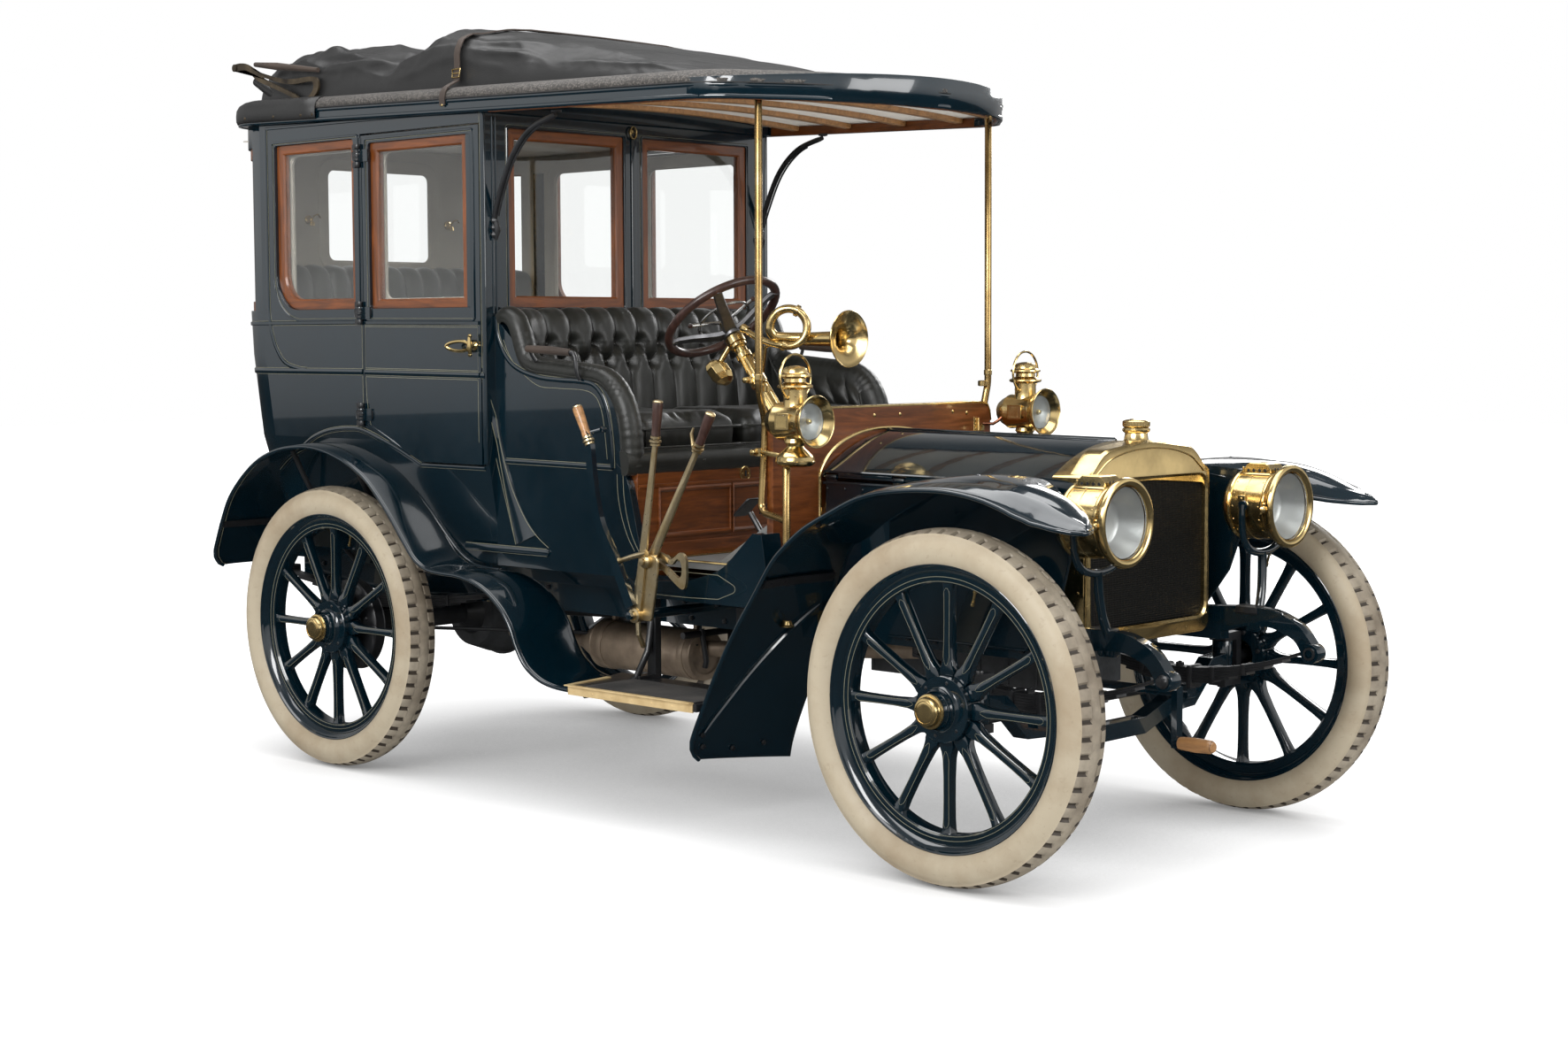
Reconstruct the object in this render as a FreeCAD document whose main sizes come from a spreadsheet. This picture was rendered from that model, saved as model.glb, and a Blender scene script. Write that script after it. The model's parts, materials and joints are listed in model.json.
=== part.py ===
import FreeCAD, Part
import math
import os
import Sketcher
from FreeCAD import Placement, Rotation, Vector

# Brass era car: a closed town body with an open driver's seat on a ladder frame.
# Millimetres. +X points forwards, +Y to the car's left, +Z up, the ground is z = 0.
# Every piece is drawn with x = 0 at the rear axle, then moved back by origin_x, so that the
# car's own box is centred on the origin.

doc = FreeCAD.newDocument("BrassEraCar")
sheet = doc.addObject("Spreadsheet::Sheet", "Sizes")

SIZES = (
    # name, millimetres (or degrees where the name ends in angle)
    ("wheelbase", 2630), ("track", 1400), ("tail_x", -712),
    # wheels
    ("tyre_radius", 467.5), ("tyre_width", 135), ("rim_radius", 372), ("rim_half", 44),
    ("felloe_inner", 325), ("felloe_half", 27), ("hub_radius", 60), ("flange_radius", 87),
    ("hub_inner", 55), ("flange_half", 34), ("cap_radius", 37), ("cap_out", 105),
    ("spoke_root", 42), ("spoke_tip", 28), ("spoke_half", 17), ("axle_pin", 22),
    ("drum_radius", 150), ("drum_wall", 6), ("drum_out", 40), ("drum_in", 84),
    # fits
    ("running_gap", 0.05), ("seat_gap", 0.3), ("panel_gap", 5),
    # front axle and steering
    ("kingpin_y", 580), ("kingpin_radius", 14), ("boss_radius", 30), ("boss_half", 55),
    ("lug_thick", 24), ("fork_reach", 34), ("fork_thick", 24), ("fork_half", 28),
    ("steer_arm", 150), ("beam_half", 24), ("beam_low", 322), ("beam_wide", 25),
    ("rod_radius", 10), ("rod_eye", 18), ("rod_pin", 8),
    ("wheel_x", 1378), ("wheel_y", -260), ("wheel_z", 1485), ("column_angle", 52.3),
    ("column_radius", 19), ("hand_wheel_radius", 181), ("hand_rim", 12),
    # frame
    ("rail_low", 560), ("rail_high", 653), ("rail_out", 430), ("rail_thick", 44),
    ("rail_nose_y", 357), ("rail_rear_x", -560), ("rail_front_x", 2780), ("sweep_from", 1790),
    ("sweep_to", 2080), ("horn_x", 3068), ("horn_z", 543), ("horn_eye", 27),
    ("spring_wide", 45), ("front_spring_z", 418), ("rear_spring_y", 472), ("rear_spring_rise", 38.5),
    ("shaft_rise", 14.5),
    # body
    ("sill_z", 709), ("body_half", 640), ("body_rear", 700), ("body_front", 712), ("wall", 40),
    ("corner_radius", 220), ("belt_z", 1512), ("door_rear", 90), ("door_front", 690),
    ("door_top", 2085), ("door_low_rear", 1130), ("door_low_mid", 1026), ("door_mid_x", 393),
    ("window_top", 2078), ("glass_thick", 5), ("hinge_out", 11), ("hinge_pin", 4),
    ("hinge_sleeve", 9),
    # driver's seat and dash
    ("seat_half", 600), ("panel_thick", 25), ("seat_top", 1190), ("seat_board", 1033),
    ("heel_x", 1330), ("floor_z", 760), ("floor_half", 500), ("dash_x", 1790), ("dash_thick", 25),
    ("dash_top", 1216), ("dash_half", 500),
    # bonnet and radiator
    ("bonnet_top_z", 1145), ("bonnet_half_rear", 297), ("bonnet_half_front", 258),
    ("crease_z", 1027), ("bonnet_sheet", 4), ("bonnet_low", 660), ("bonnet_pin", 5),
    ("flap_set_back", 14), ("crease_pin", 3.5), ("crease_sleeve", 7),
    ("radiator_x", 2650), ("radiator_front", 2763), ("radiator_half", 297),
    ("radiator_low", 590), ("radiator_high", 1136), ("core_half", 275),
    # roof
    ("roof_half", 666), ("roof_front", 2036), ("roof_z", 2141), ("roof_angle", 1.52),
    ("roof_edge", 58), ("roof_crown", 28), ("roof_skin", 24),
    # fenders and running boards
    ("fender_out", 742), ("rear_fender_out", 772), ("sheet_thick", 5), ("board_z", 390),
    ("board_thick", 22), ("board_out", 752), ("mat_thick", 3),
)


class Dim:
    """A length: its number, and the sheet formula that gives it."""

    def __init__(self, number, formula):
        self.number = number
        self.formula = formula

    def __add__(self, other):
        other = dim(other)
        return Dim(self.number + other.number, f"({self.formula} + {other.formula})")

    def __sub__(self, other):
        other = dim(other)
        return Dim(self.number - other.number, f"({self.formula} - {other.formula})")

    def __mul__(self, factor):
        return Dim(self.number * factor, f"({self.formula} * {factor})")

    def __truediv__(self, factor):
        return Dim(self.number / factor, f"({self.formula} / {factor})")

    def __neg__(self):
        return self * -1

    def __float__(self):
        return float(self.number)


def dim(value):
    return value if isinstance(value, Dim) else Dim(float(value), f"({float(value)})")


for row, (name, value) in enumerate(SIZES, start=1):
    sheet.set(f"A{row}", name)
    sheet.set(f"B{row}", str(value))
    sheet.setAlias(f"B{row}", name)
doc.recompute()
S = {name: Dim(float(getattr(sheet, name)), f"Sizes.{name}") for name, value in SIZES}
N = {name: float(S[name]) for name in S}

origin_x = (S["wheelbase"] + S["tyre_radius"] + S["tail_x"]) / 2
SIDES = (("right", -1), ("left", 1))
PLANES = {"XY": "XY_Plane", "XZ": "XZ_Plane", "YZ": "YZ_Plane"}
pieces = []
finished = {}


# ---- document helpers --------------------------------------------------------------------

def bind(thing, prop, value):
    """Give a property the sheet formula of a length."""
    thing.setExpression(prop, dim(value).formula)


def put(thing, x=0, y=0, z=0, turn=None):
    """Place a finished piece: its own zero goes to x, y, z measured from the rear axle."""
    spots = (dim(x) - origin_x, dim(y), dim(z))
    thing.Placement = Placement(Vector(*[float(spot) for spot in spots]), turn or Rotation())
    for axis, spot in zip("xyz", spots):
        bind(thing, f"Placement.Base.{axis}", spot)
    pieces.append(thing)
    return thing


def feature(label, shape, around=()):
    """A piece worked out here from the sheet's values, cut to fit around finished ones."""
    thing = doc.addObject("Part::Feature", label)
    for other in around:
        shape = shape.cut(finished[other])
    solids = [solid for solid in shape.Solids if solid.Volume > 500]
    finished[label] = Part.makeCompound(solids)
    thing.Shape = finished[label]
    thing.Label = label
    return put(thing)


def new_body(label):
    body = doc.addObject("PartDesign::Body", label)
    body.Label = label
    return body


def origin_part(body, role):
    return next(item for item in body.Origin.OriginFeatures if item.Role == role)


def sketch_on(body, plane, name, offset=0):
    sketch = body.newObject("Sketcher::SketchObject", name)
    sketch.AttachmentSupport = (origin_part(body, PLANES[plane]), [""])
    sketch.MapMode = "FlatFace"
    bind(sketch, "AttachmentOffset.Base.z", offset)
    return sketch


def pin_point(sketch, geometry, end, x, y):
    """Tie one point of a sketch to its two coordinates."""
    for kind, axis, value in (("DistanceX", -2, dim(x)), ("DistanceY", -1, dim(y))):
        if value.number == 0:
            sketch.addConstraint(Sketcher.Constraint("PointOnObject", geometry, end, axis))
            continue
        index = sketch.addConstraint(Sketcher.Constraint(kind, geometry, end, value.number))
        bind(sketch, f"Constraints[{index}]", value)


def outline(sketch, points):
    """A closed outline of straight lines through points of (x, y)."""
    corners = [Vector(float(dim(x)), float(dim(y)), 0) for x, y in points]
    first = None
    count = len(corners)
    for index in range(count):
        line = Part.LineSegment(corners[index], corners[(index + 1) % count])
        geometry = sketch.addGeometry(line)
        if first is None:
            first = geometry
        else:
            sketch.addConstraint(Sketcher.Constraint("Coincident", geometry - 1, 2, geometry, 1))
    sketch.addConstraint(Sketcher.Constraint("Coincident", first + count - 1, 2, first, 1))
    for index, (x, y) in enumerate(points):
        pin_point(sketch, first + index, 1, x, y)


def circle(sketch, x, y, radius):
    centre = Vector(float(dim(x)), float(dim(y)), 0)
    geometry = sketch.addGeometry(Part.Circle(centre, Vector(0, 0, 1), float(dim(radius))))
    index = sketch.addConstraint(Sketcher.Constraint("Radius", geometry, float(dim(radius))))
    bind(sketch, f"Constraints[{index}]", radius)
    pin_point(sketch, geometry, 3, x, y)


def span(plane, low, high):
    """Offset and length of a pad from low to high along the plane's own axis."""
    low, high = dim(low), dim(high)
    return (-high if plane == "XZ" else low), high - low


def add_pad(body, name, plane, draw, low, high):
    offset, length = span(plane, low, high)
    sketch = sketch_on(body, plane, name + "_sketch", offset)
    draw(sketch)
    pad = body.newObject("PartDesign::Pad", name)
    pad.Profile = sketch
    bind(pad, "Length", length)
    return pad


def add_pocket(body, name, plane, draw, low, high):
    """A cut from low to high; it must take material away."""
    doc.recompute()
    before = body.Shape.Volume
    offset, length = span(plane, low, high)
    sketch = sketch_on(body, plane, name + "_sketch", offset)
    draw(sketch)
    pocket = body.newObject("PartDesign::Pocket", name)
    pocket.Profile = sketch
    pocket.Reversed = True
    bind(pocket, "Length", length)
    doc.recompute()
    if body.Shape.Volume >= before:
        raise RuntimeError(f"{body.Label}: {name} cuts nothing")
    return pocket


def add_turn(body, name, plane, points, axis="V_Axis"):
    """A turned shape about one axis of its sketch."""
    sketch = sketch_on(body, plane, name + "_sketch")
    outline(sketch, points)
    turned = body.newObject("PartDesign::Revolution", name)
    turned.Profile = sketch
    turned.ReferenceAxis = (sketch, [axis])
    turned.Angle = 360
    return turned


def poly(points):
    return lambda sketch: outline(sketch, points)


def disc(x, y, radius):
    return lambda sketch: circle(sketch, x, y, radius)


def prism_body(label, plane, points, low, high):
    body = new_body(label)
    add_pad(body, label + "_pad", plane, poly(points), low, high)
    return put(body)


# ---- shape helpers -----------------------------------------------------------------------

LIFT = {
    "XY": lambda a, b, c: Vector(a, b, c),
    "XZ": lambda a, b, c: Vector(a, c, b),
    "YZ": lambda a, b, c: Vector(c, a, b),
}


def rounded(points, plane="XZ", level=0.0):
    """A closed wire through points of (a, b) or (a, b, corner radius)."""
    flat = [(Vector(point[0], point[1], 0), point[2] if len(point) > 2 else 0) for point in points]
    starts, ends, middles = [], [], []
    for index, (corner, radius) in enumerate(flat):
        before = (flat[index - 1][0] - corner).normalize()
        after = (flat[(index + 1) % len(flat)][0] - corner).normalize()
        if not radius:
            starts.append(corner)
            ends.append(corner)
            middles.append(None)
            continue
        half = before.getAngle(after) / 2
        reach = radius / math.tan(half)
        inward = (before + after).normalize()
        starts.append(corner + before * reach)
        ends.append(corner + after * reach)
        middles.append(corner + inward * (radius / math.sin(half) - radius))
    lift = LIFT[plane]
    edges = []
    for index, (corner, radius) in enumerate(flat):
        if middles[index] is not None:
            three = [lift(v.x, v.y, level) for v in (starts[index], middles[index], ends[index])]
            edges.append(Part.Arc(*three).toShape())
        here, there = ends[index], starts[(index + 1) % len(flat)]
        if (there - here).Length > 1e-6:
            edges.append(Part.makeLine(lift(here.x, here.y, level), lift(there.x, there.y, level)))
    return Part.Wire(edges)


def prism(points, plane, low, high):
    """A straight prism of an outline, from low to high across its plane."""
    across = {"XY": Vector(0, 0, 1), "XZ": Vector(0, 1, 0), "YZ": Vector(1, 0, 0)}[plane]
    return Part.Face(rounded(points, plane, low)).extrude(across * (high - low))


def block(x0, x1, y0, y1, z0, z1):
    """A box between any two corners."""
    low = Vector(min(x0, x1), min(y0, y1), min(z0, z1))
    return Part.makeBox(abs(x1 - x0), abs(y1 - y0), abs(z1 - z0), low)


def rod(start, end, radius):
    start, end = Vector(*start), Vector(*end)
    return Part.makeCylinder(radius, (end - start).Length, start, end - start)


def cone(start, end, radius_1, radius_2):
    start, end = Vector(*start), Vector(*end)
    return Part.makeCone(radius_1, radius_2, (end - start).Length, start, end - start)


def bent_rod(points, radius):
    """A rod along points of (x, y, z, bend radius)."""
    spots = [Vector(*point[:3]) for point in points]
    edges = []
    here = spots[0]
    for index in range(1, len(spots) - 1):
        before = (spots[index - 1] - spots[index]).normalize()
        after = (spots[index + 1] - spots[index]).normalize()
        half = before.getAngle(after) / 2
        bend = points[index][3]
        reach = bend / math.tan(half)
        inward = (before + after).normalize()
        start = spots[index] + before * reach
        middle = spots[index] + inward * (bend / math.sin(half) - bend)
        end = spots[index] + after * reach
        edges.append(Part.makeLine(here, start))
        edges.append(Part.Arc(start, middle, end).toShape())
        here = end
    edges.append(Part.makeLine(here, spots[-1]))
    path = Part.Wire(edges)
    ring = Part.Wire(Part.makeCircle(radius, spots[0], spots[1] - spots[0]))
    return path.makePipeShell([ring], True, True)


def fused(*shapes):
    return shapes[0].multiFuse(list(shapes[1:])).removeSplitter()


def group(*shapes):
    return Part.makeCompound(list(shapes))


def mirrored(shape):
    """The same piece on the car's other side."""
    return shape.mirror(Vector(0, 0, 0), Vector(0, 1, 0))


def both_sides(shape):
    return group(shape, mirrored(shape))


def on_side(shape, side):
    """A piece drawn on the left, or its mirror on the right."""
    return shape if side > 0 else mirrored(shape)


# ---- wheels, hubs and tyres --------------------------------------------------------------

def tyre(label, axle_x, side):
    """A round tyre section turned about the wheel's own Y axis, cut flat where it meets the rim."""
    body = new_body(label)
    sketch = sketch_on(body, "XY", label + "_section")
    half = S["tyre_width"] / 2
    middle = S["tyre_radius"] - half
    seat = S["rim_radius"] + S["seat_gap"]
    angle = math.acos((seat.number - middle.number) / half.number)
    ring = Part.Circle(Vector(middle.number, 0, 0), Vector(0, 0, 1), half.number)
    arc = sketch.addGeometry(Part.ArcOfCircle(ring, -angle, angle))
    rise = half.number * math.sin(angle)
    low, high = Vector(seat.number, -rise, 0), Vector(seat.number, rise, 0)
    line = sketch.addGeometry(Part.LineSegment(high, low))
    sketch.addConstraint(Sketcher.Constraint("Coincident", arc, 2, line, 1))
    sketch.addConstraint(Sketcher.Constraint("Coincident", line, 2, arc, 1))
    sketch.addConstraint(Sketcher.Constraint("Vertical", line))
    pin_point(sketch, arc, 3, middle, 0)
    radius = sketch.addConstraint(Sketcher.Constraint("Radius", arc, half.number))
    bind(sketch, f"Constraints[{radius}]", half)
    seat_x = sketch.addConstraint(Sketcher.Constraint("DistanceX", line, 1, seat.number))
    bind(sketch, f"Constraints[{seat_x}]", seat)
    turned = body.newObject("PartDesign::Revolution", label + "_ring")
    turned.Profile = sketch
    turned.ReferenceAxis = (sketch, ["V_Axis"])
    turned.Angle = 360
    put_wheel(body, axle_x, side)


def put_wheel(body, axle_x, side):
    turn = Rotation(Vector(0, 0, 1), 0 if side > 0 else 180)
    put(body, axle_x, S["track"] / 2 * side, S["tyre_radius"], turn)


def wheel(label, axle_x, side, with_drum):
    """Wooden wheel: turned hub with its cap, twelve spokes, felloe and rim. Outboard is +Y."""
    body = new_body(label)
    bore = S["axle_pin"] + S["running_gap"]
    end = S["cap_out"] - 25
    neck = S["hub_radius"] - 10
    hub = (
        (bore, -S["hub_inner"]), (S["hub_radius"], -S["hub_inner"]),
        (S["hub_radius"], -S["flange_half"]), (S["flange_radius"], -S["flange_half"] + 4),
        (S["flange_radius"], S["flange_half"]), (neck, S["flange_half"] + 6),
        (neck - 4, S["cap_out"] - 43), (S["cap_radius"], S["cap_out"] - 41),
        (S["cap_radius"], S["cap_out"]), (0, S["cap_out"]), (0, end), (bore, end),
    )
    add_turn(body, label + "_hub", "XY", hub)
    root, tip = S["spoke_root"] / 2, S["spoke_tip"] / 2
    inner, outer = S["hub_radius"] + 15, S["felloe_inner"] + 8
    spoke = ((inner, -root), (outer, -tip), (outer, tip), (inner, root))
    half = S["spoke_half"]
    pad = add_pad(body, label + "_spoke", "XZ", poly(spoke), -half, half)
    doc.recompute()
    ring = body.newObject("PartDesign::PolarPattern", label + "_spokes")
    ring.Originals = [pad]
    ring.Axis = (origin_part(body, "Y_Axis"), [""])
    ring.Angle = 360
    ring.Occurrences = 12
    body.Tip = ring
    felloe, flange = S["felloe_half"], S["rim_half"]
    rim = (
        (S["felloe_inner"], -felloe), (S["rim_radius"] - 20, -felloe),
        (S["rim_radius"] - 12, -flange), (S["rim_radius"], -flange), (S["rim_radius"], flange),
        (S["rim_radius"] - 12, flange), (S["rim_radius"] - 20, felloe),
        (S["felloe_inner"], felloe),
    )
    add_turn(body, label + "_rim", "XY", rim)
    if with_drum:
        out, deep = -S["drum_out"], -S["drum_in"]
        inside = S["drum_radius"] - S["drum_wall"]
        drum = (
            (neck, out), (S["drum_radius"], out), (S["drum_radius"], deep), (inside, deep),
            (inside, out - S["drum_wall"]), (neck, out - S["drum_wall"]),
        )
        add_turn(body, label + "_drum", "XY", drum)
    put_wheel(body, axle_x, side)


AXLES = (("front", S["wheelbase"], False), ("rear", dim(0), True))
for side_name, side in SIDES:
    for axle_name, axle_x, with_drum in AXLES:
        wheel(f"{axle_name}_wheel_{side_name}", axle_x, side, with_drum)
        tyre(f"{axle_name}_tyre_{side_name}", axle_x, side)


# ---- axles, knuckles and steering rod ----------------------------------------------------

def front_axle():
    """Dropped beam with an upright bored boss at each end. Its zero is at hub height."""
    body = new_body("front_axle")
    drop = S["beam_low"] - S["tyre_radius"]
    half = S["beam_half"]
    wide = S["beam_wide"]
    # distance from the middle, height of the beam's centre line
    line = ((150, drop), (290, drop + 46), (400, drop + 52), (490, -12), (S["kingpin_y"], -4))
    upper = [(dim(y), dim(z) + half) for y, z in line]
    lower = [(dim(y), dim(z) - half) for y, z in line]
    right_lower = [(-y, z) for y, z in lower]
    right_upper = [(-y, z) for y, z in upper[::-1]]
    add_pad(body, "front_beam", "YZ", poly(upper + lower[::-1] + right_lower + right_upper), -wide, wide)

    def perches(sketch):
        for side in (-1, 1):
            y, reach = S["rail_nose_y"] * side, S["spring_wide"] / 2
            back, front = dim(-42), dim(42)
            outline(sketch, [(back, y - reach), (front, y - reach), (front, y + reach), (back, y + reach)])

    top = S["front_spring_z"] - S["tyre_radius"]
    add_pad(body, "spring_perches", "XY", perches, top - 40, top)

    def at_kingpins(radius):
        def draw(sketch):
            for side in (-1, 1):
                circle(sketch, 0, S["kingpin_y"] * side, radius)
        return draw

    tall = S["boss_half"]
    add_pad(body, "kingpin_bosses", "XY", at_kingpins(S["boss_radius"]), -tall, tall)
    bore = S["kingpin_radius"] + S["running_gap"]
    add_pocket(body, "kingpin_bores", "XY", at_kingpins(bore), -tall, tall)
    put(body, S["wheelbase"], 0, S["tyre_radius"])


def knuckle(label, side):
    """Fork, kingpin, stub axle, steering arm and rod pin in one forging."""
    tall, lug, half = S["boss_half"] + S["seat_gap"], S["lug_thick"], S["fork_half"]
    low = -(tall + lug)
    inner = S["fork_reach"] * side
    outer = (S["fork_reach"] + S["fork_thick"]) * side
    body = new_body(label)

    def slab(back, front, y0, y1):
        return poly(((back, y0), (front, y0), (front, y1), (back, y1)))

    add_pad(body, label + "_post", "XY", slab(-half, half, inner, outer), low, tall + lug)
    plate = slab(-half, half, -half * side, outer)
    add_pad(body, label + "_upper_lug", "XY", plate, tall, tall + lug)
    add_pad(body, label + "_lower_lug", "XY", plate, low, -tall)
    add_pad(body, label + "_kingpin", "XY", disc(0, 0, S["kingpin_radius"]), low - 6, tall + lug + 6)
    tip = (S["track"] / 2 - S["kingpin_y"] + S["cap_out"] - 30) * side
    near, far = (outer, tip) if side > 0 else (tip, outer)
    add_pad(body, label + "_stub", "XZ", disc(0, 0, S["axle_pin"]), near, far)
    arm = S["steer_arm"]
    add_pad(body, label + "_arm", "XY", slab(-arm - 16, -half, -13, dim(13)), low, low + 18)
    add_pad(body, label + "_rod_pin", "XY", disc(-arm, 0, S["rod_pin"]), low - 26, low)
    put(body, S["wheelbase"], S["kingpin_y"] * side, S["tyre_radius"])


def tie_rod():
    """Round rod between the two steering arms, with a bored eye on each arm's pin."""
    x = N["wheelbase"] - N["steer_arm"]
    top = N["tyre_radius"] - N["boss_half"] - N["seat_gap"] * 2 - N["lug_thick"]
    z = top - 11
    shape = rod((x, -N["kingpin_y"], z), (x, N["kingpin_y"], z), N["rod_radius"])
    for side in (-1, 1):
        y = N["kingpin_y"] * side
        shape = shape.fuse(rod((x, y, top - 22), (x, y, top), N["rod_eye"]))
        bore = N["rod_pin"] + N["running_gap"]
        shape = shape.cut(rod((x, y, top - 30), (x, y, top + 8), bore))
    feature("tie_rod", shape.removeSplitter())


def rear_axle():
    """Turned axle case with its swollen middle, and the hub spindles."""
    body = new_body("rear_axle")
    tip = S["track"] / 2 + S["cap_out"] - 30
    inner = S["track"] / 2 - S["hub_inner"] - 10
    half = (
        (0, tip), (S["axle_pin"], tip), (S["axle_pin"], inner), (38, inner), (38, 175),
        (105, 105), (132, 45),
    )
    other = [(x, -dim(y)) for x, y in half[::-1]]
    add_turn(body, "rear_case", "XY", [(x, dim(y)) for x, y in half] + other)
    put(body, 0, 0, S["tyre_radius"])


def leaf_pack(front_x, rear_x, middle_x, low_z, eye_z, y, thick):
    """Half-elliptic spring: a bundle of leaves, thick over the axle and thin at the eyes."""
    wide = N["spring_wide"]
    top = Part.Arc(
        Vector(rear_x, 0, eye_z + 5), Vector(middle_x, 0, low_z + thick), Vector(front_x, 0, eye_z + 5))
    low_rear = Vector(rear_x, 0, eye_z - 5)
    low_front = Vector(front_x, 0, eye_z - 5)
    bottom = Part.Arc(low_front, Vector(middle_x, 0, low_z), low_rear)
    edges = [top.toShape(), Part.makeLine(Vector(front_x, 0, eye_z + 5), low_front), bottom.toShape(),
             Part.makeLine(low_rear, Vector(rear_x, 0, eye_z + 5))]
    leaf = Part.Face(Part.Wire(edges)).extrude(Vector(0, wide, 0))
    leaf.translate(Vector(0, y - wide / 2, 0))
    return leaf


def springs():
    y, wide = N["rail_nose_y"], N["spring_wide"]
    eye = N["horn_x"] - N["horn_eye"] - N["seat_gap"]
    rear = 2 * N["wheelbase"] - N["horn_x"] + 40
    low = N["front_spring_z"]
    pack = leaf_pack(eye, rear, N["wheelbase"], low, N["horn_z"], y, 52)
    shackle = block(rear - 4, rear + 16, y - 20, y + 20, N["horn_z"] - 12, N["rail_low"])
    front_pack = fused(pack, shackle)
    y = N["rear_spring_y"]
    pack = leaf_pack(590, -590, 0, N["tyre_radius"] + N["rear_spring_rise"], 600, y, 56)
    eyes = [block(x - 14, x + 14, N["rail_out"], y + wide / 2, 578, 622) for x in (-590, 590)]
    feature("springs", both_sides(group(front_pack, fused(pack, *eyes))), ["chassis_frame"])


for side_name, side in SIDES:
    knuckle(f"steering_knuckle_{side_name}", side)
front_axle()
tie_rod()
rear_axle()


# ---- frame -------------------------------------------------------------------------------

def chassis_frame():
    """Two side rails that sweep in at the bonnet, cross members, and curved front horns."""
    low, high = N["rail_low"], N["rail_high"]
    out, thick, nose = N["rail_out"], N["rail_thick"], N["rail_nose_y"]
    nose_out, nose_in = nose + thick / 2, nose - thick / 2
    rear, front, a, b = N["rail_rear_x"], N["rail_front_x"], N["sweep_from"], N["sweep_to"]
    plan = (
        (rear, out), (a, out), (b, nose_out), (front, nose_out), (front, nose_in),
        (b, nose_in), (a, out - thick), (rear, out - thick),
    )
    rail = prism(plan, "XY", low, high)
    horn = prism(
        (
            (front - 60, high), (2860, high + 9, 300), (2955, high + 3, 160), (3035, 622, 120),
            (N["horn_x"] + 22, N["horn_z"] + 6), (N["horn_x"] - 14, N["horn_z"] - 22),
            (3020, 578, 60), (2945, 608, 120), (2860, 606, 160), (front + 20, 588, 100),
            (front - 60, low),
        ), "XZ", nose_in + 2, nose_out - 2)
    eye_z, eye_x = N["horn_z"], N["horn_x"]
    eye = rod((eye_x, nose_in, eye_z), (eye_x, nose_out, eye_z), N["horn_eye"])
    members = [block(x, x + wide, -inner, inner, low + 12, high - 12) for x, wide, inner in (
        (rear, 50, out - 10), (700, 50, out - 10), (1690, 50, out - 10), (front - 190, 60, nose - 10))]
    members[2] = members[2].cut(rod((1600, 0, 600), (1800, 0, 600), 42))
    side = fused(rail, horn, eye)
    feature("chassis_frame", fused(side, mirrored(side), *members))


chassis_frame()
springs()


# ---- engine, gearbox and exhaust ---------------------------------------------------------

def drive_line():
    reach = N["rail_nose_y"]
    bearers = [block(x, x + 40, -reach, reach, 585, 625) for x in (2100, 2480)]
    feature("engine_block", fused(block(1890, 2560, -160, 160, 440, 930), *bearers), ["chassis_frame"])
    case = block(1260, 1600, -125, 125, 420, N["rail_high"] - 13)
    reach = N["rail_out"] - N["rail_thick"] / 2
    arms = block(1400, 1440, -reach, reach, 575, 615)
    joint = rod((1600, 0, 600), (1889.7, 0, 600), 34)
    shaft = rod((1262, 0, 530), (132.6, 0, N["tyre_radius"] + N["shaft_rise"]), 22)
    feature("gearbox_and_shaft", fused(case, arms, joint, shaft), ["chassis_frame"])
    x0, x1, y, z, radius = 800, 1250, -215, 432, 78
    drum = rod((x0, y, z), (x1, y, z), radius)
    tail = cone((x0, y, z), (x0 - 110, y, z), radius - 4, 24)
    pipe = rod((x0 - 100, y, z), (330, y, z), 22)
    front_pipe = rod((x1 - 5, y, z + 20), (2100, y + 30, 520), 25)
    feature("exhaust_silencer", fused(drum, tail, pipe, front_pipe))


drive_line()


# ---- radiator ----------------------------------------------------------------------------

def radiator():
    half, low, high = N["radiator_half"], N["radiator_low"], N["radiator_high"]
    x0, x1 = N["radiator_x"], N["radiator_front"]
    shoulder = high - 88

    def shell_outline(inset):
        """Flat foot, rounded corners, straight sides and an arched top."""
        wide, bottom = half - inset, low + inset
        arch = Part.Arc(
            Vector(0, wide - 4, shoulder), Vector(0, 0, high - inset), Vector(0, 4 - wide, shoulder))
        foot = rounded(
            ((wide - 4, shoulder), (wide, bottom, 38), (-wide, bottom, 38), (4 - wide, shoulder)), "YZ")
        sides = [edge for edge in foot.Edges if abs(edge.CenterOfMass.z - shoulder) > 1]
        return Part.Wire(Part.__sortEdges__([arch.toShape()] + sides))

    shell = Part.Face(shell_outline(0)).extrude(Vector(x1 - x0, 0, 0))
    shell.translate(Vector(x0, 0, 0))
    core_half = N["core_half"]
    window = prism(
        ((-core_half, low + 46, 14), (core_half, low + 46, 14), (core_half, 1012, 24), (0, 1032, 900),
         (-core_half, 1012, 24)), "YZ", x0 - 1, x1 + 1)
    neck = rod((x1 - 46, 0, high - 30), (x1 - 46, 0, high + 18), 30)
    core = prism(
        ((-core_half, low + 46, 14), (core_half, low + 46, 14), (core_half, 1012, 24), (0, 1032, 900),
         (-core_half, 1012, 24)), "YZ", x0 + 8, x1 - 10)
    feature("radiator_core", core)
    cap = rod((x1 - 46, 0, high + 18), (x1 - 46, 0, high + 40), 27)
    rim = rod((x1 - 46, 0, high + 38), (x1 - 46, 0, high + 52), 35)
    feature("radiator_shell", fused(shell.cut(window), neck, cap, rim))


radiator()


# ---- bonnet ------------------------------------------------------------------------------

def bonnet_section(x, half, top, crease):
    """Half a bonnet section at x: crown arc from the centre hinge to the crease."""
    pin = N["bonnet_pin"] + N["seat_gap"]
    start = Vector(x, pin, top)
    end = Vector(x, half, crease)
    middle = Vector(x, half * 0.54, top - (top - crease) * 0.34)
    return start, middle, end


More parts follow.
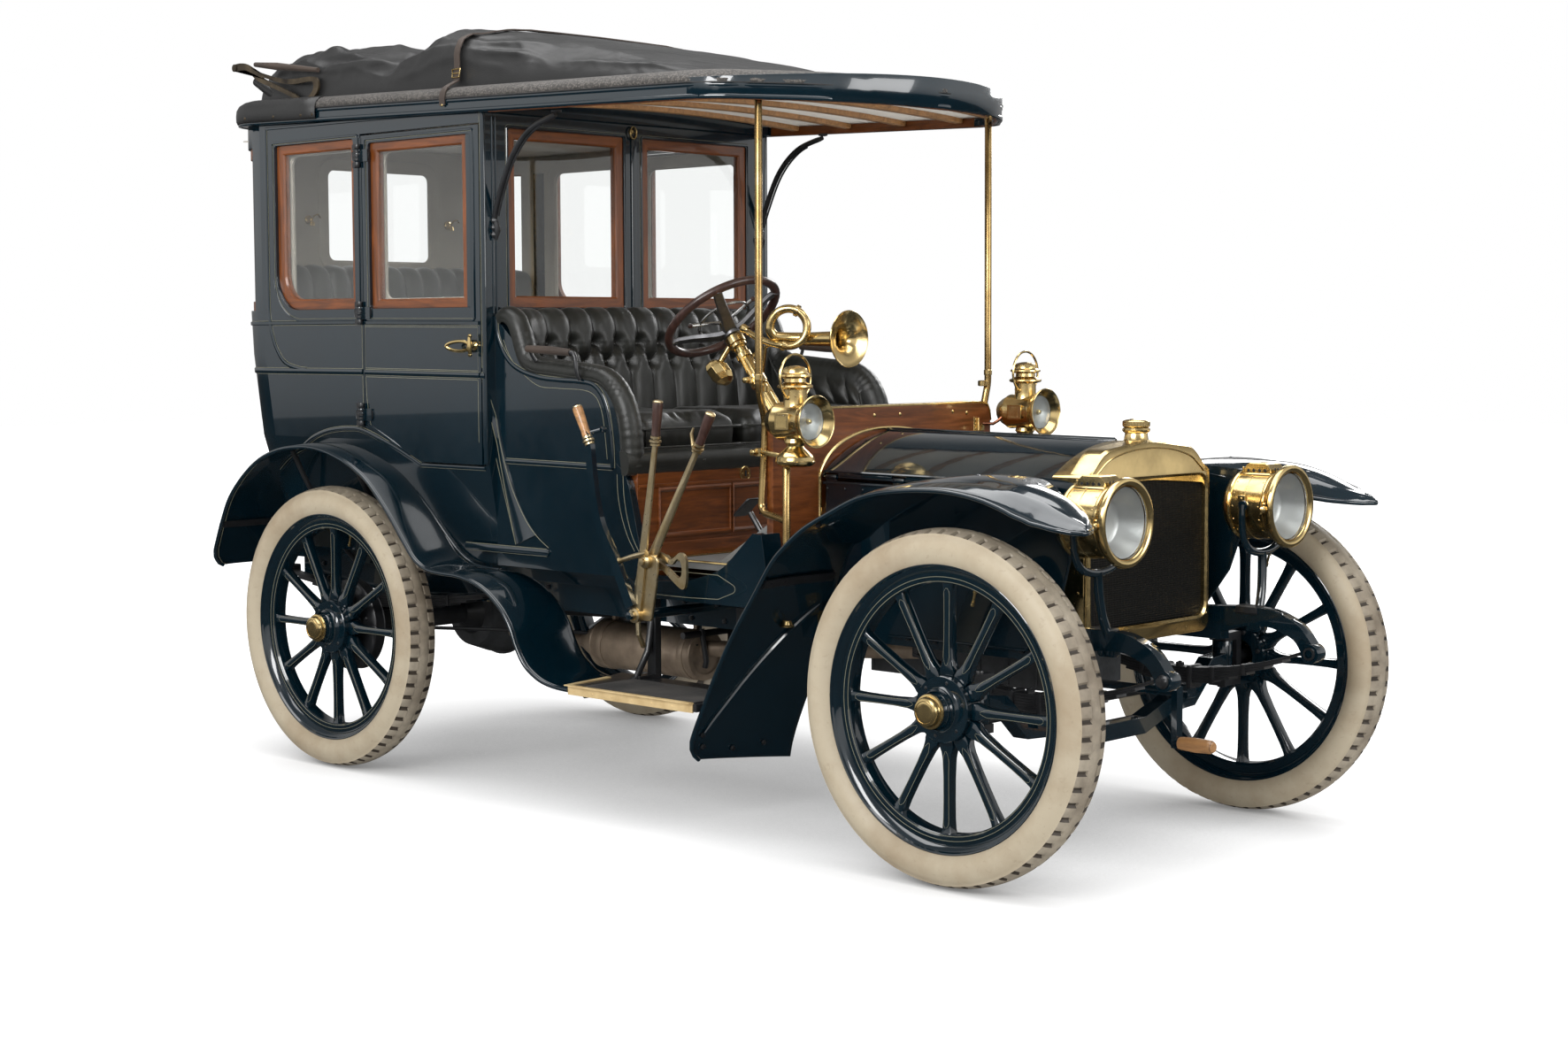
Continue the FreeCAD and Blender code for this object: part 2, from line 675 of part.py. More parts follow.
def bonnet_half(side_name, side):
    """A top panel hung on the centre rod, and a side panel hung on the pin along its edge."""
    x0 = N["dash_x"] + N["dash_thick"] + N["panel_gap"] + 1
    x1 = N["radiator_x"] - N["panel_gap"] - 1
    ends = ((x0, N["bonnet_half_rear"], 0), (x1, N["bonnet_half_front"], -9))
    sheet, pin, gap = N["bonnet_sheet"], N["crease_pin"], N["panel_gap"]
    sections, plates, edge = [], [], []
    for x, half, lower in ends:
        crease = N["crease_z"] + lower
        outer = bonnet_section(x, half, N["bonnet_top_z"] + lower, crease)
        inner = [point - Vector(0, 0, sheet) for point in outer]
        edges = [
            Part.Arc(*outer).toShape(), Part.makeLine(outer[2], inner[2]),
            Part.Arc(*inner[::-1]).toShape(), Part.makeLine(inner[0], outer[0]),
        ]
        sections.append(Part.Wire(edges))
        middle = half - 3
        edge.append(Vector(x, middle, crease - sheet - 5))
        low, high = N["bonnet_low"], crease - sheet - 17
        at_x = max(x, x0 + N["flap_set_back"])
        corners = [Vector(at_x, y, z) for y, z in (
            (half - sheet, low), (half, low), (half, high), (half - sheet, high))]
        plates.append(Part.makePolygon(corners + corners[:1]))
    along = edge[1] - edge[0]
    length = along.Length
    along.normalize()

    def at(distance, drop=0.0):
        return edge[0] + along * distance - Vector(0, 0, drop)

    def web(first, last, top, bottom):
        """A thin upright strip in line with the hinge, reaching above and below its axis."""
        corners = [at(first, -top), at(last, -top), at(last, bottom), at(first, bottom)]
        face = Part.Face(Part.makePolygon(corners + corners[:1]))
        face.translate(Vector(0, -1.5, 0))
        return face.extrude(Vector(0, 3, 0))

    top = Part.makeLoft(sections, True, True)
    side_plate = Part.makeLoft(plates, True, True)
    bars, sleeves = [rod(edge[0], edge[1], pin)], []
    stops = [length * part for part in (0.04, 0.34, 0.64, 0.94)]
    last = 0
    for stop in stops:
        if stop - 20 - gap > last:
            bars.append(web(last, stop - 20 - gap, 6, 0))
        top = top.cut(rod(at(stop - 20 - gap), at(stop + 20 + gap), N["crease_sleeve"] + gap))
        sleeve = rod(at(stop - 20), at(stop + 20), N["crease_sleeve"])
        sleeve = sleeve.fuse(web(stop - 20, stop + 20, 0, 20))
        sleeves.append(sleeve.cut(rod(at(stop - 30), at(stop + 30), pin + N["running_gap"])))
        last = stop + 20 + gap
    bars.append(web(last, length, 6, 0))
    feature(f"bonnet_top_{side_name}", on_side(fused(top, *bars), side))
    feature(f"bonnet_side_{side_name}", on_side(fused(side_plate, *sleeves), side))


for side_name, side in SIDES:
    bonnet_half(side_name, side)
feature("bonnet_hinge_rod", rod(
    (N["dash_x"] + N["dash_thick"], 0, N["bonnet_top_z"]),
    (N["radiator_x"], 0, N["bonnet_top_z"] - 9), N["bonnet_pin"]))


# ---- dash, floor and driver's seat -------------------------------------------------------

def dash_and_floor():
    half, x0, x1 = N["dash_half"], N["dash_x"], N["dash_x"] + N["dash_thick"]
    board = prism(
        ((-half, N["sill_z"]), (half, N["sill_z"]), (half, N["dash_top"], 48), (-half, N["dash_top"], 48)),
        "YZ", x0, x1)
    column = rod(column_point(-700), column_point(0), N["column_radius"] + N["seat_gap"])
    feature("dash_board", board.cut(column))
    floor = block(N["heel_x"], N["dash_x"], -half, half, N["floor_z"] - 20, N["floor_z"])
    toe = prism(((1560, 760), (x0, 900), (x0, 880), (1590, 758)), "XZ", -half + 30, half - 30)
    feature("front_floor", fused(floor, toe).cut(column))
    thick = N["panel_thick"]
    sill = prism(
        (
            (N["heel_x"] + 61, N["rail_high"]), (N["heel_x"] + 61, 704), (1540, 712, 300), (1680, 752, 200),
            (x0 + 15, 866), (x0 + 50, 866), (x0 + 90, N["rail_high"]),
        ), "XZ", half + N["seat_gap"], half + thick + 52)
    return sill


def column_point(along):
    """A point on the steering column's axis, measured from the hand wheel's centre."""
    slope = math.radians(N["column_angle"])
    return (N["wheel_x"] - along * math.cos(slope), N["wheel_y"], N["wheel_z"] + along * math.sin(slope))


def driver_seat(sill_board):
    half, thick, front = N["seat_half"], N["panel_thick"], N["body_front"]
    board, sill = N["seat_board"], N["sill_z"]
    side = prism(
        (
            (front, sill), (N["heel_x"] + 58, sill), (N["heel_x"] - 22, board - 6, 120), (1296, board),
            (1291, 1170, 70), (1215, 1290, 60), (900, 1330, 160), (front, 1490),
        ), "XZ", half - thick, half)
    feature("driver_seat_sides", both_sides(fused(side, sill_board)))
    inner = half - thick
    heel = block(N["heel_x"] - 25, N["heel_x"], -inner, inner, sill, board)
    top = block(front, N["heel_x"] - 25, -inner, inner, board - 22, board)
    feature("heel_board", fused(heel, top))
    gap = N["seat_gap"]
    cushion = prism(
        ((865, board + gap), (N["heel_x"] - 4, board + gap, 20), (N["heel_x"] - 12, N["seat_top"], 40),
         (865, N["seat_top"] - 12)), "XZ", -inner + gap, inner - gap)
    feature("driver_seat_cushion", cushion)
    back = prism(
        ((front + gap, board + gap), (862, board + gap), (862, N["seat_top"]), (812, 1500, 50),
         (front + gap, 1520, 30)), "XZ", -inner + gap, inner - gap)
    arm = prism(
        ((800, N["seat_top"] + gap), (1270, N["seat_top"] + gap), (1262, 1240, 50), (1180, 1300, 60),
         (900, 1345, 100), (800, 1420)), "XZ", inner - 70, inner - gap)
    feature("driver_seat_back", fused(back, arm, mirrored(arm)))


driver_seat(dash_and_floor())


# ---- steering column and hand wheel ------------------------------------------------------

def steering():
    column = rod(column_point(-830), column_point(-24), N["column_radius"])
    spindle = rod(column_point(-30), column_point(-10), 11)
    case = block(1880, 1980, N["wheel_y"] - 18, N["wheel_y"] + 75, 600, 860)
    foot = block(1895, 1965, 20 - N["rail_out"], N["wheel_y"] + 40, 600, N["rail_high"] - 13)
    feature("steering_column", fused(column, spindle, case, foot),
            ["chassis_frame", "dash_board", "front_floor"])
    radius, rim = N["hand_wheel_radius"], N["hand_rim"]
    hoop = Part.makeTorus(radius, rim)
    hub = Part.makeCylinder(34, 34, Vector(0, 0, -22))
    hub = hub.cut(Part.makeCylinder(11 + N["running_gap"], 14, Vector(0, 0, -22)))
    shapes = [hoop, hub]
    for quarter in range(4):
        spoke = Part.makeBox(radius - 20, 26, 8, Vector(20, -13, -6))
        spoke.rotate(Vector(0, 0, 0), Vector(0, 0, 1), 45 + 90 * quarter)
        shapes.append(spoke)
    shape = fused(*shapes)
    shape.rotate(Vector(0, 0, 0), Vector(0, 1, 0), N["column_angle"] - 90)
    shape.translate(Vector(N["wheel_x"], N["wheel_y"], N["wheel_z"]))
    feature("steering_wheel", shape)


steering()


# ---- cabin shell -------------------------------------------------------------------------

# height, how far the sides draw in, how far the back draws in
SECTIONS = (
    ("sill_z", 65, 140), (860, 38, 112), (1090, 0, 60), (1370, 0, 10), ("belt_z", 0, 0), (2200, 0, 0),
)


def cabin_solid(inset):
    """The cabin's whole outer volume, or the same drawn in by a wall."""
    wires = []
    radius = N["corner_radius"] - inset
    for height, side_in, back_in in SECTIONS:
        z = N.get(height, height)
        half = N["body_half"] - side_in - inset
        rear = -N["body_rear"] + back_in + inset
        front = N["body_front"] - inset
        wires.append(rounded(
            ((front, -half), (front, half), (rear, half, radius), (rear, -half, radius)), "XY", z))
    return Part.makeLoft(wires, True, True)


def roof_space():
    """Everything above the sloping seat of the roof."""
    space = block(-1200, 2600, -900, 900, 0, 900)
    space.rotate(Vector(0, 0, 0), Vector(0, 1, 0), N["roof_angle"])
    space.translate(Vector(0, 0, N["roof_z"]))
    return space


def window_cuts():
    """Each fixed window's opening as a cutting solid, on the left side or across the middle."""
    top, low = N["window_top"], N["belt_z"] + 8
    half, wall = N["body_half"], N["wall"]
    quarter = prism(
        ((-395, low, 120), (48, low, 12), (48, top, 12), (-395, top, 12)), "XZ", half - wall - 30, half + 30)
    centre = Vector(-N["body_rear"] + N["corner_radius"], N["body_half"] - N["corner_radius"], low)
    corner = Part.makeCylinder(N["corner_radius"] + 30, top - low, centre, Vector(0, 0, 1), 62)
    corner = corner.cut(Part.makeCylinder(N["corner_radius"] - wall - 30, top - low, centre))
    corner.rotate(centre, Vector(0, 0, 1), 104)
    back = prism(
        ((-330, low, 40), (330, low, 40), (330, top - 10, 40), (-330, top - 10, 40)), "YZ",
        -N["body_rear"] - 30, -N["body_rear"] + wall + 30)
    front = N["body_front"]
    division = prism(
        ((42, low, 8), (536, low, 8), (536, top, 8), (42, top, 8)), "YZ", front - wall - 30, front + 30)
    return quarter, corner, back, division


def door_outline(grow):
    """The rear door's outline with its stepped foot over the fender, grown by the shut gap."""
    rear, front = N["door_rear"] - grow, N["door_front"] + grow
    return (
        (rear, N["door_low_rear"] - grow), (N["door_mid_x"], N["door_low_mid"] - grow, 60),
        (front, N["door_low_mid"] - grow), (front, N["door_top"] + grow), (rear, N["door_top"] + grow),
    )


def cabin():
    gap = N["seat_gap"]
    outer, inner = cabin_solid(0), cabin_solid(N["wall"])
    shell = outer.cut(inner).cut(roof_space())
    quarter, corner, back_window, division = window_cuts()
    half, wall = N["body_half"], N["wall"]
    split = half - N["corner_radius"]
    face = N["body_front"] - wall
    rear_zone = block(-900, face, split, 900, 600, 2300)
    post_zone = block(face, 900, half - wall, 900, 600, 2300)
    side_zone = rear_zone.fuse(post_zone)
    opening = prism(door_outline(N["panel_gap"]), "XZ", half - wall - 60, half + 60)
    side_wall = shell.common(side_zone).cut(opening).cut(quarter).cut(corner)
    door = prism(door_outline(0), "XZ", half - wall, half)
    light = prism(
        ((128, N["belt_z"] + 8, 12), (652, N["belt_z"] + 8, 12), (652, N["window_top"] - 18, 12),
         (128, N["window_top"] - 18, 12)), "XZ", half - wall - 30, half + 30)
    door = door.cut(light)
    back = shell.common(block(-900, 0, -split, split, 600, 2300)).cut(back_window)
    front = shell.common(block(face, 900, wall - half, half - wall, 600, 2300))
    rebate = prism(door_outline(N["panel_gap"]), "XZ", half - wall - N["panel_gap"], half + 60)
    for cutter in (division, rebate):
        front = front.cut(cutter).cut(mirrored(cutter))
    axis_y, axis_x = half + N["hinge_out"], N["door_rear"] - 4
    pins, leaves = [], []
    for z in (1172, 1506, 2020):
        pins.append(rod((axis_x, axis_y, z - 38), (axis_x, axis_y, z + 38), N["hinge_pin"]))
        for z0, z1 in ((z - 38, z - 20.3), (z + 20.3, z + 38)):
            lug = rod((axis_x, axis_y, z0), (axis_x, axis_y, z1), N["hinge_sleeve"])
            foot = block(axis_x - 34, axis_x, half, half + 6, z0, z1)
            web = block(axis_x - 20, axis_x, half, axis_y, z0, z1)
            pins.append(lug.fuse(foot).fuse(web))
        sleeve = rod((axis_x, axis_y, z - 20), (axis_x, axis_y, z + 20), N["hinge_sleeve"])
        leaf = block(axis_x + 4, axis_x + 46, half, half + 6, z - 20, z + 20)
        web = block(axis_x + 4, axis_x + 14, half, axis_y, z - 20, z + 20)
        piece = sleeve.fuse(web).fuse(leaf)
        bore = N["hinge_pin"] + N["running_gap"]
        leaves.append(piece.cut(rod((axis_x, axis_y, z - 30), (axis_x, axis_y, z + 30), bore)))
    hinge_solids = []
    for index in range(0, len(pins), 3):
        hinge_solids.append(fused(*pins[index:index + 3]))
    glass = N["glass_thick"] / 2
    middle = half - wall / 2

    def pane(cut, y):
        return cut.common(block(-900, 900, y - glass, y + glass, 1000, 2300))

    fixed = [pane(quarter, middle)]
    centre = Vector(-N["body_rear"] + N["corner_radius"], half - N["corner_radius"], 1000)
    ring = Part.makeCylinder(N["corner_radius"] - wall / 2 + glass, 1300, centre)
    ring = ring.cut(Part.makeCylinder(N["corner_radius"] - wall / 2 - glass, 1300, centre))
    fixed.append(corner.common(ring))
    middle_front = N["body_front"] - wall / 2
    fixed.append(division.common(block(middle_front - glass, middle_front + glass, 0, 900, 1000, 2300)))
    middle_back = -N["body_rear"] + wall / 2
    rear_pane = back_window.common(block(middle_back - glass, middle_back + glass, -900, 900, 1000, 2300))
    feature("cabin_glass", group(both_sides(group(*fixed)), rear_pane))
    door_pane = pane(light, middle)
    for side_name, side in SIDES:
        feature(f"rear_door_{side_name}", on_side(fused(door, *leaves), side))
        feature(f"rear_door_glass_{side_name}", on_side(door_pane, side))
    feature("door_hinge_brackets", both_sides(group(*hinge_solids)))
    feature("cabin_sides", both_sides(side_wall))
    feature("cabin_back", back)
    feature("cabin_front", front)
    inner = cabin_solid(N["wall"] + gap / 2)
    floor = inner.common(block(-900, 900, -900, 900, N["sill_z"], N["sill_z"] + 20))
    base = block(-560, -60, -520, 520, N["sill_z"] + 20, 1040).common(inner)
    feature("cabin_floor", fused(floor, base))
    cushion = block(-470, -20, -540, 540, 1040 + gap, 1190)
    back_pad = prism(
        ((-600, 1040 + gap), (-470 - gap, 1040 + gap), (-500, 1480, 40), (-600, 1480, 20)), "XZ", -400, 400)
    seat = fused(cushion, back_pad, block(-480, -460, -400, 400, 1041, 1180))
    feature("rear_seat", seat.common(cabin_solid(N["wall"] + gap)), ["cabin_floor"])


cabin()
prism_body(
    "body_platform", "XY", ((-540, -480), (S["dash_x"], -480), (S["dash_x"], 480), (-540, 480)),
    S["rail_high"], S["sill_z"])


# ---- roof --------------------------------------------------------------------------------

def roof():
    """Board with a crowned top, a moulded edge, and a hollow underside over the driver."""
    half, front, rear = N["roof_half"], N["roof_front"], N["tail_x"]

    def plan(inset):
        wide, nose, tail = half - inset, front - inset, rear + inset
        radius = N["corner_radius"] - inset
        corner = radius * (1 - math.sqrt(0.5))
        # along the left side from the front bow to the middle of the tail
        bow, cheek, flank = (nose - 235, wide * 0.84), (nose - 308, wide * 0.955), (nose - 440, wide)
        round_start, round_mid, round_end = (
            (tail + radius, wide), (tail + corner, wide - corner), (tail, wide - radius))

        def at(spot, side):
            return Vector(spot[0], spot[1] * side, 0)

        edges = [Part.Arc(at(bow, -1), Vector(nose, 0, 0), at(bow, 1)).toShape(),
                 Part.makeLine(at(round_end, 1), at(round_end, -1))]
        for side in (-1, 1):
            edges.append(Part.Arc(at(bow, side), at(cheek, side), at(flank, side)).toShape())
            edges.append(Part.makeLine(at(flank, side), at(round_start, side)))
            bend = Part.Arc(at(round_start, side), at(round_mid, side), at(round_end, side))
            edges.append(bend.toShape())
        outline_wire = Part.Wire(Part.__sortEdges__(edges))
        return Part.Face(outline_wire).extrude(Vector(0, 0, 300))

    def crowned(inset, low, edge, crown):
        """Flat foot, upright edges and an arched top, through the whole length."""
        wide = half - inset
        arch = Part.Arc(Vector(rear, wide, edge), Vector(rear, 0, edge + crown), Vector(rear, -wide, edge))
        sides = Part.makePolygon([
            Vector(rear, -wide, edge), Vector(rear, -wide, low), Vector(rear, wide, low), Vector(rear, wide, edge)])
        return Part.Face(Part.Wire([arch.toShape()] + sides.Edges)).extrude(Vector(front - rear, 0, 0))

    board = plan(0).common(crowned(0, 0, N["roof_edge"], N["roof_crown"]))
    everything = crowned(-100, -600, N["roof_edge"] + N["seat_gap"], N["roof_crown"])
    hollow = plan(30).common(crowned(30, 0, N["roof_edge"] - N["roof_skin"], N["roof_crown"]))
    hollow = hollow.common(block(N["body_front"] + 20, front, -900, 900, -10, 400))
    board = board.cut(hollow)
    for shape in (board, everything):
        shape.rotate(Vector(0, 0, 0), Vector(0, 1, 0), N["roof_angle"])
        shape.translate(Vector(0, 0, N["roof_z"] + N["seat_gap"]))
    feature("roof", board)
    return everything


def roof_cover(under):
    """Folded leather hood lying on the roof, one closed soft form."""
    form = prism(
        (
            (-700, 2100), (-700, 2360, 40), (-640, 2412, 60), (-200, 2418, 60), (70, 2392, 60),
            (330, 2352, 30), (430, 2394, 30), (1180, 2285, 200), (1860, 2150, 60), (1880, 2100),
        ), "XZ", -640, 640)
    taper = prism(
        ((-612, 2050), (612, 2050), (612, 2190), (560, 2300, 90), (470, 2440, 60), (-470, 2440, 60),
         (-560, 2300, 90), (-612, 2190)), "YZ", -800, 2000)
    shape = form.common(taper)
    feature("roof_cover", shape.cut(under))


roof_cover(roof())


# ---- fenders and running boards ----------------------------------------------------------

def strip(points, plan_points, y0, y1):
    """A bent sheet: a side profile given thickness, spread across, trimmed by its plan."""
    thick = N["sheet_thick"]
    spots = [Vector(x, 0, z) for x, z in points]
    normals = []
    for index in range(len(spots)):
        before = spots[max(index - 1, 0)]
        after = spots[min(index + 1, len(spots) - 1)]
        along = (after - before).normalize()
        normals.append(Vector(along.z, 0, -along.x) * thick)
    upper = [(spot.x, spot.z) for spot in spots]
    lower = [(spot.x + n.x, spot.z + n.z) for spot, n in zip(spots, normals)]
    sheet_shape = prism(tuple(upper + lower[::-1]), "XZ", y0, y1)
    return sheet_shape.common(prism(plan_points, "XY", 0, 1400))


def fender_profile(points, steps=5):
    """Points along a smooth curve through a few knots."""
    curve = Part.BSplineCurve()
    curve.interpolate([Vector(x, 0, z) for x, z in points])
    count = steps * (len(points) - 1)
    first, last = curve.FirstParameter, curve.LastParameter
    return [(v.x, v.z) for v in (curve.value(first + (last - first) * i / count) for i in range(count + 1))]


def front_fenders():
    knots = ((1680, 200), (1850, 525), (1995, 798), (2150, 915), (2330, 1003), (2500, 1042),
             (2660, 1055), (2850, 1030), (3062, 960))
    out, inner = N["fender_out"], N["rail_nose_y"] + 33
    plan_points = (
        (1600, 300), (1860, 300), (1860, inner + 45), (2060, inner + 45), (2160, inner),
        (2752, inner, 30), (2800, 524, 60), (3062, 545, 90), (3062, out, 95), (2650, out, 200),
        (1600, out + 5),
    )
    profile = fender_profile(knots)
    sheet_shape = strip(profile, plan_points, 290, out + 30)
    foot = prism(((280, 176), (280, 100), (900, 100), (900, 252)), "YZ", 1500, 1900)
    sheet_shape = sheet_shape.cut(foot)
    crest = [(x, z - 2) for x, z in profile if 2160 < x < 2752]
    low = N["rail_low"] + 30
    valance = prism([(crest[0][0], low)] + crest + [(2700, low + 30)], "XZ", inner, inner + 4)
    face = N["rail_nose_y"] + N["rail_thick"] / 2
    stays = [block(x, x + 30, face, inner + 2, low + 5, low + 45) for x in (2230, 2540)]
    feature("front_fenders", both_sides(fused(sheet_shape, valance, *stays)), ["chassis_frame"])


def rear_fenders():
    knots = ((-626, 636), (-600, 720), (-512, 884), (-330, 1022), (-78, 1073), (110, 1045),
             (280, 975), (459, 790), (560, 680), (633, 634), (805, 600), (1012, 490),
             (1211, N["board_z"]))
    out = N["rear_fender_out"]
    plan_points = ((-700, 560), (1300, 560), (1300, N["board_out"]), (640, out, 200), (-700, out))
    sheet_shape = strip(fender_profile(knots), plan_points, 500, out + 30).cut(cabin_solid(-N["seat_gap"]))
    solids = sorted(sheet_shape.Solids, key=lambda solid: -solid.Volume)
    feature("rear_fenders", both_sides(solids[0]), ["running_boards"])


def running_boards():
    z0, z1 = N["board_z"] - N["board_thick"], N["board_z"]
    plan_points = ((1213, N["board_out"]), (1118, 450), (1752, 450), (1752, N["board_out"]))
    board = prism(plan_points, "XY", z0, z1)
    mat = block(1262, 1735, 532, N["board_out"] - 12, z1 - 1, z1 + N["mat_thick"])
    irons = []
    for x in (1240, 1620):
        high = N["rail_low"] + 70
        arm = prism(((x, high), (x + 36, high), (x + 36, z1 + 1, 10), (x, z1 + 1, 10)),
                    "XZ", N["rail_out"] + 0.3, N["rail_out"] + 24)
        foot = block(x, x + 36, N["rail_out"] + 0.3, 520, z1, z1 + 10)
        irons.append(fused(arm, foot))
    feature("running_boards", both_sides(fused(board, mat, *irons)))


front_fenders()
running_boards()
rear_fenders()


# ---- lamps, posts and irons --------------------------------------------------------------

def lamps():
    y, z, front = 397, 946, 2968
    drum = rod((front - 150, y, z), (front - 8, y, z), 96)
    bezel = cone((front - 30, y, z), (front, y, z), 98, 114)
    bowl = cone((front - 188, y, z), (front - 148, y, z), 58, 96)
    vent = block(front - 130, front - 50, y - 34, y + 34, z + 80, z + 122)
    lamp = fused(drum, bezel, bowl, vent)
    pocket = rod((front - 12, y, z), (front + 1, y, z), 94)
    feature("headlamps", both_sides(lamp.cut(pocket)))
    low = N["rail_high"] - 30
    post = rod((2880, N["rail_nose_y"], low), (2880, y, 779), 13)
    yoke = bent_rod(
        ((2880, y - 112, z), (2880, y - 112, 775, 60), (2880, y + 112, 775, 60), (2880, y + 112, z)), 10)
    ears = [rod((2880, y + a, z), (2880, y + b, z), 14) for a, b in ((-124, -96.3), (96.3, 124))]
    feature("headlamp_brackets", both_sides(fused(post, yoke, *ears)), ["chassis_frame"])
    glass_front = rod((front - 12, y, z), (front - 7, y, z), 93.7)
    sy, sz, sx = 530, 1188, 1995
    drum = rod((sx - 105, sy, sz), (sx - 20, sy, sz), 52)
    bezel = cone((sx - 30, sy, sz), (sx, sy, sz), 50, 72)
    back = cone((sx - 125, sy, sz), (sx - 105, sy, sz), 36, 52)
    font = rod((sx - 66, sy, sz - 128), (sx - 66, sy, sz - 96), 55)
    neck = rod((sx - 66, sy, sz - 100), (sx - 66, sy, sz - 30), 22)
    tiers = ((40, 90, 32), (88, 98, 48), (98, 118, 30), (117, 126, 45), (126, 142, 34))
    stack = [rod((sx - 66, sy, sz + low_z), (sx - 66, sy, sz + high_z), radius)
             for low_z, high_z, radius in tiers]
    lamp = fused(drum, bezel, back, font, neck, *stack)
    pocket = rod((sx - 10, sy, sz), (sx + 1, sy, sz), 52)
    feature("side_lamps", both_sides(lamp.cut(pocket)))
    glass_side = rod((sx - 10, sy, sz), (sx - 6, sy, sz), 51.7)
    feature("lamp_glasses", both_sides(group(glass_front, glass_side)))


def posts():
    x, y = 1784, 523
    post = bent_rod(
        ((x, y, 2150), (x, y + 3, 1276, 120), (x, y - 25, 1180, 120), (x, y - 6, 925, 30),
         (1905, y + 14, 905)), 11)
    stand = rod((1909, 545, 600), (1909, 545, 1060), 11)
    posts_shape = fused(post, stand)
    for other in ("front_fenders", "dash_board", "roof"):
        posts_shape = posts_shape.cut(finished[other])
    largest = sorted(posts_shape.Solids, key=lambda solid: -solid.Volume)[0]
    feature("windscreen_posts", both_sides(largest), ["driver_seat_sides"])


lamps()
posts()


# ---- starting handle, levers and horn ----------------------------------------------------

def small_controls():
    z = 453
    shaft = rod((2560.3, 0, z), (2866, 0, z), 12)
    arm = prism(((2850, z + 16), (2850, 300), (2868, 300), (2868, z + 16)), "XZ", -14, 14)
    grip = rod((2860, 0, 314), (2975, 0, 314), 16)
    feature("starting_handle", fused(shaft, arm, grip))
    y = 690
    first = cone((1444, -y, 640), (1530, -y, 1140), 14, 8)
    first_grip = cone((1528, -y, 1130), (1540, -y, 1243), 11, 16)
    second = cone((1484, -y + 16, 775), (1690, -y + 16, 1120), 13, 8)
    second_grip = cone((1686, -y + 16, 1112), (1739, -y + 16, 1211), 11, 16)
    out = -y - 14
    third = bent_rod(((1438, out, 655), (1304, out, 880, 200), (1262, out, 1118, 100), (1240, out, 1150)), 8)
    third_grip = cone((1252, out, 1135), (1207, out, 1222), 10, 15)
    sill_face = -N["dash_half"] - N["panel_thick"] - 52
    shaft = rod((1482, -y - 12, 775), (1482, sill_face - 1, 775), 13)
    cross = rod((1441, -y - 22, 655), (1441, sill_face, 655), 11)
    bracket = prism(((1415, 668), (1465, 668), (1500, 760), (1500, 795), (1465, 795), (1415, 680)), "XZ",
                    sill_face - 8, sill_face)
    sector = prism(
        ((1470, 770), (1600, 700), (1618, 720), (1618, 790), (1600, 800)), "XZ", -y + 26, -y + 34)
    feature("hand_levers", fused(
        first, first_grip, second, second_grip, third, third_grip, shaft, cross, bracket, sector),
        ["driver_seat_sides"])


def horn():
    """Coiled horn: bell facing forward, a loop behind it, clamped to the column."""
    y, z = -180, 1418
    bell = [cone((1700, y, z), (1768, y, z), 22, 42), cone((1768, y, z), (1803, y, z), 42, 83)]
    hollow = [cone((1704, y, z), (1769, y, z), 16, 38), cone((1768, y, z), (1804, y, z), 36, 80)]
    tube = rod((1590, -222, 1438), (1702, y, z), 21)
    centre = Vector(1643, -250, 1452)
    loop = Part.makeTorus(50, 13, centre, Vector(0.6, -0.8, 0))
    reed = rod((1478, -262, 1446), (1600, -236, 1440), 13)
    clamp_at = column_point(-262)
    stem = rod((1620, -240, 1410), (clamp_at[0], clamp_at[1], clamp_at[2]), 9)
    room = rod(column_point(-330), column_point(-200), N["column_radius"] + N["seat_gap"] / 3)
    collar = rod(column_point(-278), column_point(-246), 31)
    shape = fused(*bell, tube, loop, reed, stem, collar)
    for cutter in hollow + [room]:
        shape = shape.cut(cutter)
    feature("horn", shape)


def roof_irons():
    """Scrolled stays from the cabin's front to the roof, and forks behind that hold the hood."""
    x, y = N["body_front"], 600
    stay = bent_rod(
        ((x + 2, y, 1788), (740, y, 1860, 60), (806, y, 1985, 130), (895, y, 2064, 90), (1006, y, 2092, 30),
         (1016, y, 2160)), 9)
    pad = rod((x - 0.5, y, 1788), (x + 8, y, 1788), 20)
    out = y + 18
    near = y + 12.3
    knob = rod((-235, near, 2216), (-235, out + 12, 2216), 15)
    lower = rod((-235, out, 2216), (-489, out, 2300), 8)
    upper = bent_rod(
        ((-650, out, 2368), (-500, out, 2333, 20), (-180, out, 2297, 24), (-164, out, 2245, 24),
         (-235, out, 2216)), 8)
    tie = rod((-489, out, 2300), (-520, out, 2338), 8)
    bar = rod((-527, out - 8, 2366), (-166, out - 8, 2316), 11)
    link = rod((-400, out - 4, 2349), (-400, out - 2, 2320), 7)
    foot = block(-262, -208, near, near + 8, 2130, 2232)
    fork = fused(knob, lower, upper, tie, bar, link, foot)
    feature("roof_irons", both_sides(group(fused(stay, pad), fork)),
            ["roof", "cabin_sides", "cabin_front"])


small_controls()
horn()
roof_irons()


# ---- check and write ---------------------------------------------------------------------

doc.recompute()
for thing in doc.Objects:
    if "Invalid" in thing.State or "Error" in thing.State:
        raise RuntimeError(f"{thing.Label} failed: {thing.State}")
os.makedirs("parts", exist_ok=True)
for thing in pieces:
    if thing.Shape.isNull() or not thing.Shape.isValid() or not thing.Shape.Solids:
        raise RuntimeError(f"{thing.Label} has no sound shape")
    thing.Shape.exportStep(f"parts/{thing.Label}.step")
print(len(pieces), "pieces written")
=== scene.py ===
"""Looks of a brass era town car, built round its fixed frame."""

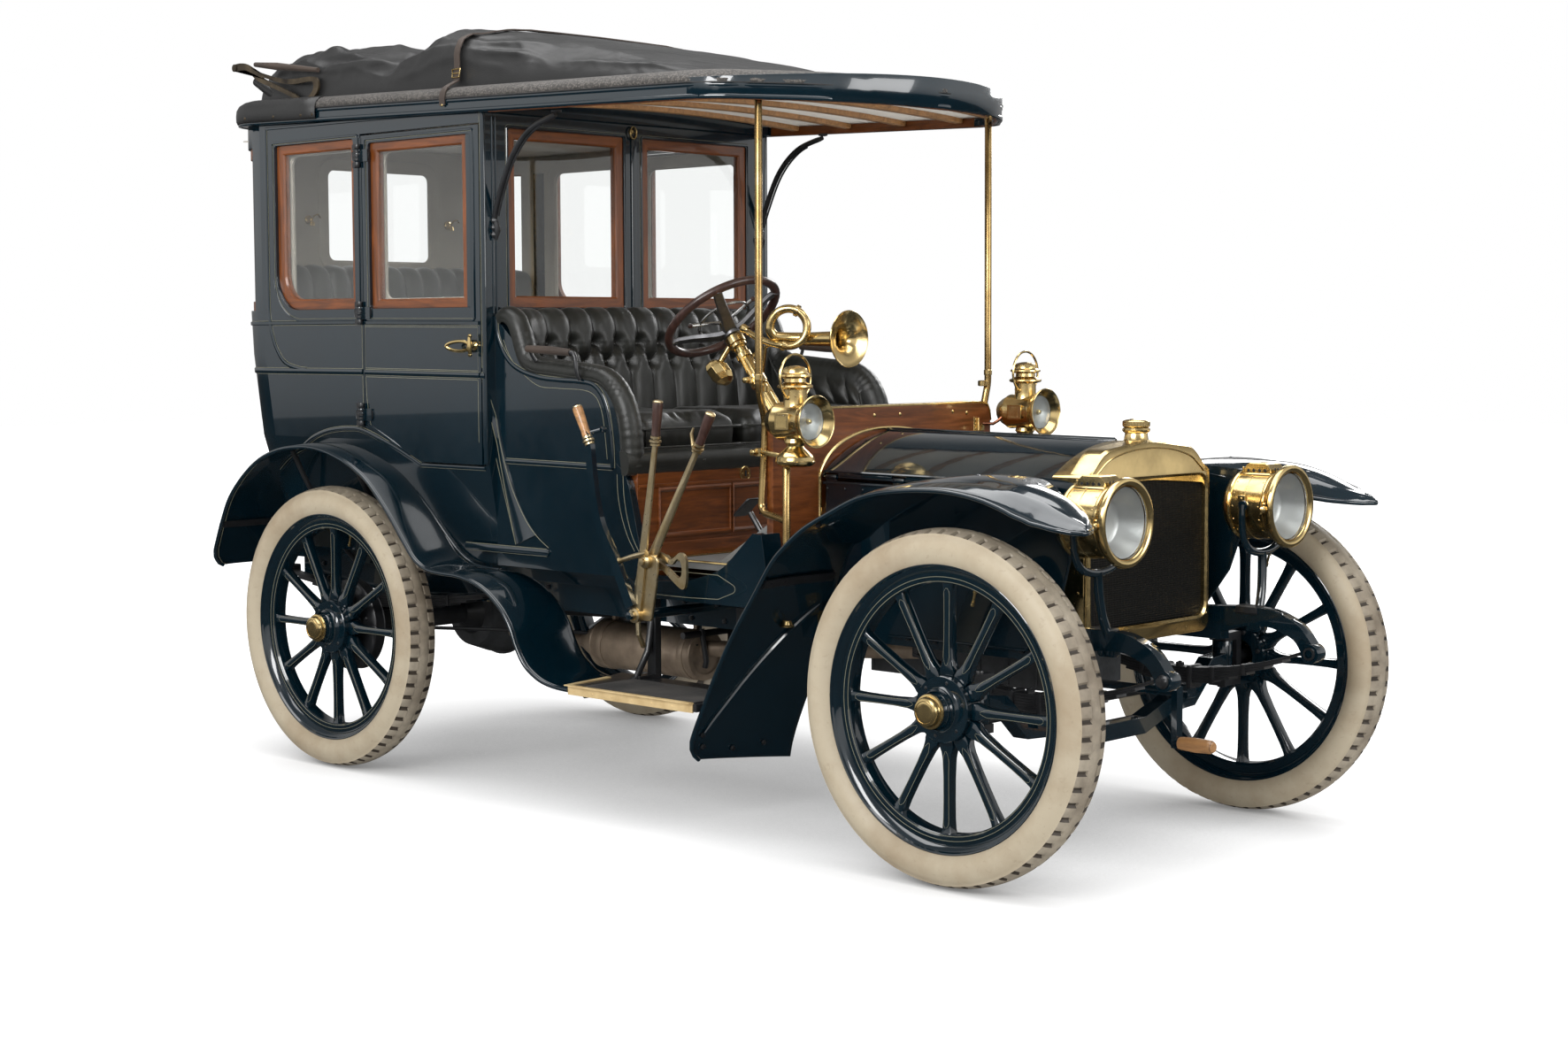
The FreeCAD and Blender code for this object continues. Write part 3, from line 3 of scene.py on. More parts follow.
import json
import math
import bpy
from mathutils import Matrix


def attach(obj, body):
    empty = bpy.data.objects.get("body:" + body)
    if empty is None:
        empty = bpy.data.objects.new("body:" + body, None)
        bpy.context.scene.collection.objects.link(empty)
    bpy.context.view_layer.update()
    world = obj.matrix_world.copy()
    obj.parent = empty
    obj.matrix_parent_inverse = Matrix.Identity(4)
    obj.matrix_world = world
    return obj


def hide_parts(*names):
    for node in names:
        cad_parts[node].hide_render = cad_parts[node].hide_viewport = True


bl_info = {
    "name": "Brass Era Town Car",
    "version": (1, 0, 0),
    "blender": (4, 5, 0),
    "location": "View3D > Sidebar > Town Car",
    "description": "Wheels, coachwork, lamps, leather and fittings of a brass era town car",
    "category": "Object",
}

import bmesh
import bpy
from bpy.props import FloatProperty, FloatVectorProperty, IntProperty, PointerProperty
from mathutils import Matrix, Vector, noise

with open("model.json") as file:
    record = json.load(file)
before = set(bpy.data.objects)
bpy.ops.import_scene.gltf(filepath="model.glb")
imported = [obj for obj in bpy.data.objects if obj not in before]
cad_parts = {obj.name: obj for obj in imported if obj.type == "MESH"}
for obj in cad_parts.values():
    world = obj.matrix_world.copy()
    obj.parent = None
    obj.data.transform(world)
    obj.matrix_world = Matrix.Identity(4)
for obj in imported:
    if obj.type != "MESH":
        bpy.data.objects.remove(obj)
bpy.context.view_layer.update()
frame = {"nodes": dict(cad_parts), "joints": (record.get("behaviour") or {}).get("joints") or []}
NODES = frame["nodes"]
JOINTS = {joint["name"]: joint for joint in frame["joints"]}
MM = 0.001
TIP = 0.01  # the radius that closes a lathe form on its axis
AXLE = JOINTS["rear_wheel_right_spin"]["pos_m"][0]
WHEELBASE = (JOINTS["front_wheel_right_spin"]["pos_m"][0] - AXLE) / MM
HUB_Z = JOINTS["rear_wheel_right_spin"]["pos_m"][2] / MM
TRACK_HALF = -JOINTS["rear_wheel_right_spin"]["pos_m"][1] / MM
SIDES = (("right", -1), ("left", 1))


# ---- geometry -------------------------------------------------------------------------------

def row_frame(point):
    """A point in car millimetres, x from the rear axle, as metres in the frame."""
    return Vector((AXLE + point[0] * MM, point[1] * MM, point[2] * MM))


def lerp(a, b, t):
    return a + (b - a) * t


def table(rows, value):
    """Straight-line reading of a table of (value, number, number...)."""
    if value <= rows[0][0]:
        return rows[0][1:]
    for before, after in zip(rows, rows[1:]):
        if value <= after[0]:
            t = (value - before[0]) / (after[0] - before[0])
            return tuple(lerp(a, b, t) for a, b in zip(before[1:], after[1:]))
    return rows[-1][1:]


def curve(knots, steps=8, closed=False):
    """A smooth line through knots of any dimension."""
    knots = [Vector(knot) for knot in knots]
    count = len(knots)
    line = []
    for i in range(count if closed else count - 1):
        if closed:
            a, b, c, d = (knots[(i + k) % count] for k in (-1, 0, 1, 2))
        else:
            a, b, c = knots[max(i - 1, 0)], knots[i], knots[i + 1]
            d = knots[min(i + 2, count - 1)]
        for k in range(steps):
            t = k / steps
            line.append((b * 2 + (c - a) * t + (a * 2 - b * 5 + c * 4 - d) * t * t
                         + (b * 3 - a - c * 3 + d) * t ** 3) / 2)
    return line if closed else line + [knots[-1]]


def rounded(corners, steps=6):
    """A closed outline of corners (u, v, radius) with their arcs."""
    line = []
    count = len(corners)
    for i, corner in enumerate(corners):
        here = Vector(corner[:2])
        radius = corner[2] if len(corner) > 2 else 0
        if radius <= 0:
            line.append(here)
            continue
        before = (Vector(corners[i - 1][:2]) - here).normalized()
        after = (Vector(corners[(i + 1) % count][:2]) - here).normalized()
        half = before.angle(after) / 2
        start, end = here + before * radius / math.tan(half), here + after * radius / math.tan(half)
        centre = here + (before + after).normalized() * radius / math.sin(half)
        sweep = math.pi - 2 * half
        for k in range(steps + 1):
            t = k / steps
            line.append(centre + ((start - centre) * math.sin((1 - t) * sweep)
                                  + (end - centre) * math.sin(t * sweep)) / math.sin(sweep))
    return line


def inset(outline, distance):
    """An outline of 2-D points moved inwards by a distance, for outlines that run anticlockwise."""
    count = len(outline)
    moved = []
    for i, here in enumerate(outline):
        before, after = outline[i - 1], outline[(i + 1) % count]
        a, b = (here - before).normalized(), (after - here).normalized()
        na, nb = Vector((-a.y, a.x)), Vector((-b.y, b.x))
        middle = (na + nb).normalized()
        moved.append(here + middle * distance / max(middle.dot(nb), 0.4))
    return moved


def square_to(axis):
    """Two directions square to an axis."""
    axis = Vector(axis).normalized()
    side = axis.cross(Vector((0, 0, 1)))
    if side.length < 0.05:
        side = axis.cross(Vector((1, 0, 0)))
    side.normalize()
    return side, side.cross(axis)


def around(count, start=0.0, sweep=360.0):
    """Angles spread evenly over a circle, or over an arc from one end to the other."""
    steps = count if sweep == 360.0 else count - 1
    return [math.radians(start + sweep * k / steps) for k in range(count)]


def box_outline(u0, v0, u1, v1, radius, steps=6):
    """A rectangle with rounded corners."""
    return rounded([(u0, v0, radius), (u1, v0, radius), (u1, v1, radius), (u0, v1, radius)], steps)


def headings(line):
    """The direction of a line at each of its points."""
    last = len(line) - 1
    return [(line[min(i + 1, last)] - line[max(i - 1, 0)]).normalized() for i in range(len(line))]


def divided(path, step):
    """Points along the straight runs of a path, none further apart than about one step."""
    knots = [Vector(point) for point in path]
    spots = []
    for a, b in zip(knots, knots[1:]):
        pieces = max(1, int((b - a).length / step))
        spots += [a.lerp(b, k / pieces) for k in range(pieces)]
    return spots + [knots[-1]]


class Work:
    """One piece in the making, in car millimetres, with the finish of each face."""

    def __init__(self):
        self.points, self.faces, self.kinds = [], [], []

    def skin(self, rows, kind=0, wrap=False, ring=False, ends=False):
        """Join rows of points with four-sided faces."""
        base, wide, count = len(self.points), len(rows[0]), len(rows)
        for row in rows:
            self.points.extend(Vector(point) for point in row)
        for i in range(count if ring else count - 1):
            for j in range(wide if wrap else wide - 1):
                here, there = base + i * wide, base + (i + 1) % count * wide
                k = (j + 1) % wide
                self.faces.append((here + j, here + k, there + k, there + j))
                self.kinds.append(kind)
        if ends:
            self.faces.append(tuple(base + j for j in reversed(range(wide))))
            self.faces.append(tuple(base + (count - 1) * wide + j for j in range(wide)))
            self.kinds += [kind, kind]

    def turned(self, profile, at, axis=(0, 0, 1), kind=0, steps=24):
        """A lathe form: profile of (along, radius) round an axis through a point."""
        at, axis = Vector(at), Vector(axis).normalized()
        side, up = square_to(axis)
        ways = [side * math.cos(a) + up * math.sin(a) for a in around(steps)]
        rows = [[at + axis * along + way * radius for way in ways] for along, radius in profile]
        self.skin(rows, kind, wrap=True)

    def sweep(self, path, section, kind=0, up=None, closed=False, ends=True):
        """A section of (out, across) points, or a function of the share along, led along a path."""
        path = [Vector(point) for point in path]
        count = len(path)
        rows, normal = [], None
        for i, here in enumerate(path):
            before = path[i - 1] if closed or i else here
            after = path[(i + 1) % count] if closed or i < count - 1 else here
            along = (after - before).normalized()
            if up is not None:
                normal = Vector(up(here) if callable(up) else up)
            elif normal is None:
                normal = square_to(along)[1]
            normal = (normal - along * normal.dot(along)).normalized()
            across = along.cross(normal)
            shape = section(i / (count - 1)) if callable(section) else section
            rows.append([here + normal * a + across * b for a, b in shape])
        self.skin(rows, kind, wrap=True, ring=closed, ends=ends and not closed)

    def tube(self, path, radius, kind=0, steps=10, closed=False, ends=True):
        """A round bar along a path. radius may be a list of (share along, radius)."""
        ring = [(math.cos(a), math.sin(a)) for a in around(steps)]

        def section(t):
            r = radius if isinstance(radius, (int, float)) else table(radius, t)[0]
            return [(r * a, r * b) for a, b in ring]
        self.sweep(path, section, kind, closed=closed, ends=ends)

    def plate(self, outline, at, u, v, thick, kind=0, soften=1.0):
        """A flat piece with softened edges: its 2-D outline lies in u and v, thick along u x v."""
        at, u, v = Vector(at), Vector(u).normalized(), Vector(v).normalized()
        n = u.cross(v)
        outline = [Vector(point[:2]) for point in outline]
        area = sum(a.x * b.y - a.y * b.x for a, b in zip(outline, outline[1:] + outline[:1]))
        if area < 0:
            outline.reverse()
        small = inset(outline, soften)
        levels = ((0, small), (soften, outline), (thick - soften, outline), (thick, small))
        rows = [[at + u * p.x + v * p.y + n * height for p in line] for height, line in levels]
        self.skin(rows, kind, wrap=True, ends=True)

    def block(self, low, high, kind=0, soften=2.0):
        """A box with softened edges between two corners."""
        (x0, y0, z0), (x1, y1, z1) = low, high
        outline = box_outline(x0, y0, x1, y1, soften, 2)
        self.plate(outline, (0, 0, z0), (1, 0, 0), (0, 1, 0), z1 - z0, kind, soften)

    def studs(self, spots, out, radius=6.0, height=4.0, kind=0, steps=10):
        """Domed heads at spots, standing along out."""
        profile = [(-1, radius), (height * 0.35, radius), (height * 0.8, radius * 0.7), (height, TIP)]
        for spot in spots:
            self.turned(profile, spot, out, kind, steps)

    def nuts(self, spots, out, radius=8.0, height=6.0, kind=0):
        """Six-sided nuts with the end of their bolt."""
        for spot in spots:
            self.turned([(-1, radius), (height - 1, radius), (height, radius * 0.85), (height, TIP)],
                        spot, out, kind, 6)
            self.turned([(height - 1, radius * 0.45), (height + 3, radius * 0.45), (height + 3.5, TIP)],
                        spot, out, kind, 8)

    def mirror(self):
        """Repeat everything on the car's other side."""
        base = len(self.points)
        self.points += [Vector((p.x, -p.y, p.z)) for p in self.points]
        self.faces += [tuple(base + i for i in reversed(face)) for face in self.faces]
        self.kinds += self.kinds
        return self

    def piece(self, name, body, finishes, stands_for=(), slot=None, origin=None, sharp=35.0,
              thick=0.0, subdivide=0, bevel=0.0, keep_open=False):
        """The finished object, riding on its body."""
        home = row_frame(origin) if origin else Vector()
        mesh = bpy.data.meshes.new(name)
        mesh.from_pydata([row_frame(p) - home for p in self.points], [], self.faces)
        mesh.polygons.foreach_set("material_index", self.kinds)
        for finish in finishes if isinstance(finishes, (list, tuple)) else [finishes]:
            mesh.materials.append(FINISHES[finish])
        form = bmesh.new()
        form.from_mesh(mesh)
        bmesh.ops.remove_doubles(form, verts=form.verts, dist=2e-5)
        bmesh.ops.dissolve_degenerate(form, edges=form.edges, dist=1e-6)
        if not keep_open:
            bmesh.ops.recalc_face_normals(form, faces=form.faces)
        form.to_mesh(mesh)
        form.free()
        mesh.polygons.foreach_set("use_smooth", [True] * len(mesh.polygons))
        mesh.set_sharp_from_angle(angle=math.radians(sharp))
        return place(mesh, name, body, stands_for, home, thick, subdivide, bevel)


def place(mesh, name, body, stands_for, home, thick, subdivide, bevel):
    """An object for a finished mesh, riding on its body."""
    thing = bpy.data.objects.new(name, mesh)
    bpy.context.scene.collection.objects.link(thing)
    thing.location = home
    if thick:
        solid = thing.modifiers.new("thickness", "SOLIDIFY")
        solid.thickness = thick * MM
        solid.offset = -1
    if bevel:
        edge = thing.modifiers.new("edges", "BEVEL")
        edge.width = bevel * MM
        edge.segments = 2
        edge.limit_method = "ANGLE"
    if subdivide:
        smooth = thing.modifiers.new("smooth", "SUBSURF")
        smooth.levels = smooth.render_levels = subdivide
    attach(thing, body)
    if stands_for:
        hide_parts(*stands_for)
    return thing


# ---- finishes -------------------------------------------------------------------------------

FINISHES = {}


class Tree:
    """The nodes of one finish as they are put together."""

    def __init__(self, name):
        self.material = bpy.data.materials.new(name)
        self.material.use_nodes = True
        self.tree = self.material.node_tree
        self.shader = self.tree.nodes["Principled BSDF"]
        self.end = self.tree.nodes["Material Output"]
        self.place = self.add("ShaderNodeTexCoord").outputs["Object"]
        FINISHES[name] = self.material

    def add(self, kind, inputs=None, **settings):
        made = self.tree.nodes.new(kind)
        for key, value in settings.items():
            setattr(made, key, value)
        for key, value in (inputs or {}).items():
            self.put(made.inputs[key], value)
        return made

    def put(self, socket, value):
        if isinstance(value, bpy.types.NodeSocket):
            self.tree.links.new(value, socket)
        else:
            socket.default_value = value

    def shade(self, **values):
        """Set or link the main shader's sockets."""
        for key, value in values.items():
            self.put(self.shader.inputs[key.replace("_", " ")], value)

    def stretched(self, scale):
        return self.add("ShaderNodeMapping", {"Vector": self.place, "Scale": scale}).outputs[0]

    def noise(self, scale, detail=4.0, vector=None, rough=0.55, distortion=0.0):
        made = self.add("ShaderNodeTexNoise", {
            "Vector": vector or self.place, "Scale": scale, "Detail": detail, "Roughness": rough,
            "Distortion": distortion})
        return made.outputs["Fac"]

    def cells(self, scale):
        return self.add("ShaderNodeTexVoronoi", {"Vector": self.place, "Scale": scale}).outputs["Distance"]

    def spread(self, value, low, high, to_low=0.0, to_high=1.0):
        """A value's range spread onto another range."""
        return self.add("ShaderNodeMapRange", {
            "Value": value, "From Min": low, "From Max": high, "To Min": to_low,
            "To Max": to_high}).outputs[0]

    def blend(self, factor, first, second):
        made = self.add("ShaderNodeMix", data_type="RGBA")
        self.put(made.inputs[0], factor)
        self.put(made.inputs[6], first)
        self.put(made.inputs[7], second)
        return made.outputs[2]

    def maths(self, kind, first, second=0.0):
        made = self.add("ShaderNodeMath", operation=kind)
        self.put(made.inputs[0], first)
        self.put(made.inputs[1], second)
        return made.outputs[0]

    def switch(self, ray, other):
        """Show another shader to one kind of ray."""
        path = self.add("ShaderNodeLightPath")
        join = self.add("ShaderNodeMixShader", {0: path.outputs[ray], 1: self.shader.outputs[0],
                                                2: other.outputs[0]})
        self.put(self.end.inputs["Surface"], join.outputs[0])

    def relief(self, height, depth, strength=1.0, under=None):
        """A bump of a depth in millimetres."""
        made = self.add("ShaderNodeBump", {"Height": height, "Distance": depth * MM, "Strength": strength})
        if under is not None:
            self.put(made.inputs["Normal"], under)
        return made.outputs[0]


def rgb(color, share=1.0):
    return (color[0] * share, color[1] * share, color[2] * share, 1.0)


def smooth_finish(name, color, worn, metal, rough, blotch, grain, depth, coat=0.0, coat_rough=0.04):
    """Paint, metal and lacquer: blotched colour, uneven polish and a fine relief."""
    t = Tree(name)
    patch = t.spread(t.noise(blotch, 6.0), 0.38, 0.68)
    fine = t.spread(t.noise(blotch * 9, 5.0), 0.35, 0.7)
    t.shade(Base_Color=t.blend(patch, rgb(color), rgb(worn)), Metallic=metal,
            Roughness=t.spread(t.maths("ADD", patch, fine), 0.0, 2.0, *rough),
            Coat_Weight=coat, Coat_Roughness=coat_rough, Normal=t.relief(t.noise(grain, 2.0), depth))


def hide_finish(name, color, worn, cell, depth, rough, crease, sheen=0.08, pit_shade=0.0):
    """Leather and leather cloth: pebbled grain, soft creases, rubbed high places, and optional painted shade
    in the hollows of the grain.
    """
    t = Tree(name)
    soft = t.noise(14.0, 4.0, distortion=0.6)
    rubbed = t.spread(t.noise(5.0, 5.0), 0.45, 0.75)
    pebble = t.cells(cell)
    grain = t.relief(t.maths("MULTIPLY", pebble, -1.0), depth)
    base = t.blend(rubbed, rgb(color), rgb(worn))
    # darkens the low channels between the pebbles: painted shade in the grain's hollows
    if pit_shade:
        base = t.blend(t.spread(pebble, 0.15, 0.6, 0.0, pit_shade), base, rgb(color, 0.2))
    t.shade(Base_Color=base,
            Roughness=t.spread(t.maths("ADD", soft, rubbed), 0.4, 1.5, *rough), Sheen_Weight=sheen,
            Sheen_Roughness=0.4, Normal=t.relief(soft, crease, 0.35, grain))


def wood_finish(name, color, dark, along, coat=0.5):
    """Straight-grained wood under varnish, the grain running along one axis."""
    t = Tree(name)
    lie = t.stretched(tuple(1.2 if axis == along else 14.0 for axis in "xyz"))
    grain = t.noise(3.0, 8.0, lie, 0.62, 1.4)
    pores = t.noise(28.0, 3.0, lie)
    bands = t.spread(grain, 0.34, 0.66)
    mixed = t.maths("MULTIPLY", bands, t.spread(pores, 0.3, 0.6, 0.6, 1.0))
    t.shade(Base_Color=t.blend(mixed, rgb(dark), rgb(color)),
            Roughness=t.spread(grain, 0.3, 0.7, 0.3, 0.5), Coat_Weight=coat, Coat_Roughness=0.06,
            Normal=t.relief(pores, 0.08, 0.5))


def weave_finish(name, color, shade, pitch, depth):
    """Plain woven cloth."""
    t = Tree(name)
    split = t.add("ShaderNodeSeparateXYZ", {"Vector": t.place})
    x, y, z = (t.maths("SINE", t.maths("MULTIPLY", split.outputs[k], pitch)) for k in range(3))
    cloth = t.maths("ADD", t.maths("MULTIPLY", x, y), t.maths("MULTIPLY", y, z))
    cloth = t.maths("ADD", cloth, t.maths("MULTIPLY", x, z))
    soil = t.spread(t.noise(4.0, 5.0), 0.4, 0.7)
    t.shade(Base_Color=t.blend(soil, rgb(color), rgb(shade)), Roughness=0.9, Sheen_Weight=0.25,
            Sheen_Roughness=0.5, Normal=t.relief(cloth, depth, 0.6))


def rubber_finish(name, color, soiled, grit):
    """Old rubber with scuffs and stains."""
    t = Tree(name)
    stain = t.spread(t.noise(4.0, 9.0, rough=0.6), 0.42, 0.7)
    scuff = t.spread(t.noise(60.0, 5.0, distortion=1.0), 0.6, 0.78, 0.0, 0.45)
    dirt = t.spread(t.noise(26.0, 8.0), 0.42, 0.7, 0.0, grit)
    base = t.blend(stain, rgb(color), rgb(soiled))
    base = t.blend(scuff, base, rgb(soiled, 0.72))
    base = t.blend(dirt, base, rgb(soiled, 0.5))
    t.shade(Base_Color=base, Roughness=t.spread(stain, 0.0, 1.0, 0.5, 0.72),
            Normal=t.relief(t.noise(380.0, 4.0), 0.12, 0.7))


def radiator_core_finish(name, color):
    """A fine black honeycomb of tubes, its holes darkened by painted shade and the edges between them
    lightened by painted highlights.
    """
    t = Tree(name)
    split = t.add("ShaderNodeSeparateXYZ", {"Vector": t.place})
    across, upright = (t.maths("ABSOLUTE", t.maths("SINE", t.maths("MULTIPLY", split.outputs[k], 520.0)))
                       for k in (1, 2))
    grid = t.maths("MULTIPLY", across, upright)
    # painted highlight on the tube edges, painted shade in the holes
    t.shade(Base_Color=t.blend(t.spread(grid, 0.25, 0.6), rgb(color, 2.5), rgb(color, 0.25)),
            Metallic=0.0, Specular_IOR_Level=0.12,
            Roughness=t.spread(t.noise(40.0), 0.3, 0.7, 0.35, 0.6),
            Normal=t.relief(t.maths("MULTIPLY", grid, -1.0), 1.2))


def glass_finish(name, color, rough, ripple):
    """Clear glass whose shadow stays light."""
    t = Tree(name)
    t.shade(Base_Color=rgb(color), Roughness=rough, IOR=1.45, Transmission_Weight=1.0,
            Normal=t.relief(t.noise(9.0, 2.0), ripple))
    clear = t.add("ShaderNodeBsdfTransparent", {"Color": rgb(color, 0.9)})
    t.switch("Is Shadow Ray", clear)


# ---- what a user may change -----------------------------------------------------------------

def tint(red, green, blue):
    """Screen colour, 0 to 255, as linear light."""
    return tuple(c / 3294.6 if c <= 10 else ((c / 255 + 0.055) / 1.055) ** 2.4
                 for c in (red, green, blue))


def color_property(name, description, value):
    return FloatVectorProperty(name=name, description=description, default=tint(*value), subtype="COLOR",
                               size=3, min=0.0, max=1.0)


def size_property(name, description, value, low=0.0, high=1.0):
    return FloatProperty(name=name, description=description, default=value * MM, min=low, max=high,
                         subtype="DISTANCE", unit="LENGTH")


class TownCarColors(bpy.types.PropertyGroup):
    """Colours of the car"""
    paint: color_property("Coach paint", "Deep blue of the body, wheels and frame", (3, 20, 28))
    line: color_property("Lining", "Thin painted lines", (122, 120, 100))
    brass: color_property("Brass", "Polished brass", (230, 202, 142))
    steel: color_property("Steel", "Polished steel", (190, 190, 188))
    iron: color_property("Iron", "Blacked iron", (22, 23, 25))
    grey_iron: color_property("Grey iron", "Bare cast iron", (74, 76, 78))
    mahogany: color_property("Mahogany", "Varnished window frames, dash and heel board", (126, 66, 19))
    dark_wood: color_property("Dark wood", "Steering wheel rim and lever grips", (66, 40, 32))
    light_wood: color_property("Light wood", "Bows and small grips", (176, 128, 80))
    leather: color_property("Leather", "Driver's seat", (24, 25, 22))
    bench: color_property("Bench leather", "Rear seat", (48, 50, 45))
    hood: color_property("Hood leather", "Folded hood", (25, 25, 25))
    cloth: color_property("Roof cloth", "Pebbled roof covering", (96, 91, 86))
    lining: color_property("Cabin lining", "Cloth inside the cabin", (150, 144, 132))
    ceiling: color_property("Ceiling", "Headlining", (196, 188, 174))
    strap: color_property("Strap", "Brown leather straps", (62, 50, 42))
    rubber: color_property("Tyre side", "Ivory rubber", (168, 156, 134))
    tread: color_property("Tyre tread", "Worn tread", (150, 140, 123))
    floor: color_property("Floor covering", "Grey linoleum", (112, 112, 110))


class TownCarSizes(bpy.types.PropertyGroup):
    """Sizes of the trim"""
    line: size_property("Line width", "Width of a painted line", 1.7, 0.001, 0.01)
    blocks: IntProperty(name="Tread blocks", description="Blocks round a tyre", default=66, min=12, max=120)
    spokes: IntProperty(name="Spokes", description="Spokes in a wheel", default=12, min=8, max=16)
    button_gap: size_property("Button spacing", "Between two buttons of the driver's seat", 100.0, 0.05, 0.2)
    cushion: size_property("Cushion crown", "How far a cushion rises", 24.0, 0.0, 0.06)
    edge: size_property("Softened edge", "Rounding of carried pieces", 1.5, 0.0, 0.005)


def colors():
    return bpy.context.scene.town_car_colors


def sizes():
    return bpy.context.scene.town_car_sizes


def worn(color, share):
    return tuple(min(c * share, 1.0) for c in color)


def make_finishes():
    """Every finish of the car, from the colours in the panel."""
    c = {name: tuple(getattr(colors(), name)) for name in TownCarColors.__annotations__}
    # name, colour, worn colour, metal, roughness, size of its patches, size and depth of its grain
    for row in (
            ("lining_paint", c["line"], worn(c["line"], 0.8), 0.0, (0.3, 0.5), 20.0, 900.0, 0.01),
            ("brass", c["brass"], worn(c["brass"], 0.72), 1.0, (0.14, 0.3), 9.0, 300.0, 0.002),
            ("board_brass", tint(226, 200, 150), tint(196, 168, 120), 0.35, (0.36, 0.5), 16.0, 900.0, 0.01),
            # a darker copy of the polished brass for the windscreen posts: painted shade
            ("post_brass", tint(172, 146, 98), tint(134, 108, 66), 1.0, (0.2, 0.34), 12.0, 300.0, 0.002),
            ("cast_metal", tint(150, 150, 152), tint(112, 112, 114), 1.0, (0.34, 0.5), 20.0, 700.0, 0.02),
            ("pale_brass", tint(226, 208, 170), tint(190, 168, 124), 1.0, (0.26, 0.42), 16.0, 900.0, 0.01),
            ("dull_brass", tint(96, 84, 66), tint(52, 46, 40), 0.8, (0.3, 0.5), 14.0, 900.0, 0.03),
            ("steel", c["steel"], worn(c["steel"], 0.6), 1.0, (0.16, 0.34), 12.0, 1200.0, 0.02),
            ("silver", (0.6, 0.6, 0.59), (0.5, 0.49, 0.47), 0.75, (0.34, 0.46), 10.0, 500.0, 0.01),
            ("copper", tint(176, 112, 82), tint(120, 80, 62), 1.0, (0.2, 0.36), 20.0, 900.0, 0.02),
            ("grey_iron", c["grey_iron"], worn(c["grey_iron"], 0.6), 0.6, (0.42, 0.62), 12.0, 420.0, 0.1),
            ("silencer_iron", tint(142, 126, 108), tint(104, 90, 76), 0.45, (0.36, 0.56), 10.0, 500.0, 0.04),
            ("ivory_knob", tint(214, 202, 176), tint(180, 166, 136), 0.0, (0.25, 0.4), 30.0, 900.0, 0.01),
            ("mat_rubber", tint(42, 41, 40), tint(66, 63, 60), 0.0, (0.6, 0.8), 8.0, 500.0, 0.1)):
        smooth_finish(*row)
    smooth_finish("coach_paint", c["paint"], worn(c["paint"], 1.3), 0.0, (0.1, 0.2), 3.0, 60.0, 0.002,
                  coat=1.0, coat_rough=0.02)
    smooth_finish("black_iron", c["iron"], worn(c["iron"], 1.7), 0.0, (0.3, 0.5), 16.0, 500.0, 0.05,
                  coat=0.35, coat_rough=0.25)
    for suffix, along in (("", "x"), ("_across", "y"), ("_upright", "z")):
        wood_finish("mahogany" + suffix, c["mahogany"], worn(c["mahogany"], 0.35), along)
    wood_finish("dark_wood", c["dark_wood"], worn(c["dark_wood"], 0.4), "z")
    wood_finish("light_wood", c["light_wood"], worn(c["light_wood"], 0.5), "x", 0.4)
    hide_finish("seat_leather", c["leather"], worn(c["leather"], 1.9), 520.0, 0.25, (0.3, 0.5), 1.6)
    hide_finish("bench_leather", c["bench"], worn(c["bench"], 1.5), 460.0, 0.25, (0.42, 0.6), 1.2)
    hide_finish("hood_leather", c["hood"], worn(c["hood"], 1.5), 380.0, 0.3, (0.4, 0.56), 3.0, 0.03)
    hide_finish("strap_leather", c["strap"], worn(c["strap"], 0.5), 500.0, 0.25, (0.45, 0.65), 0.6)
    # roof cloth with painted shade in the hollows of its grain
    hide_finish("roof_cloth", c["cloth"], worn(c["cloth"], 0.7), 150.0, 1.4, (0.6, 0.8), 1.0, pit_shade=0.9)
    weave_finish("lining_cloth", c["lining"], worn(c["lining"], 0.75), 1500.0, 0.2)
    weave_finish("ceiling_cloth", c["ceiling"], worn(c["ceiling"], 0.85), 1200.0, 0.2)
    hide_finish("floor_grey", c["floor"], worn(c["floor"], 0.7), 300.0, 0.2, (0.55, 0.75), 0.4, sheen=0.0)
    rubber_finish("tyre_side", c["rubber"], tint(146, 130, 106), 0.0)
    rubber_finish("tread_rubber", c["tread"], tint(112, 100, 84), 0.4)
    # darker rubber for the faces in the tread's cuts: painted shade in the grooves
    rubber_finish("groove_rubber", tint(66, 57, 47), tint(48, 42, 35), 0.4)
    radiator_core_finish("core", tint(9, 9, 8))
    glass_finish("glass", (0.99, 1.0, 0.995), 0.0, 0.01)
    glass_finish("lamp_glass", (0.93, 0.95, 0.95), 0.02, 0.15)


# ---- wheels ---------------------------------------------------------------------------------

# (across, radius) of half a tyre's side and, with 1 where a groove cuts it, half its tread
TYRE_SIDE = ((30, 371), (44, 374), (51.5, 381), (59, 390), (65, 401), (67.5, 412), (66.5, 424),
             (62.5, 436), (56, 445.5), (51, 450), (49.5, 455))
TREAD = ((49.5, 455, 0), (46, 457.5, 1), (36, 461.3, 1), (25, 464.4, 1), (20, 465.4, 1), (18, 465.6, 0),
         (9, 467.1, 0), (0, 467.5, 0))
# (radius, half width round the wheel, half depth) along a spoke
SPOKE = ((70, 18.5, 17), (90, 23.5, 17), (104, 23, 16.8), (114, 18, 16.5), (132, 14, 16),
         (180, 11.8, 15), (240, 11.8, 14.4), (290, 12.6, 14.6), (318, 14.2, 16), (330, 17.5, 18))
SPOKE_CORNERS = ((0.62, 1), (0.9, 0.86), (1, 0.55), (1, -0.55), (0.9, -0.86), (0.62, -1), (-0.62, -1),
                 (-0.9, -0.86), (-1, -0.55), (-1, 0.55), (-0.9, 0.86), (-0.62, 1))
HUB = ((-34, 50), (-34, 87), (-24, 87), (-22, 84), (22, 84), (24, 87), (34, 87), (36, 85), (37, 60),
       (40, 56), (46, 52), (60, 50))
CENTRE, SPINDLE = (0, 0, 0), (0, 1, 0)


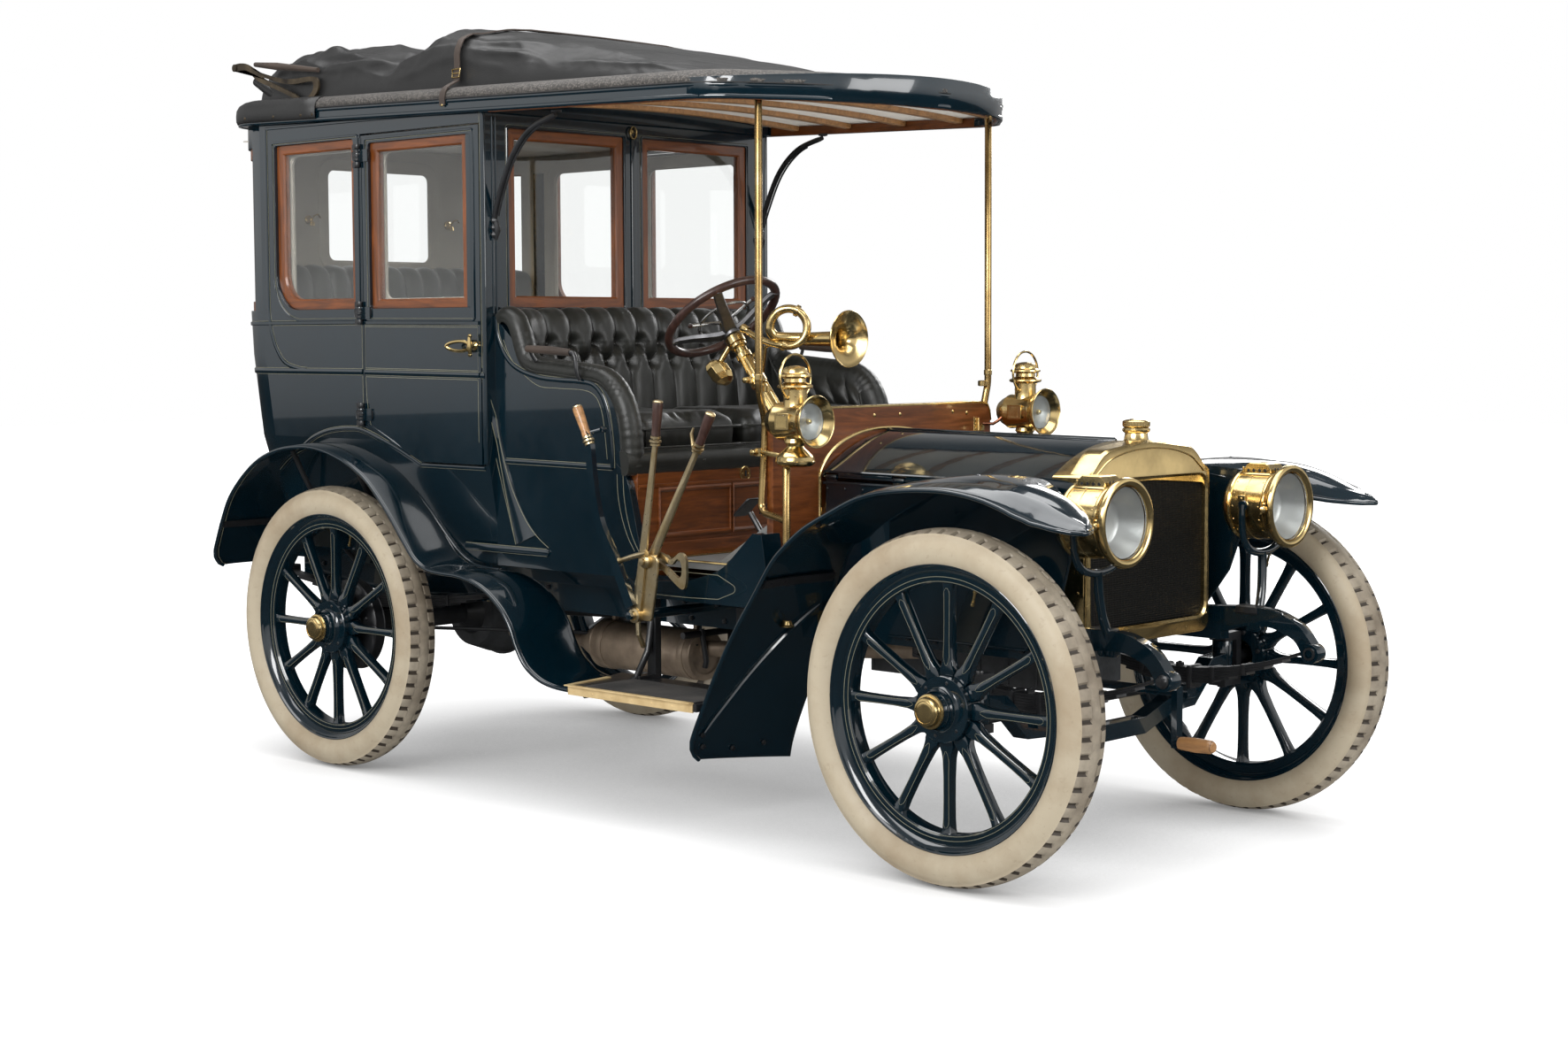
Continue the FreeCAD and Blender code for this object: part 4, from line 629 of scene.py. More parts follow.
def tyre(work, blocks):
    """A beaded tyre round the local y axis: plain sides, block tread cut in at the shoulders, the faces in
    the cuts darkened with painted shade.
    """
    steps = 8
    count = blocks * steps
    rows = []
    for i in range(count):
        angle = 2 * math.pi * i / count
        row = []
        for side in (-1, 1):
            section = [(side * w, r, 0) for w, r in TYRE_SIDE]
            shift = 0 if side < 0 else steps // 2
            gap = (i + shift) % steps in (0, 1)
            wear = noise.noise(Vector((math.cos(angle) * 3, math.sin(angle) * 3, side))) * 1.2
            for w, r, cut in TREAD[1:]:
                deep = 6.5 if cut and gap else 0.0
                if w == 18:
                    deep = 3.0 if (i + shift) % (2 * steps) > steps else 1.0
                section.append((side * w, r - deep + min(wear, 0), 1))
            row.append(section)
        joined = row[0] + list(reversed(row[1][:-1]))
        rows.append([(r * math.sin(angle), w, r * math.cos(angle)) for w, r, _ in joined])
    plain = len(TYRE_SIDE) - 1
    work.skin(rows, 0, ring=True)
    wide = len(rows[0]) - 1
    # faces in the cuts near the shoulders take the third finish, darker rubber that is painted shade in the
    # grooves
    for i in range(count):
        for j in range(plain, wide - plain):
            near, shift = (j - plain, 0) if j < wide / 2 else (wide - plain - 1 - j, steps // 2)
            work.kinds[i * wide + j] = 2 if near < 4 and (i + shift) % steps in (0, 1) else 1


def wheel_ring(radius, across, count, start=0.0):
    """Points round the local y axis."""
    return [(radius * math.sin(a), across, radius * math.cos(a)) for a in around(count, start)]


def wheel_wood(work, out):
    """Rim, felloe, spokes, hub and lines round the local y axis, out being +1 or -1."""
    rim = ((-46, 378), (-47.5, 374.5), (-46, 371), (-41, 368), (-37, 360), (-27, 353.5), (27, 353.5),
           (37, 360), (41, 368), (46, 371), (47.5, 374.5), (46, 378), (40, 374), (0, 372), (-40, 374))
    work.turned(rim + rim[:1], CENTRE, SPINDLE, 0, 96)
    felloe = ((-27, 354), (-27, 333), (-21, 326.5), (-8, 325), (8, 325), (21, 326.5), (27, 333), (27, 354))
    work.turned(felloe, CENTRE, SPINDLE, 0, 96)
    for radius, across in ((342.5, 27.0), (330.5, 24.6)):
        ring = [(radius * math.cos(a), out * across, radius * math.sin(a)) for a in around(96)]
        work.tube(ring, 0.8, 1, 6, closed=True)
    depth = Vector(SPINDLE)
    for angle in around(sizes().spokes):
        away = Vector((math.sin(angle), 0, math.cos(angle)))
        side = Vector((math.cos(angle), 0, -math.sin(angle)))
        rows = [[away * r + side * half * a + depth * deep * b for a, b in SPOKE_CORNERS]
                for r, half, deep in SPOKE]
        work.skin(rows, 0, wrap=True)
        loop = []
        for r in range(112, 313, 8):
            half, deep = table(SPOKE, r)
            pinch = min(1.0, (r - 108) / 26, (316 - r) / 14)
            loop.append((away * r + side * half * 0.72 * pinch + depth * out * (deep * 0.97 + 0.2)))
        back = [p - side * 2 * (p.dot(side)) for p in reversed(loop)]
        work.tube(loop + back, 0.55, 1, 5, closed=True)
    work.turned([(out * a, r) for a, r in HUB], CENTRE, SPINDLE, 0, 48)
    bolts = wheel_ring(72, out * 35, 6, 15.0)
    work.studs(bolts, (0, out, 0), 5, 4.5, 2)
    work.nuts([(x, -y, z) for x, y, z in bolts], (0, -out, 0), 7, 6, 2)
    work.tube(wheel_ring(80, out * 35.4, 64), 0.5, 1, 5, closed=True)


def hub_cap(work, out):
    """The brass cap on its painted barrel, along +y or -y."""
    barrel = ((56, 50), (60, 46), (66, 44), (84, 43), (86, 41))
    work.turned([(out * a, r) for a, r in barrel], CENTRE, SPINDLE, 0, 40)
    cap = ((78, 38), (78, 45), (82, 46.5), (86, 45), (87, 40), (96, 38.5), (101, 36), (104, 30), (105, 20),
           (104.4, TIP))
    work.turned([(out * a, r) for a, r in cap], CENTRE, SPINDLE, 1, 40)
    work.tube(wheel_ring(29, out * 104.4, 48), 1.0, 1, 6, closed=True)


def valve(work):
    """A brass valve stem through the felloe."""
    away = Vector((0.26, 0, 0.9656))
    stem = ((0, 4.2), (6, 4.2), (6, 6.5), (10, 6.5), (10, 3.6), (34, 3.4), (34, 5), (46, 5), (48, TIP))
    work.turned(stem, away * 326, -away, 0, 12)


def brake_drum(work, out):
    """The rear wheel's drum on the inner side."""
    drum = ((-40, 60), (-40, 140), (-42, 148), (-46, 152), (-52, 150), (-80, 150), (-83, 152), (-84, 148),
            (-84, 140), (-78, 136))
    work.turned([(out * a, r) for a, r in drum], CENTRE, SPINDLE, 0, 64)
    work.nuts(wheel_ring(110, -out * 40, 6, 15.0), (0, out, 0), 7, 5)


def build_wheels():
    """Tyres, wood wheels, hub caps, valves and drums, each on its own wheel."""
    for end, x in (("front", WHEELBASE), ("rear", 0.0)):
        for side, out in SIDES:
            body = f"{end}_wheel_{side}_body"
            centre = Vector((x, out * TRACK_HALF, HUB_Z))
            parts = (("rubber", tyre, ("tyre_side", "tread_rubber", "groove_rubber"),
                      (f"{end}_tyre_{side}",), "tyre", (sizes().blocks,)),
                     ("spokes", wheel_wood, ("coach_paint", "lining_paint", "black_iron"),
                      (f"{end}_wheel_{side}",), "body_blue", (out,)),
                     ("hub_cap", hub_cap, ("coach_paint", "brass"), (), "brass", (out,)),
                     ("valve", valve, ("brass",), (), "brass", ()))
            if end == "rear":
                parts += (("drum", brake_drum, ("black_iron",), (), "black_iron", (out,)),)
            for label, make, finishes, nodes, slot, more in parts:
                work = Work()
                make(work, *more)
                work.points = [p + centre for p in work.points]
                work.piece(f"{end}_{side}_{label}", body, finishes, nodes, slot, centre, sharp=32.0)


# ---- carried pieces -------------------------------------------------------------------------

CARRIED = {
    "coach_paint": "body_platform bonnet_hinge_rod bonnet_side_left bonnet_side_right bonnet_top_left "
                   "bonnet_top_right cabin_back cabin_front cabin_sides chassis_frame driver_seat_sides "
                   "rear_door_left rear_door_right front_fenders rear_fenders roof starting_handle "
                   "headlamp_brackets front_axle front_wheel_left front_wheel_right rear_wheel_left "
                   "rear_wheel_right",
    "tyre_side": "front_tyre_left front_tyre_right rear_tyre_left rear_tyre_right",
    "black_iron": "door_hinge_brackets springs roof_irons tie_rod steering_knuckle_left "
                  "steering_knuckle_right running_boards rear_axle gearbox_and_shaft",
    "grey_iron": "engine_block",
    "silencer_iron": "exhaust_silencer",
    "brass": "headlamps horn radiator_shell side_lamps hand_levers steering_column",
    # the posts take the darker brass, painted shade
    "post_brass": "windscreen_posts",
    "core": "radiator_core",
    "mahogany_across": "dash_board heel_board",
    "floor_grey": "front_floor cabin_floor",
    "seat_leather": "driver_seat_cushion driver_seat_back",
    "bench_leather": "rear_seat",
    "roof_cloth": "roof_cover",
    "glass": "cabin_glass rear_door_glass_left rear_door_glass_right",
    "lamp_glass": "lamp_glasses",
    "dark_wood": "steering_wheel",
}


def dress(names, finish):
    """Give carried nodes a finish and softened edges, their own mesh left as it is."""
    for name in names:
        thing = NODES[name]
        mesh = thing.data
        for i in range(max(len(mesh.materials), 1)):
            if i < len(mesh.materials):
                mesh.materials[i] = FINISHES[finish]
            else:
                mesh.materials.append(FINISHES[finish])
        if finish in ("glass", "lamp_glass"):
            continue
        weld = thing.modifiers.new("weld", "WELD")
        weld.merge_threshold = 0.02 * MM
        bevel = thing.modifiers.new("edges", "BEVEL")
        bevel.width = sizes().edge
        bevel.segments = 2
        bevel.limit_method = "ANGLE"
        bevel.angle_limit = math.radians(30)
        bevel.harden_normals = True


# ---- coachwork ------------------------------------------------------------------------------

BODY_DRAW = ((709, 65, 140), (860, 38, 112), (1090, 0, 60), (1370, 0, 10), (1512, 0, 0))
BODY_HALF, BODY_TAIL, BODY_CORNER = 640.0, -700.0, 220.0
SEAT_SIDE = 600.0
BELT_Z, WAIST_Z = 1476.0, 1310.0


def wrap(u, z):
    """The body's skin: u is x along the side, and past the corner it goes on round the back."""
    side, back = table(BODY_DRAW, z)
    half, start = BODY_HALF - side, BODY_TAIL + back + BODY_CORNER
    if u >= start:
        return Vector((u, half, z))
    turn = (start - u) / BODY_CORNER
    if turn < math.pi / 2:
        return Vector((start - BODY_CORNER * math.sin(turn), half - BODY_CORNER * (1 - math.cos(turn)), z))
    return Vector((start - BODY_CORNER, half - BODY_CORNER - (turn - math.pi / 2) * BODY_CORNER, z))


def skin_line(path, step=22.0):
    """Points on the body's skin along a path of (u, z), with the way out at each."""
    line = []
    for u, z in divided(path, step):
        here = wrap(u, z)
        out = (wrap(u, z - 4) - wrap(u, z + 4)).cross(wrap(u + 4, z) - wrap(u - 4, z)).normalized()
        if out.y < 0 and out.x > -0.5:
            out = -out
        line.append((here, out if out.dot(Vector((-0.3, 1, 0))) > -0.2 or here.x < -400 else -out))
    return line


def flat_line(path, y, step=40.0):
    """Points in the plane |y| = y along a path of (x, z)."""
    return ring_outline(divided(path, step), y)


def strip(work, line, section, kind, closed=False):
    """A section of (out, across) led along points that carry their own way out."""
    count = len(line)
    rows = []
    for i, (here, out) in enumerate(line):
        before = line[i - 1][0] if closed or i else here
        after = line[(i + 1) % count][0] if closed or i < count - 1 else here
        along = (after - before).normalized()
        out = (out - along * out.dot(along)).normalized()
        across = along.cross(out)
        rows.append([here + out * a + across * b for a, b in section])
    work.skin(rows, kind, wrap=True, ring=closed, ends=not closed)


def band(work, line, width, height=5.0, lines=(-1, 1), closed=False):
    """A raised moulding with a painted line along its edges."""
    w = width / 2
    strip(work, line, ((-1, -w), (height * 0.6, -w * 0.94), (height, -w * 0.6), (height, w * 0.6),
                       (height * 0.6, w * 0.94), (-1, w)), 0, closed)
    for side in lines:
        hairline(work, line, side * (w + sizes().line / MM * 0.3), closed)


def hairline(work, line, offset=0.0, closed=False, kind=1, lift=0.5):
    """A thin painted line on a surface."""
    w = sizes().line / MM / 2
    section = ((-0.5, offset - w), (lift, offset - w * 0.8), (lift, offset + w * 0.8), (-0.5, offset + w))
    strip(work, line, section, kind, closed)


def ring_outline(outline, y):
    """An outline of (x, z) in the plane |y| = y, its way out sideways."""
    return [(Vector((x, y, z)), Vector((0, 1, 0))) for x, z in outline]


# corners (u, z, radius) of the lights
QUARTER_LIGHT = ((-395, 1520, 120), (48, 1520, 5), (48, 2078, 5), (-395, 2078, 5))
DOOR_LIGHT = ((128, 1520, 4), (624, 1520, 4), (624, 2060, 4), (128, 2060, 4))
DIVISION_LIGHT = ((42, 1520, 5), (536, 1520, 5), (536, 2078, 5), (42, 2078, 5))
BACK_LIGHT = ((-330, 1520, 40), (330, 1520, 40), (330, 2068, 40), (-330, 2068, 40))


def wood_ring(work, corners, rails, y, deep, place_at):
    """A window frame of wood in an opening. rails are its widths (u low, u high, v low, v high)."""
    us = [u for u, _, _ in corners]
    low_u, high_u = min(us), max(us)
    low_v = min(v for _, v, _ in corners)

    def shrink(extra):
        moved = []
        for u, v, r in corners:
            mu = u + (rails[0] + extra if u == low_u else -rails[1] - extra)
            mv = v + (rails[2] + extra if v == low_v else -rails[3] - extra)
            moved.append((mu, mv, max(r - rails[0] * 0.8, 3)))
        return rounded(moved, 8)
    outline = rounded([(u, v, max(r, 2)) for u, v, r in corners], 8)
    inner, lip = shrink(-5.0), shrink(0.0)
    levels = ((outline, y - deep), (outline, y - 1.2), (inset(outline, 1.2), y), (inner, y), (lip, y - 5.5),
              (lip, y - deep))
    rows = [[place_at(p.x, p.y, height) for p in line] for line, height in levels]
    base = len(work.faces)
    work.skin(rows + rows[:1], 0, wrap=True)
    for i in range(base, len(work.faces)):
        spots = [work.points[j] for j in work.faces[i]]
        middle = sum(spots, Vector()) / len(spots)
        u = middle.x if place_at is on_side else middle.y
        if u < low_u + rails[0] + 2 or u > high_u - rails[1] - 2:
            work.kinds[i] = 1


def on_side(u, v, height):
    return Vector((u, height, v))


def on_front(u, v, height):
    return Vector((height, u, v))


def on_back(u, v, height):
    return Vector((-height, u, v))


def quarter_panels():
    """Mouldings and lines of the fixed coachwork, both sides."""
    work = Work()
    far = -480 - 220 * math.pi / 2 - 420
    # waist, belt and roof bands round the body
    band(work, skin_line([(84, 1313), (far, 1313)]), 20, 5)
    band(work, skin_line([(84, BELT_Z), (-400, BELT_Z), (far, BELT_Z)]), 14, 5, lines=(-1,))
    band(work, skin_line([(689, 2129), (84, 2135), (-440, 2139)]), 10, 4, lines=())
    band(work, skin_line([(711, WAIST_Z - 4), (692, WAIST_Z - 4)]), 18, 5)
    # corner pillar, with its sweep into the waist
    sweep = curve([(-443, 2138), (-443, 1800), (-443, 1560), (-440, 1500), (-426, 1440), (-398, 1385),
                   (-352, 1341), (-280, 1322), (-230, 1318)], 6)
    band(work, skin_line(sweep, 14), 15, 4.5)
    # quarter light bead
    bead = rounded([(-407, 1485, 150), (74, 1485, 8), (74, 2088, 8), (-407, 2088, 8)], 10)
    band(work, ring_outline(bead, BODY_HALF), 8, 4, lines=(1,), closed=True)
    # edges beside the door
    hairline(work, skin_line([(82, 1470), (82, 1325)]))
    hairline(work, skin_line([(82, 1300), (84, 1140)]))
    hairline(work, skin_line([(80, 1468), (-420, 1468)]))
    # wheel arch and sill
    arch = curve([(-330, 1018), (-213, 1081), (-116, 1112), (0, 1124), (88, 1118), (228, 1074),
                  (368, 1014)], 8)
    band(work, skin_line(arch, 20), 16, 5)
    band(work, skin_line([(368, 1014), (690, 1014)]), 12, 4, lines=(-1,))
    # front pillar
    work.sweep([(706, BODY_HALF - 5, 1030), (706, BODY_HALF - 5, 2126)],
               [(8 * math.cos(a), 8 * math.sin(a)) for a in around(16)], 0)
    hairline(work, skin_line([(696, 2120), (696, 1330)]))
    work.mirror()
    work.piece("coach_mouldings", "car", ("coach_paint", "lining_paint"), (), "body_blue", sharp=40)


def sweep_mouldings():
    """The pillar that sweeps forward under the driver's seat, the sill and the seat panel's trim."""
    work = Work()
    top = SEAT_SIDE
    # pillar, from the cabin's corner to the sill
    front = curve([(708, 1300), (722, 1180), (745, 1080), (790, 965), (850, 870), (905, 815), (965, 778)], 6)
    rear = curve([(690, 1290), (704, 1180), (722, 1080), (746, 985), (772, 890), (803, 780)], 6)
    rows = []
    for a, b in zip(rear, front):
        y = lerp(BODY_HALF, top + 6, min(max((1300 - a.y) / 210, 0), 1))
        y_front = lerp(BODY_HALF, top + 5, min(max((1300 - b.y) / 120, 0), 1))
        inner = 596
        rows.append([(a.x, inner, a.y), (a.x, y - 1.5, a.y), (a.x + 3, y, a.y), (b.x - 4, y_front, b.y),
                     (b.x, y_front - 1.5, b.y), (b.x, inner, b.y)])
    work.skin(rows, 0, wrap=True, ends=True)
    for edge, side in ((front, 1), (rear, -1)):
        line = []
        for p in edge:
            fall = (1300 - p.y) / (120 if side > 0 else 210)
            y = lerp(BODY_HALF, top + (5 if side > 0 else 6), min(max(fall, 0), 1))
            line.append((Vector((p.x - 4 * side, y, p.y)), Vector((0, 1, 0))))
        hairline(work, line, 0, lift=1.0)
    inner_edge = [p - Vector((34, 0)) * (1 - i / len(rear)) for i, p in enumerate(rear)]
    hairline(work, flat_line(inner_edge[6:], 600 + 1.2))
    # sill
    sill = [(560, 762), (760, 762), (950, 762)]
    band(work, flat_line(sill, 603), 22, 5, lines=(-1, 1))
    work.turned(((0, 11), (4, 10), (5.5, 7), (6, TIP)), (950, 602, 762), (0, 1, 0), 0, 20)
    # seat panel
    outer = curve([(719, 1490), (728, 1425), (772, 1360), (832, 1324), (925, 1302), (1020, 1295),
                   (1102, 1292), (1166, 1283), (1207, 1250), (1232, 1194), (1247, 1106), (1250, 1034)], 6)
    band(work, flat_line(outer, top + 0.5, 30), 16, 5, lines=(1,))
    inner = curve([(752, 1418), (800, 1347), (905, 1302 - 22), (1006, 1270), (1121, 1266), (1172, 1250),
                   (1198, 1215), (1213, 1160), (1226, 1060)], 6)
    hairline(work, flat_line(inner, top + 0.4))
    band(work, flat_line([(760, 1040), (1248, 1036)], top), 16, 5)
    # lower front edge
    for dx in (0, 26):
        edge = curve([(1268 + dx, 1016), (1272 + dx, 951), (1288 + dx * 0.9, 888), (1312 + dx * 0.8, 833),
                      (1342 + dx * 0.7, 790)], 6)
        hairline(work, flat_line(edge, top + 0.4))
    # lined panel on the sill before the front fender
    triangle = [(1352, 742), (1690, 742), (1780, 705), (1690, 672), (1560, 668), (1352, 668)]
    panel = rounded([(x, z, 12) for x, z in triangle], 4)
    hairline(work, ring_outline(panel, 600.6), closed=True)
    work.mirror()
    work.piece("swept_pillars", "car", ("coach_paint", "lining_paint"), (), "body_blue", sharp=40)


def door_trim(side, out):
    """Mouldings, lines, window frame and handle of one rear door."""
    body = f"door_{side}_body"
    work = Work()
    band(work, skin_line([(97, WAIST_Z + 2), (684, WAIST_Z - 3)]), 18, 5)
    band(work, skin_line([(97, BELT_Z - 1), (684, BELT_Z - 6)]), 14, 5, lines=(-1,))
    bead = rounded([(112, 1484, 8), (662, 1480, 8), (662, 2073, 8), (112, 2073, 8)], 4)
    band(work, ring_outline(bead, BODY_HALF), 8, 4, lines=(1,), closed=True)
    # painted reveal at the front of the light
    work.block((622, 606, 1520), (654, 636, 2061), 0, 1.5)
    panel = [(98, 1462), (98, 1326), (676, 1321), (676, 1457)]
    hairline(work, ring_outline(panel, BODY_HALF), closed=True)
    lower = [(99, 1296), (103, 1230), (112, 1170), (124, 1132)]
    arch = [(124, 1132), (180, 1115), (240, 1088), (310, 1054), (366, 1036), (676, 1036)]
    for path in (lower, arch, [(676, 1036), (676, 1292)], [(676, 1292), (99, 1297)]):
        hairline(work, skin_line(path))
    door_low = [(99, 1136), (170, 1110), (240, 1080), (310, 1046), (385, 1032), (684, 1032)]
    band(work, skin_line([(x, z + 6) for x, z in door_low]), 9, 4, lines=())
    work.block((88, BODY_HALF - 2, 1140), (93, BODY_HALF + 1.5, 2078), 0, 0.6)
    flip(work, out)
    work.piece(f"door_{side}_mouldings", body, ("coach_paint", "lining_paint"), (), "body_blue", sharp=40)

    frame_work = Work()
    wood_ring(frame_work, DOOR_LIGHT, (37, 30, 31, 30), 630, 26, on_side)
    flip(frame_work, out)
    frame_work.piece(f"door_{side}_wood", body, ("mahogany", "mahogany_upright"), (), "mahogany", sharp=30)

    # brass loop handle on its post
    grip = Work()
    loop = [(612 + 50 * math.cos(a), 668 - 6 * math.cos(a), 1398 + 15 * math.sin(a) * (1 + 0.2 * math.cos(a)))
            for a in around(32)]
    grip.tube(loop, 5.5, 0, 8, closed=True)
    grip.tube([(664, 662, 1372), (664, 664, 1398), (662, 662, 1428)], ((0, 5), (0.5, 8.5), (1, 5)), 0, 10)
    for z in (1371, 1430):
        grip.turned(((-7, TIP), (-5, 5), (0, 7.5), (5, 5), (7, TIP)), (663, 661, z), (0, 0, 1), 0, 12)
    grip.turned(((0, 14), (3, 14), (5, 11), (8, 8), (22, 7)), (663, BODY_HALF, 1399), (0, 1, 0), 0, 20)
    flip(grip, out)
    grip.piece(f"door_{side}_handle", body, "brass", (), "brass")


def flip(work, out):
    """Turn a piece made for the left side over to the right when out is -1."""
    if out < 0:
        for p in work.points:
            p.y = -p.y
        work.faces = [tuple(reversed(face)) for face in work.faces]


def corner_point(radius, angle):
    """A point (x, y) round the upright axis of the body's rear corner."""
    return (BODY_TAIL + BODY_CORNER + radius * math.cos(angle),
            BODY_HALF - BODY_CORNER + radius * math.sin(angle))


def window_wood():
    """Mahogany frames of the fixed lights."""
    work = Work()
    wood_ring(work, QUARTER_LIGHT, (40, 28, 36, 32), 629, 24, on_side)
    # curved frame of the corner light
    for z0, z1 in ((1520, 1552), (2042, 2078)):
        ring = ((198, z0), (211, z0), (212, z0 + 1), (212, z1 - 1), (211, z1), (198, z1))
        rows = [[(*corner_point(r, a), z) for r, z in ring] for a in around(15, 104.0, 62.0)]
        work.skin(rows, 0, wrap=True, ends=True)
    for a0, a1 in ((103, 111), (159, 167)):
        section = ((198, a0), (212, a0), (212, a1), (198, a1))
        rows = [[(*corner_point(r, math.radians(a)), z) for r, a in section] for z in (1520, 1800, 2078)]
        work.skin(rows, 1, wrap=True, ends=True)
    work.mirror()
    work.piece("quarter_wood", "car", ("mahogany", "mahogany_upright"), (), "mahogany", sharp=30)

    # front division, seen over the driver's seat, and the back light
    work = Work()
    wood_ring(work, DIVISION_LIGHT, (32, 32, 36, 34), 706, 28, on_front)
    work.mirror()
    wood_ring(work, BACK_LIGHT, (36, 36, 34, 34), 690, 26, on_back)
    work.piece("division_wood", "car", ("mahogany_across", "mahogany_upright"), (), "mahogany", sharp=30)

    work = Work()
    bead = box_outline(35, 1512, 543, 2084, 6, 4)
    line = [(Vector((712, p.x, p.y)), Vector((1, 0, 0))) for p in bead]
    band(work, line, 9, 4, lines=(1,), closed=True)
    oval = [(4 * math.cos(a), 3 * math.sin(a)) for a in around(10)]
    for y in (590, 604):
        work.sweep([(712, y, 1500), (712, y, 2110)], oval, 0)
    work.mirror()
    work.block((711, -12, 1500), (717, 12, 2112), 0, 2)
    bead = box_outline(-340, 1510, 340, 2078, 46, 8)
    line = [(Vector((-700, p.x, p.y)), Vector((-1, 0, 0))) for p in bead]
    band(work, line, 9, 4, lines=(-1,), closed=True)
    work.piece("division_beads", "car", ("coach_paint", "lining_paint"), (), "body_blue", sharp=40)
    # brass oval on the header
    work = Work()
    work.turned(((0, 12), (2, 12), (4, 9), (8, 4), (9, TIP)), (712, -8, 2098), (1, 0, 0), 0, 20)
    loop = [(722, -8 + 14 * math.cos(a), 2094 + 20 * math.sin(a)) for a in around(24)]
    work.tube(loop, 3, 0, 8, closed=True)
    work.piece("header_ring", "car", "brass", (), "brass")


def lined_bay(work, box, light, place_at, y):
    """Cloth on one bay, cut round its light and raised in a rounded frame about it."""
    outer, inner = box_outline(*box, 3, 7), box_outline(*light, 7)
    rows = [[place_at(p.x, p.y, h) for p in line] for line, h in
            ((outer, y), (outer, y - 7), (inner, y - 7), (inner, y))]
    work.skin(rows + rows[:1], 0, wrap=True)
    inward = place_at(0, 0, -1)
    line = [(place_at(p.x, p.y, y - 7), inward) for p in inset(inner, -24)]
    strip(work, line, ((0, -22), (5, -20), (7, -14), (5, 0), (7, 14), (5, 20), (0, 22)), 0, True)


def cabin_lining():
    """Cloth lining, headlining and small fittings inside the cabin."""
    work = Work()
    lined_bay(work, (-415, 1150, 84, 2120), (-345, 1556, 20, 2040, 36), on_side, 599)
    bend = [(-415, 596)] + [corner_point(176, a) for a in around(13, 90.0, 90.0)] + [(-656, 330)]
    for low, high in ((1190, 1552), (2046, 2120)):
        work.skin([[(x, y, low), (x, y, high)] for x, y in bend], 0)
    for start in (90.0, 160.0):
        work.skin([[(*corner_point(176, a), z) for z in (1552, 2046)] for a in around(5, start, 20.0)], 0)
    work.mirror()
    lined_bay(work, (-420, 1190, 420, 2120), (-228, 1706, 228, 2030, 26), on_back, 658)
    work.piece("cabin_lining", "car", ("lining_cloth",), (), "floor_grey", sharp=40)
    for side, out in SIDES:
        work = Work()
        lined_bay(work, (97, 1040, 683, 2076), (166, 1554, 600, 2028, 30), on_side, 599)
        for z in (1120, 1180):
            work.block((150, 586, z), (630, 593, z + 50), 0, 3)
        flip(work, out)
        work.piece(f"door_{side}_lining", f"door_{side}_body", ("lining_cloth",), (), "floor_grey", sharp=40)
    # headlining
    work = Work()
    work.skin([[(x, y, 2112 + 10 * math.cos(y / 400)) for y in range(-590, 591, 59)]
               for x in range(-650, 701, 90)], 0)
    work.piece("cabin_ceiling", "car", "ceiling_cloth", (), "floor_grey", thick=4)
    work = Work()
    for y in (-318, 318):
        work.turned(((0, 16), (3, 16), (6, 10), (22, 6), (24, TIP)), (-651, y, 1848), (1, 0, 0), 0, 16)
        work.tube([(-628, y, 1848), (-620, y + 4, 1862), (-622, y + 22, 1868), (-625, y + 34, 1856)], 3, 0, 8)
        work.turned(((0, 3), (6, 7), (18, 9), (20, TIP)), (-628, y, 1846), (0, 0, -1), 0, 12)
    work.piece("cabin_hooks", "car", "brass", (), "brass")


HINGE_ZS = (1172, 1506, 2020)


def hinge_leaves():
    """Three black hinges beside each door: the leaves on the door, then those on the body."""
    for side, out in SIDES:
        work = Work()
        for z in HINGE_ZS:
            y = side_half(z)
            work.plate(rounded([(98, z - 16, 4), (136, z - 16, 8), (136, z + 16, 8), (98, z + 16, 4)], 3),
                       (0, y, 0), (1, 0, 0), (0, 0, 1), -4, 0, 1)
            work.studs([(110, y + 3, z - 8), (110, y + 3, z + 8), (126, y + 3, z)], (0, 1, 0), 3.5, 2.5)
        flip(work, out)
        work.piece(f"door_{side}_hinge_leaves", f"door_{side}_body", "black_iron", (), "black_iron")
        work = Work()
        for z in HINGE_ZS:
            y = side_half(z)
            work.plate(rounded([(48, z - 16, 8), (76, z - 16, 4), (76, z + 16, 4), (48, z + 16, 8)], 3),
                       (0, y, 0), (1, 0, 0), (0, 0, 1), -4, 0, 1)
            work.studs([(58, y + 3, z), (69, y + 3, z - 9), (69, y + 3, z + 9)], (0, 1, 0), 3.5, 2.5)
            for k in (-12, 0, 12):
                work.turned(((-5, 8), (-4, 9.5), (4, 9.5), (5, 8)), (86, 652, z + k), (0, 0, 1), 0, 14)
        flip(work, out)
        work.piece(f"hinge_{side}_plates", "car", "black_iron", (), "black_iron")


def side_half(z):
    """How far the body's side stands from the middle at a height."""
    return BODY_HALF - table(BODY_DRAW, z)[0]


def build_coachwork():
    """Mouldings, door trim, window wood, linings and hinges."""
    quarter_panels()
    sweep_mouldings()
    for side, out in SIDES:
        door_trim(side, out)
    window_wood()
    cabin_lining()
    hinge_leaves()


# ---- seats ----------------------------------------------------------------------------------

BUTTON_Y, ROW_HIGH, ROW_LOW = -464.0, 1404.0, 1346.0
BACK_HALF = 560.0
CUSHION_BACK, CUSHION_FRONT, CUSHION_LOW, CUSHION_TOP = 868, 1318, 1084, 1176


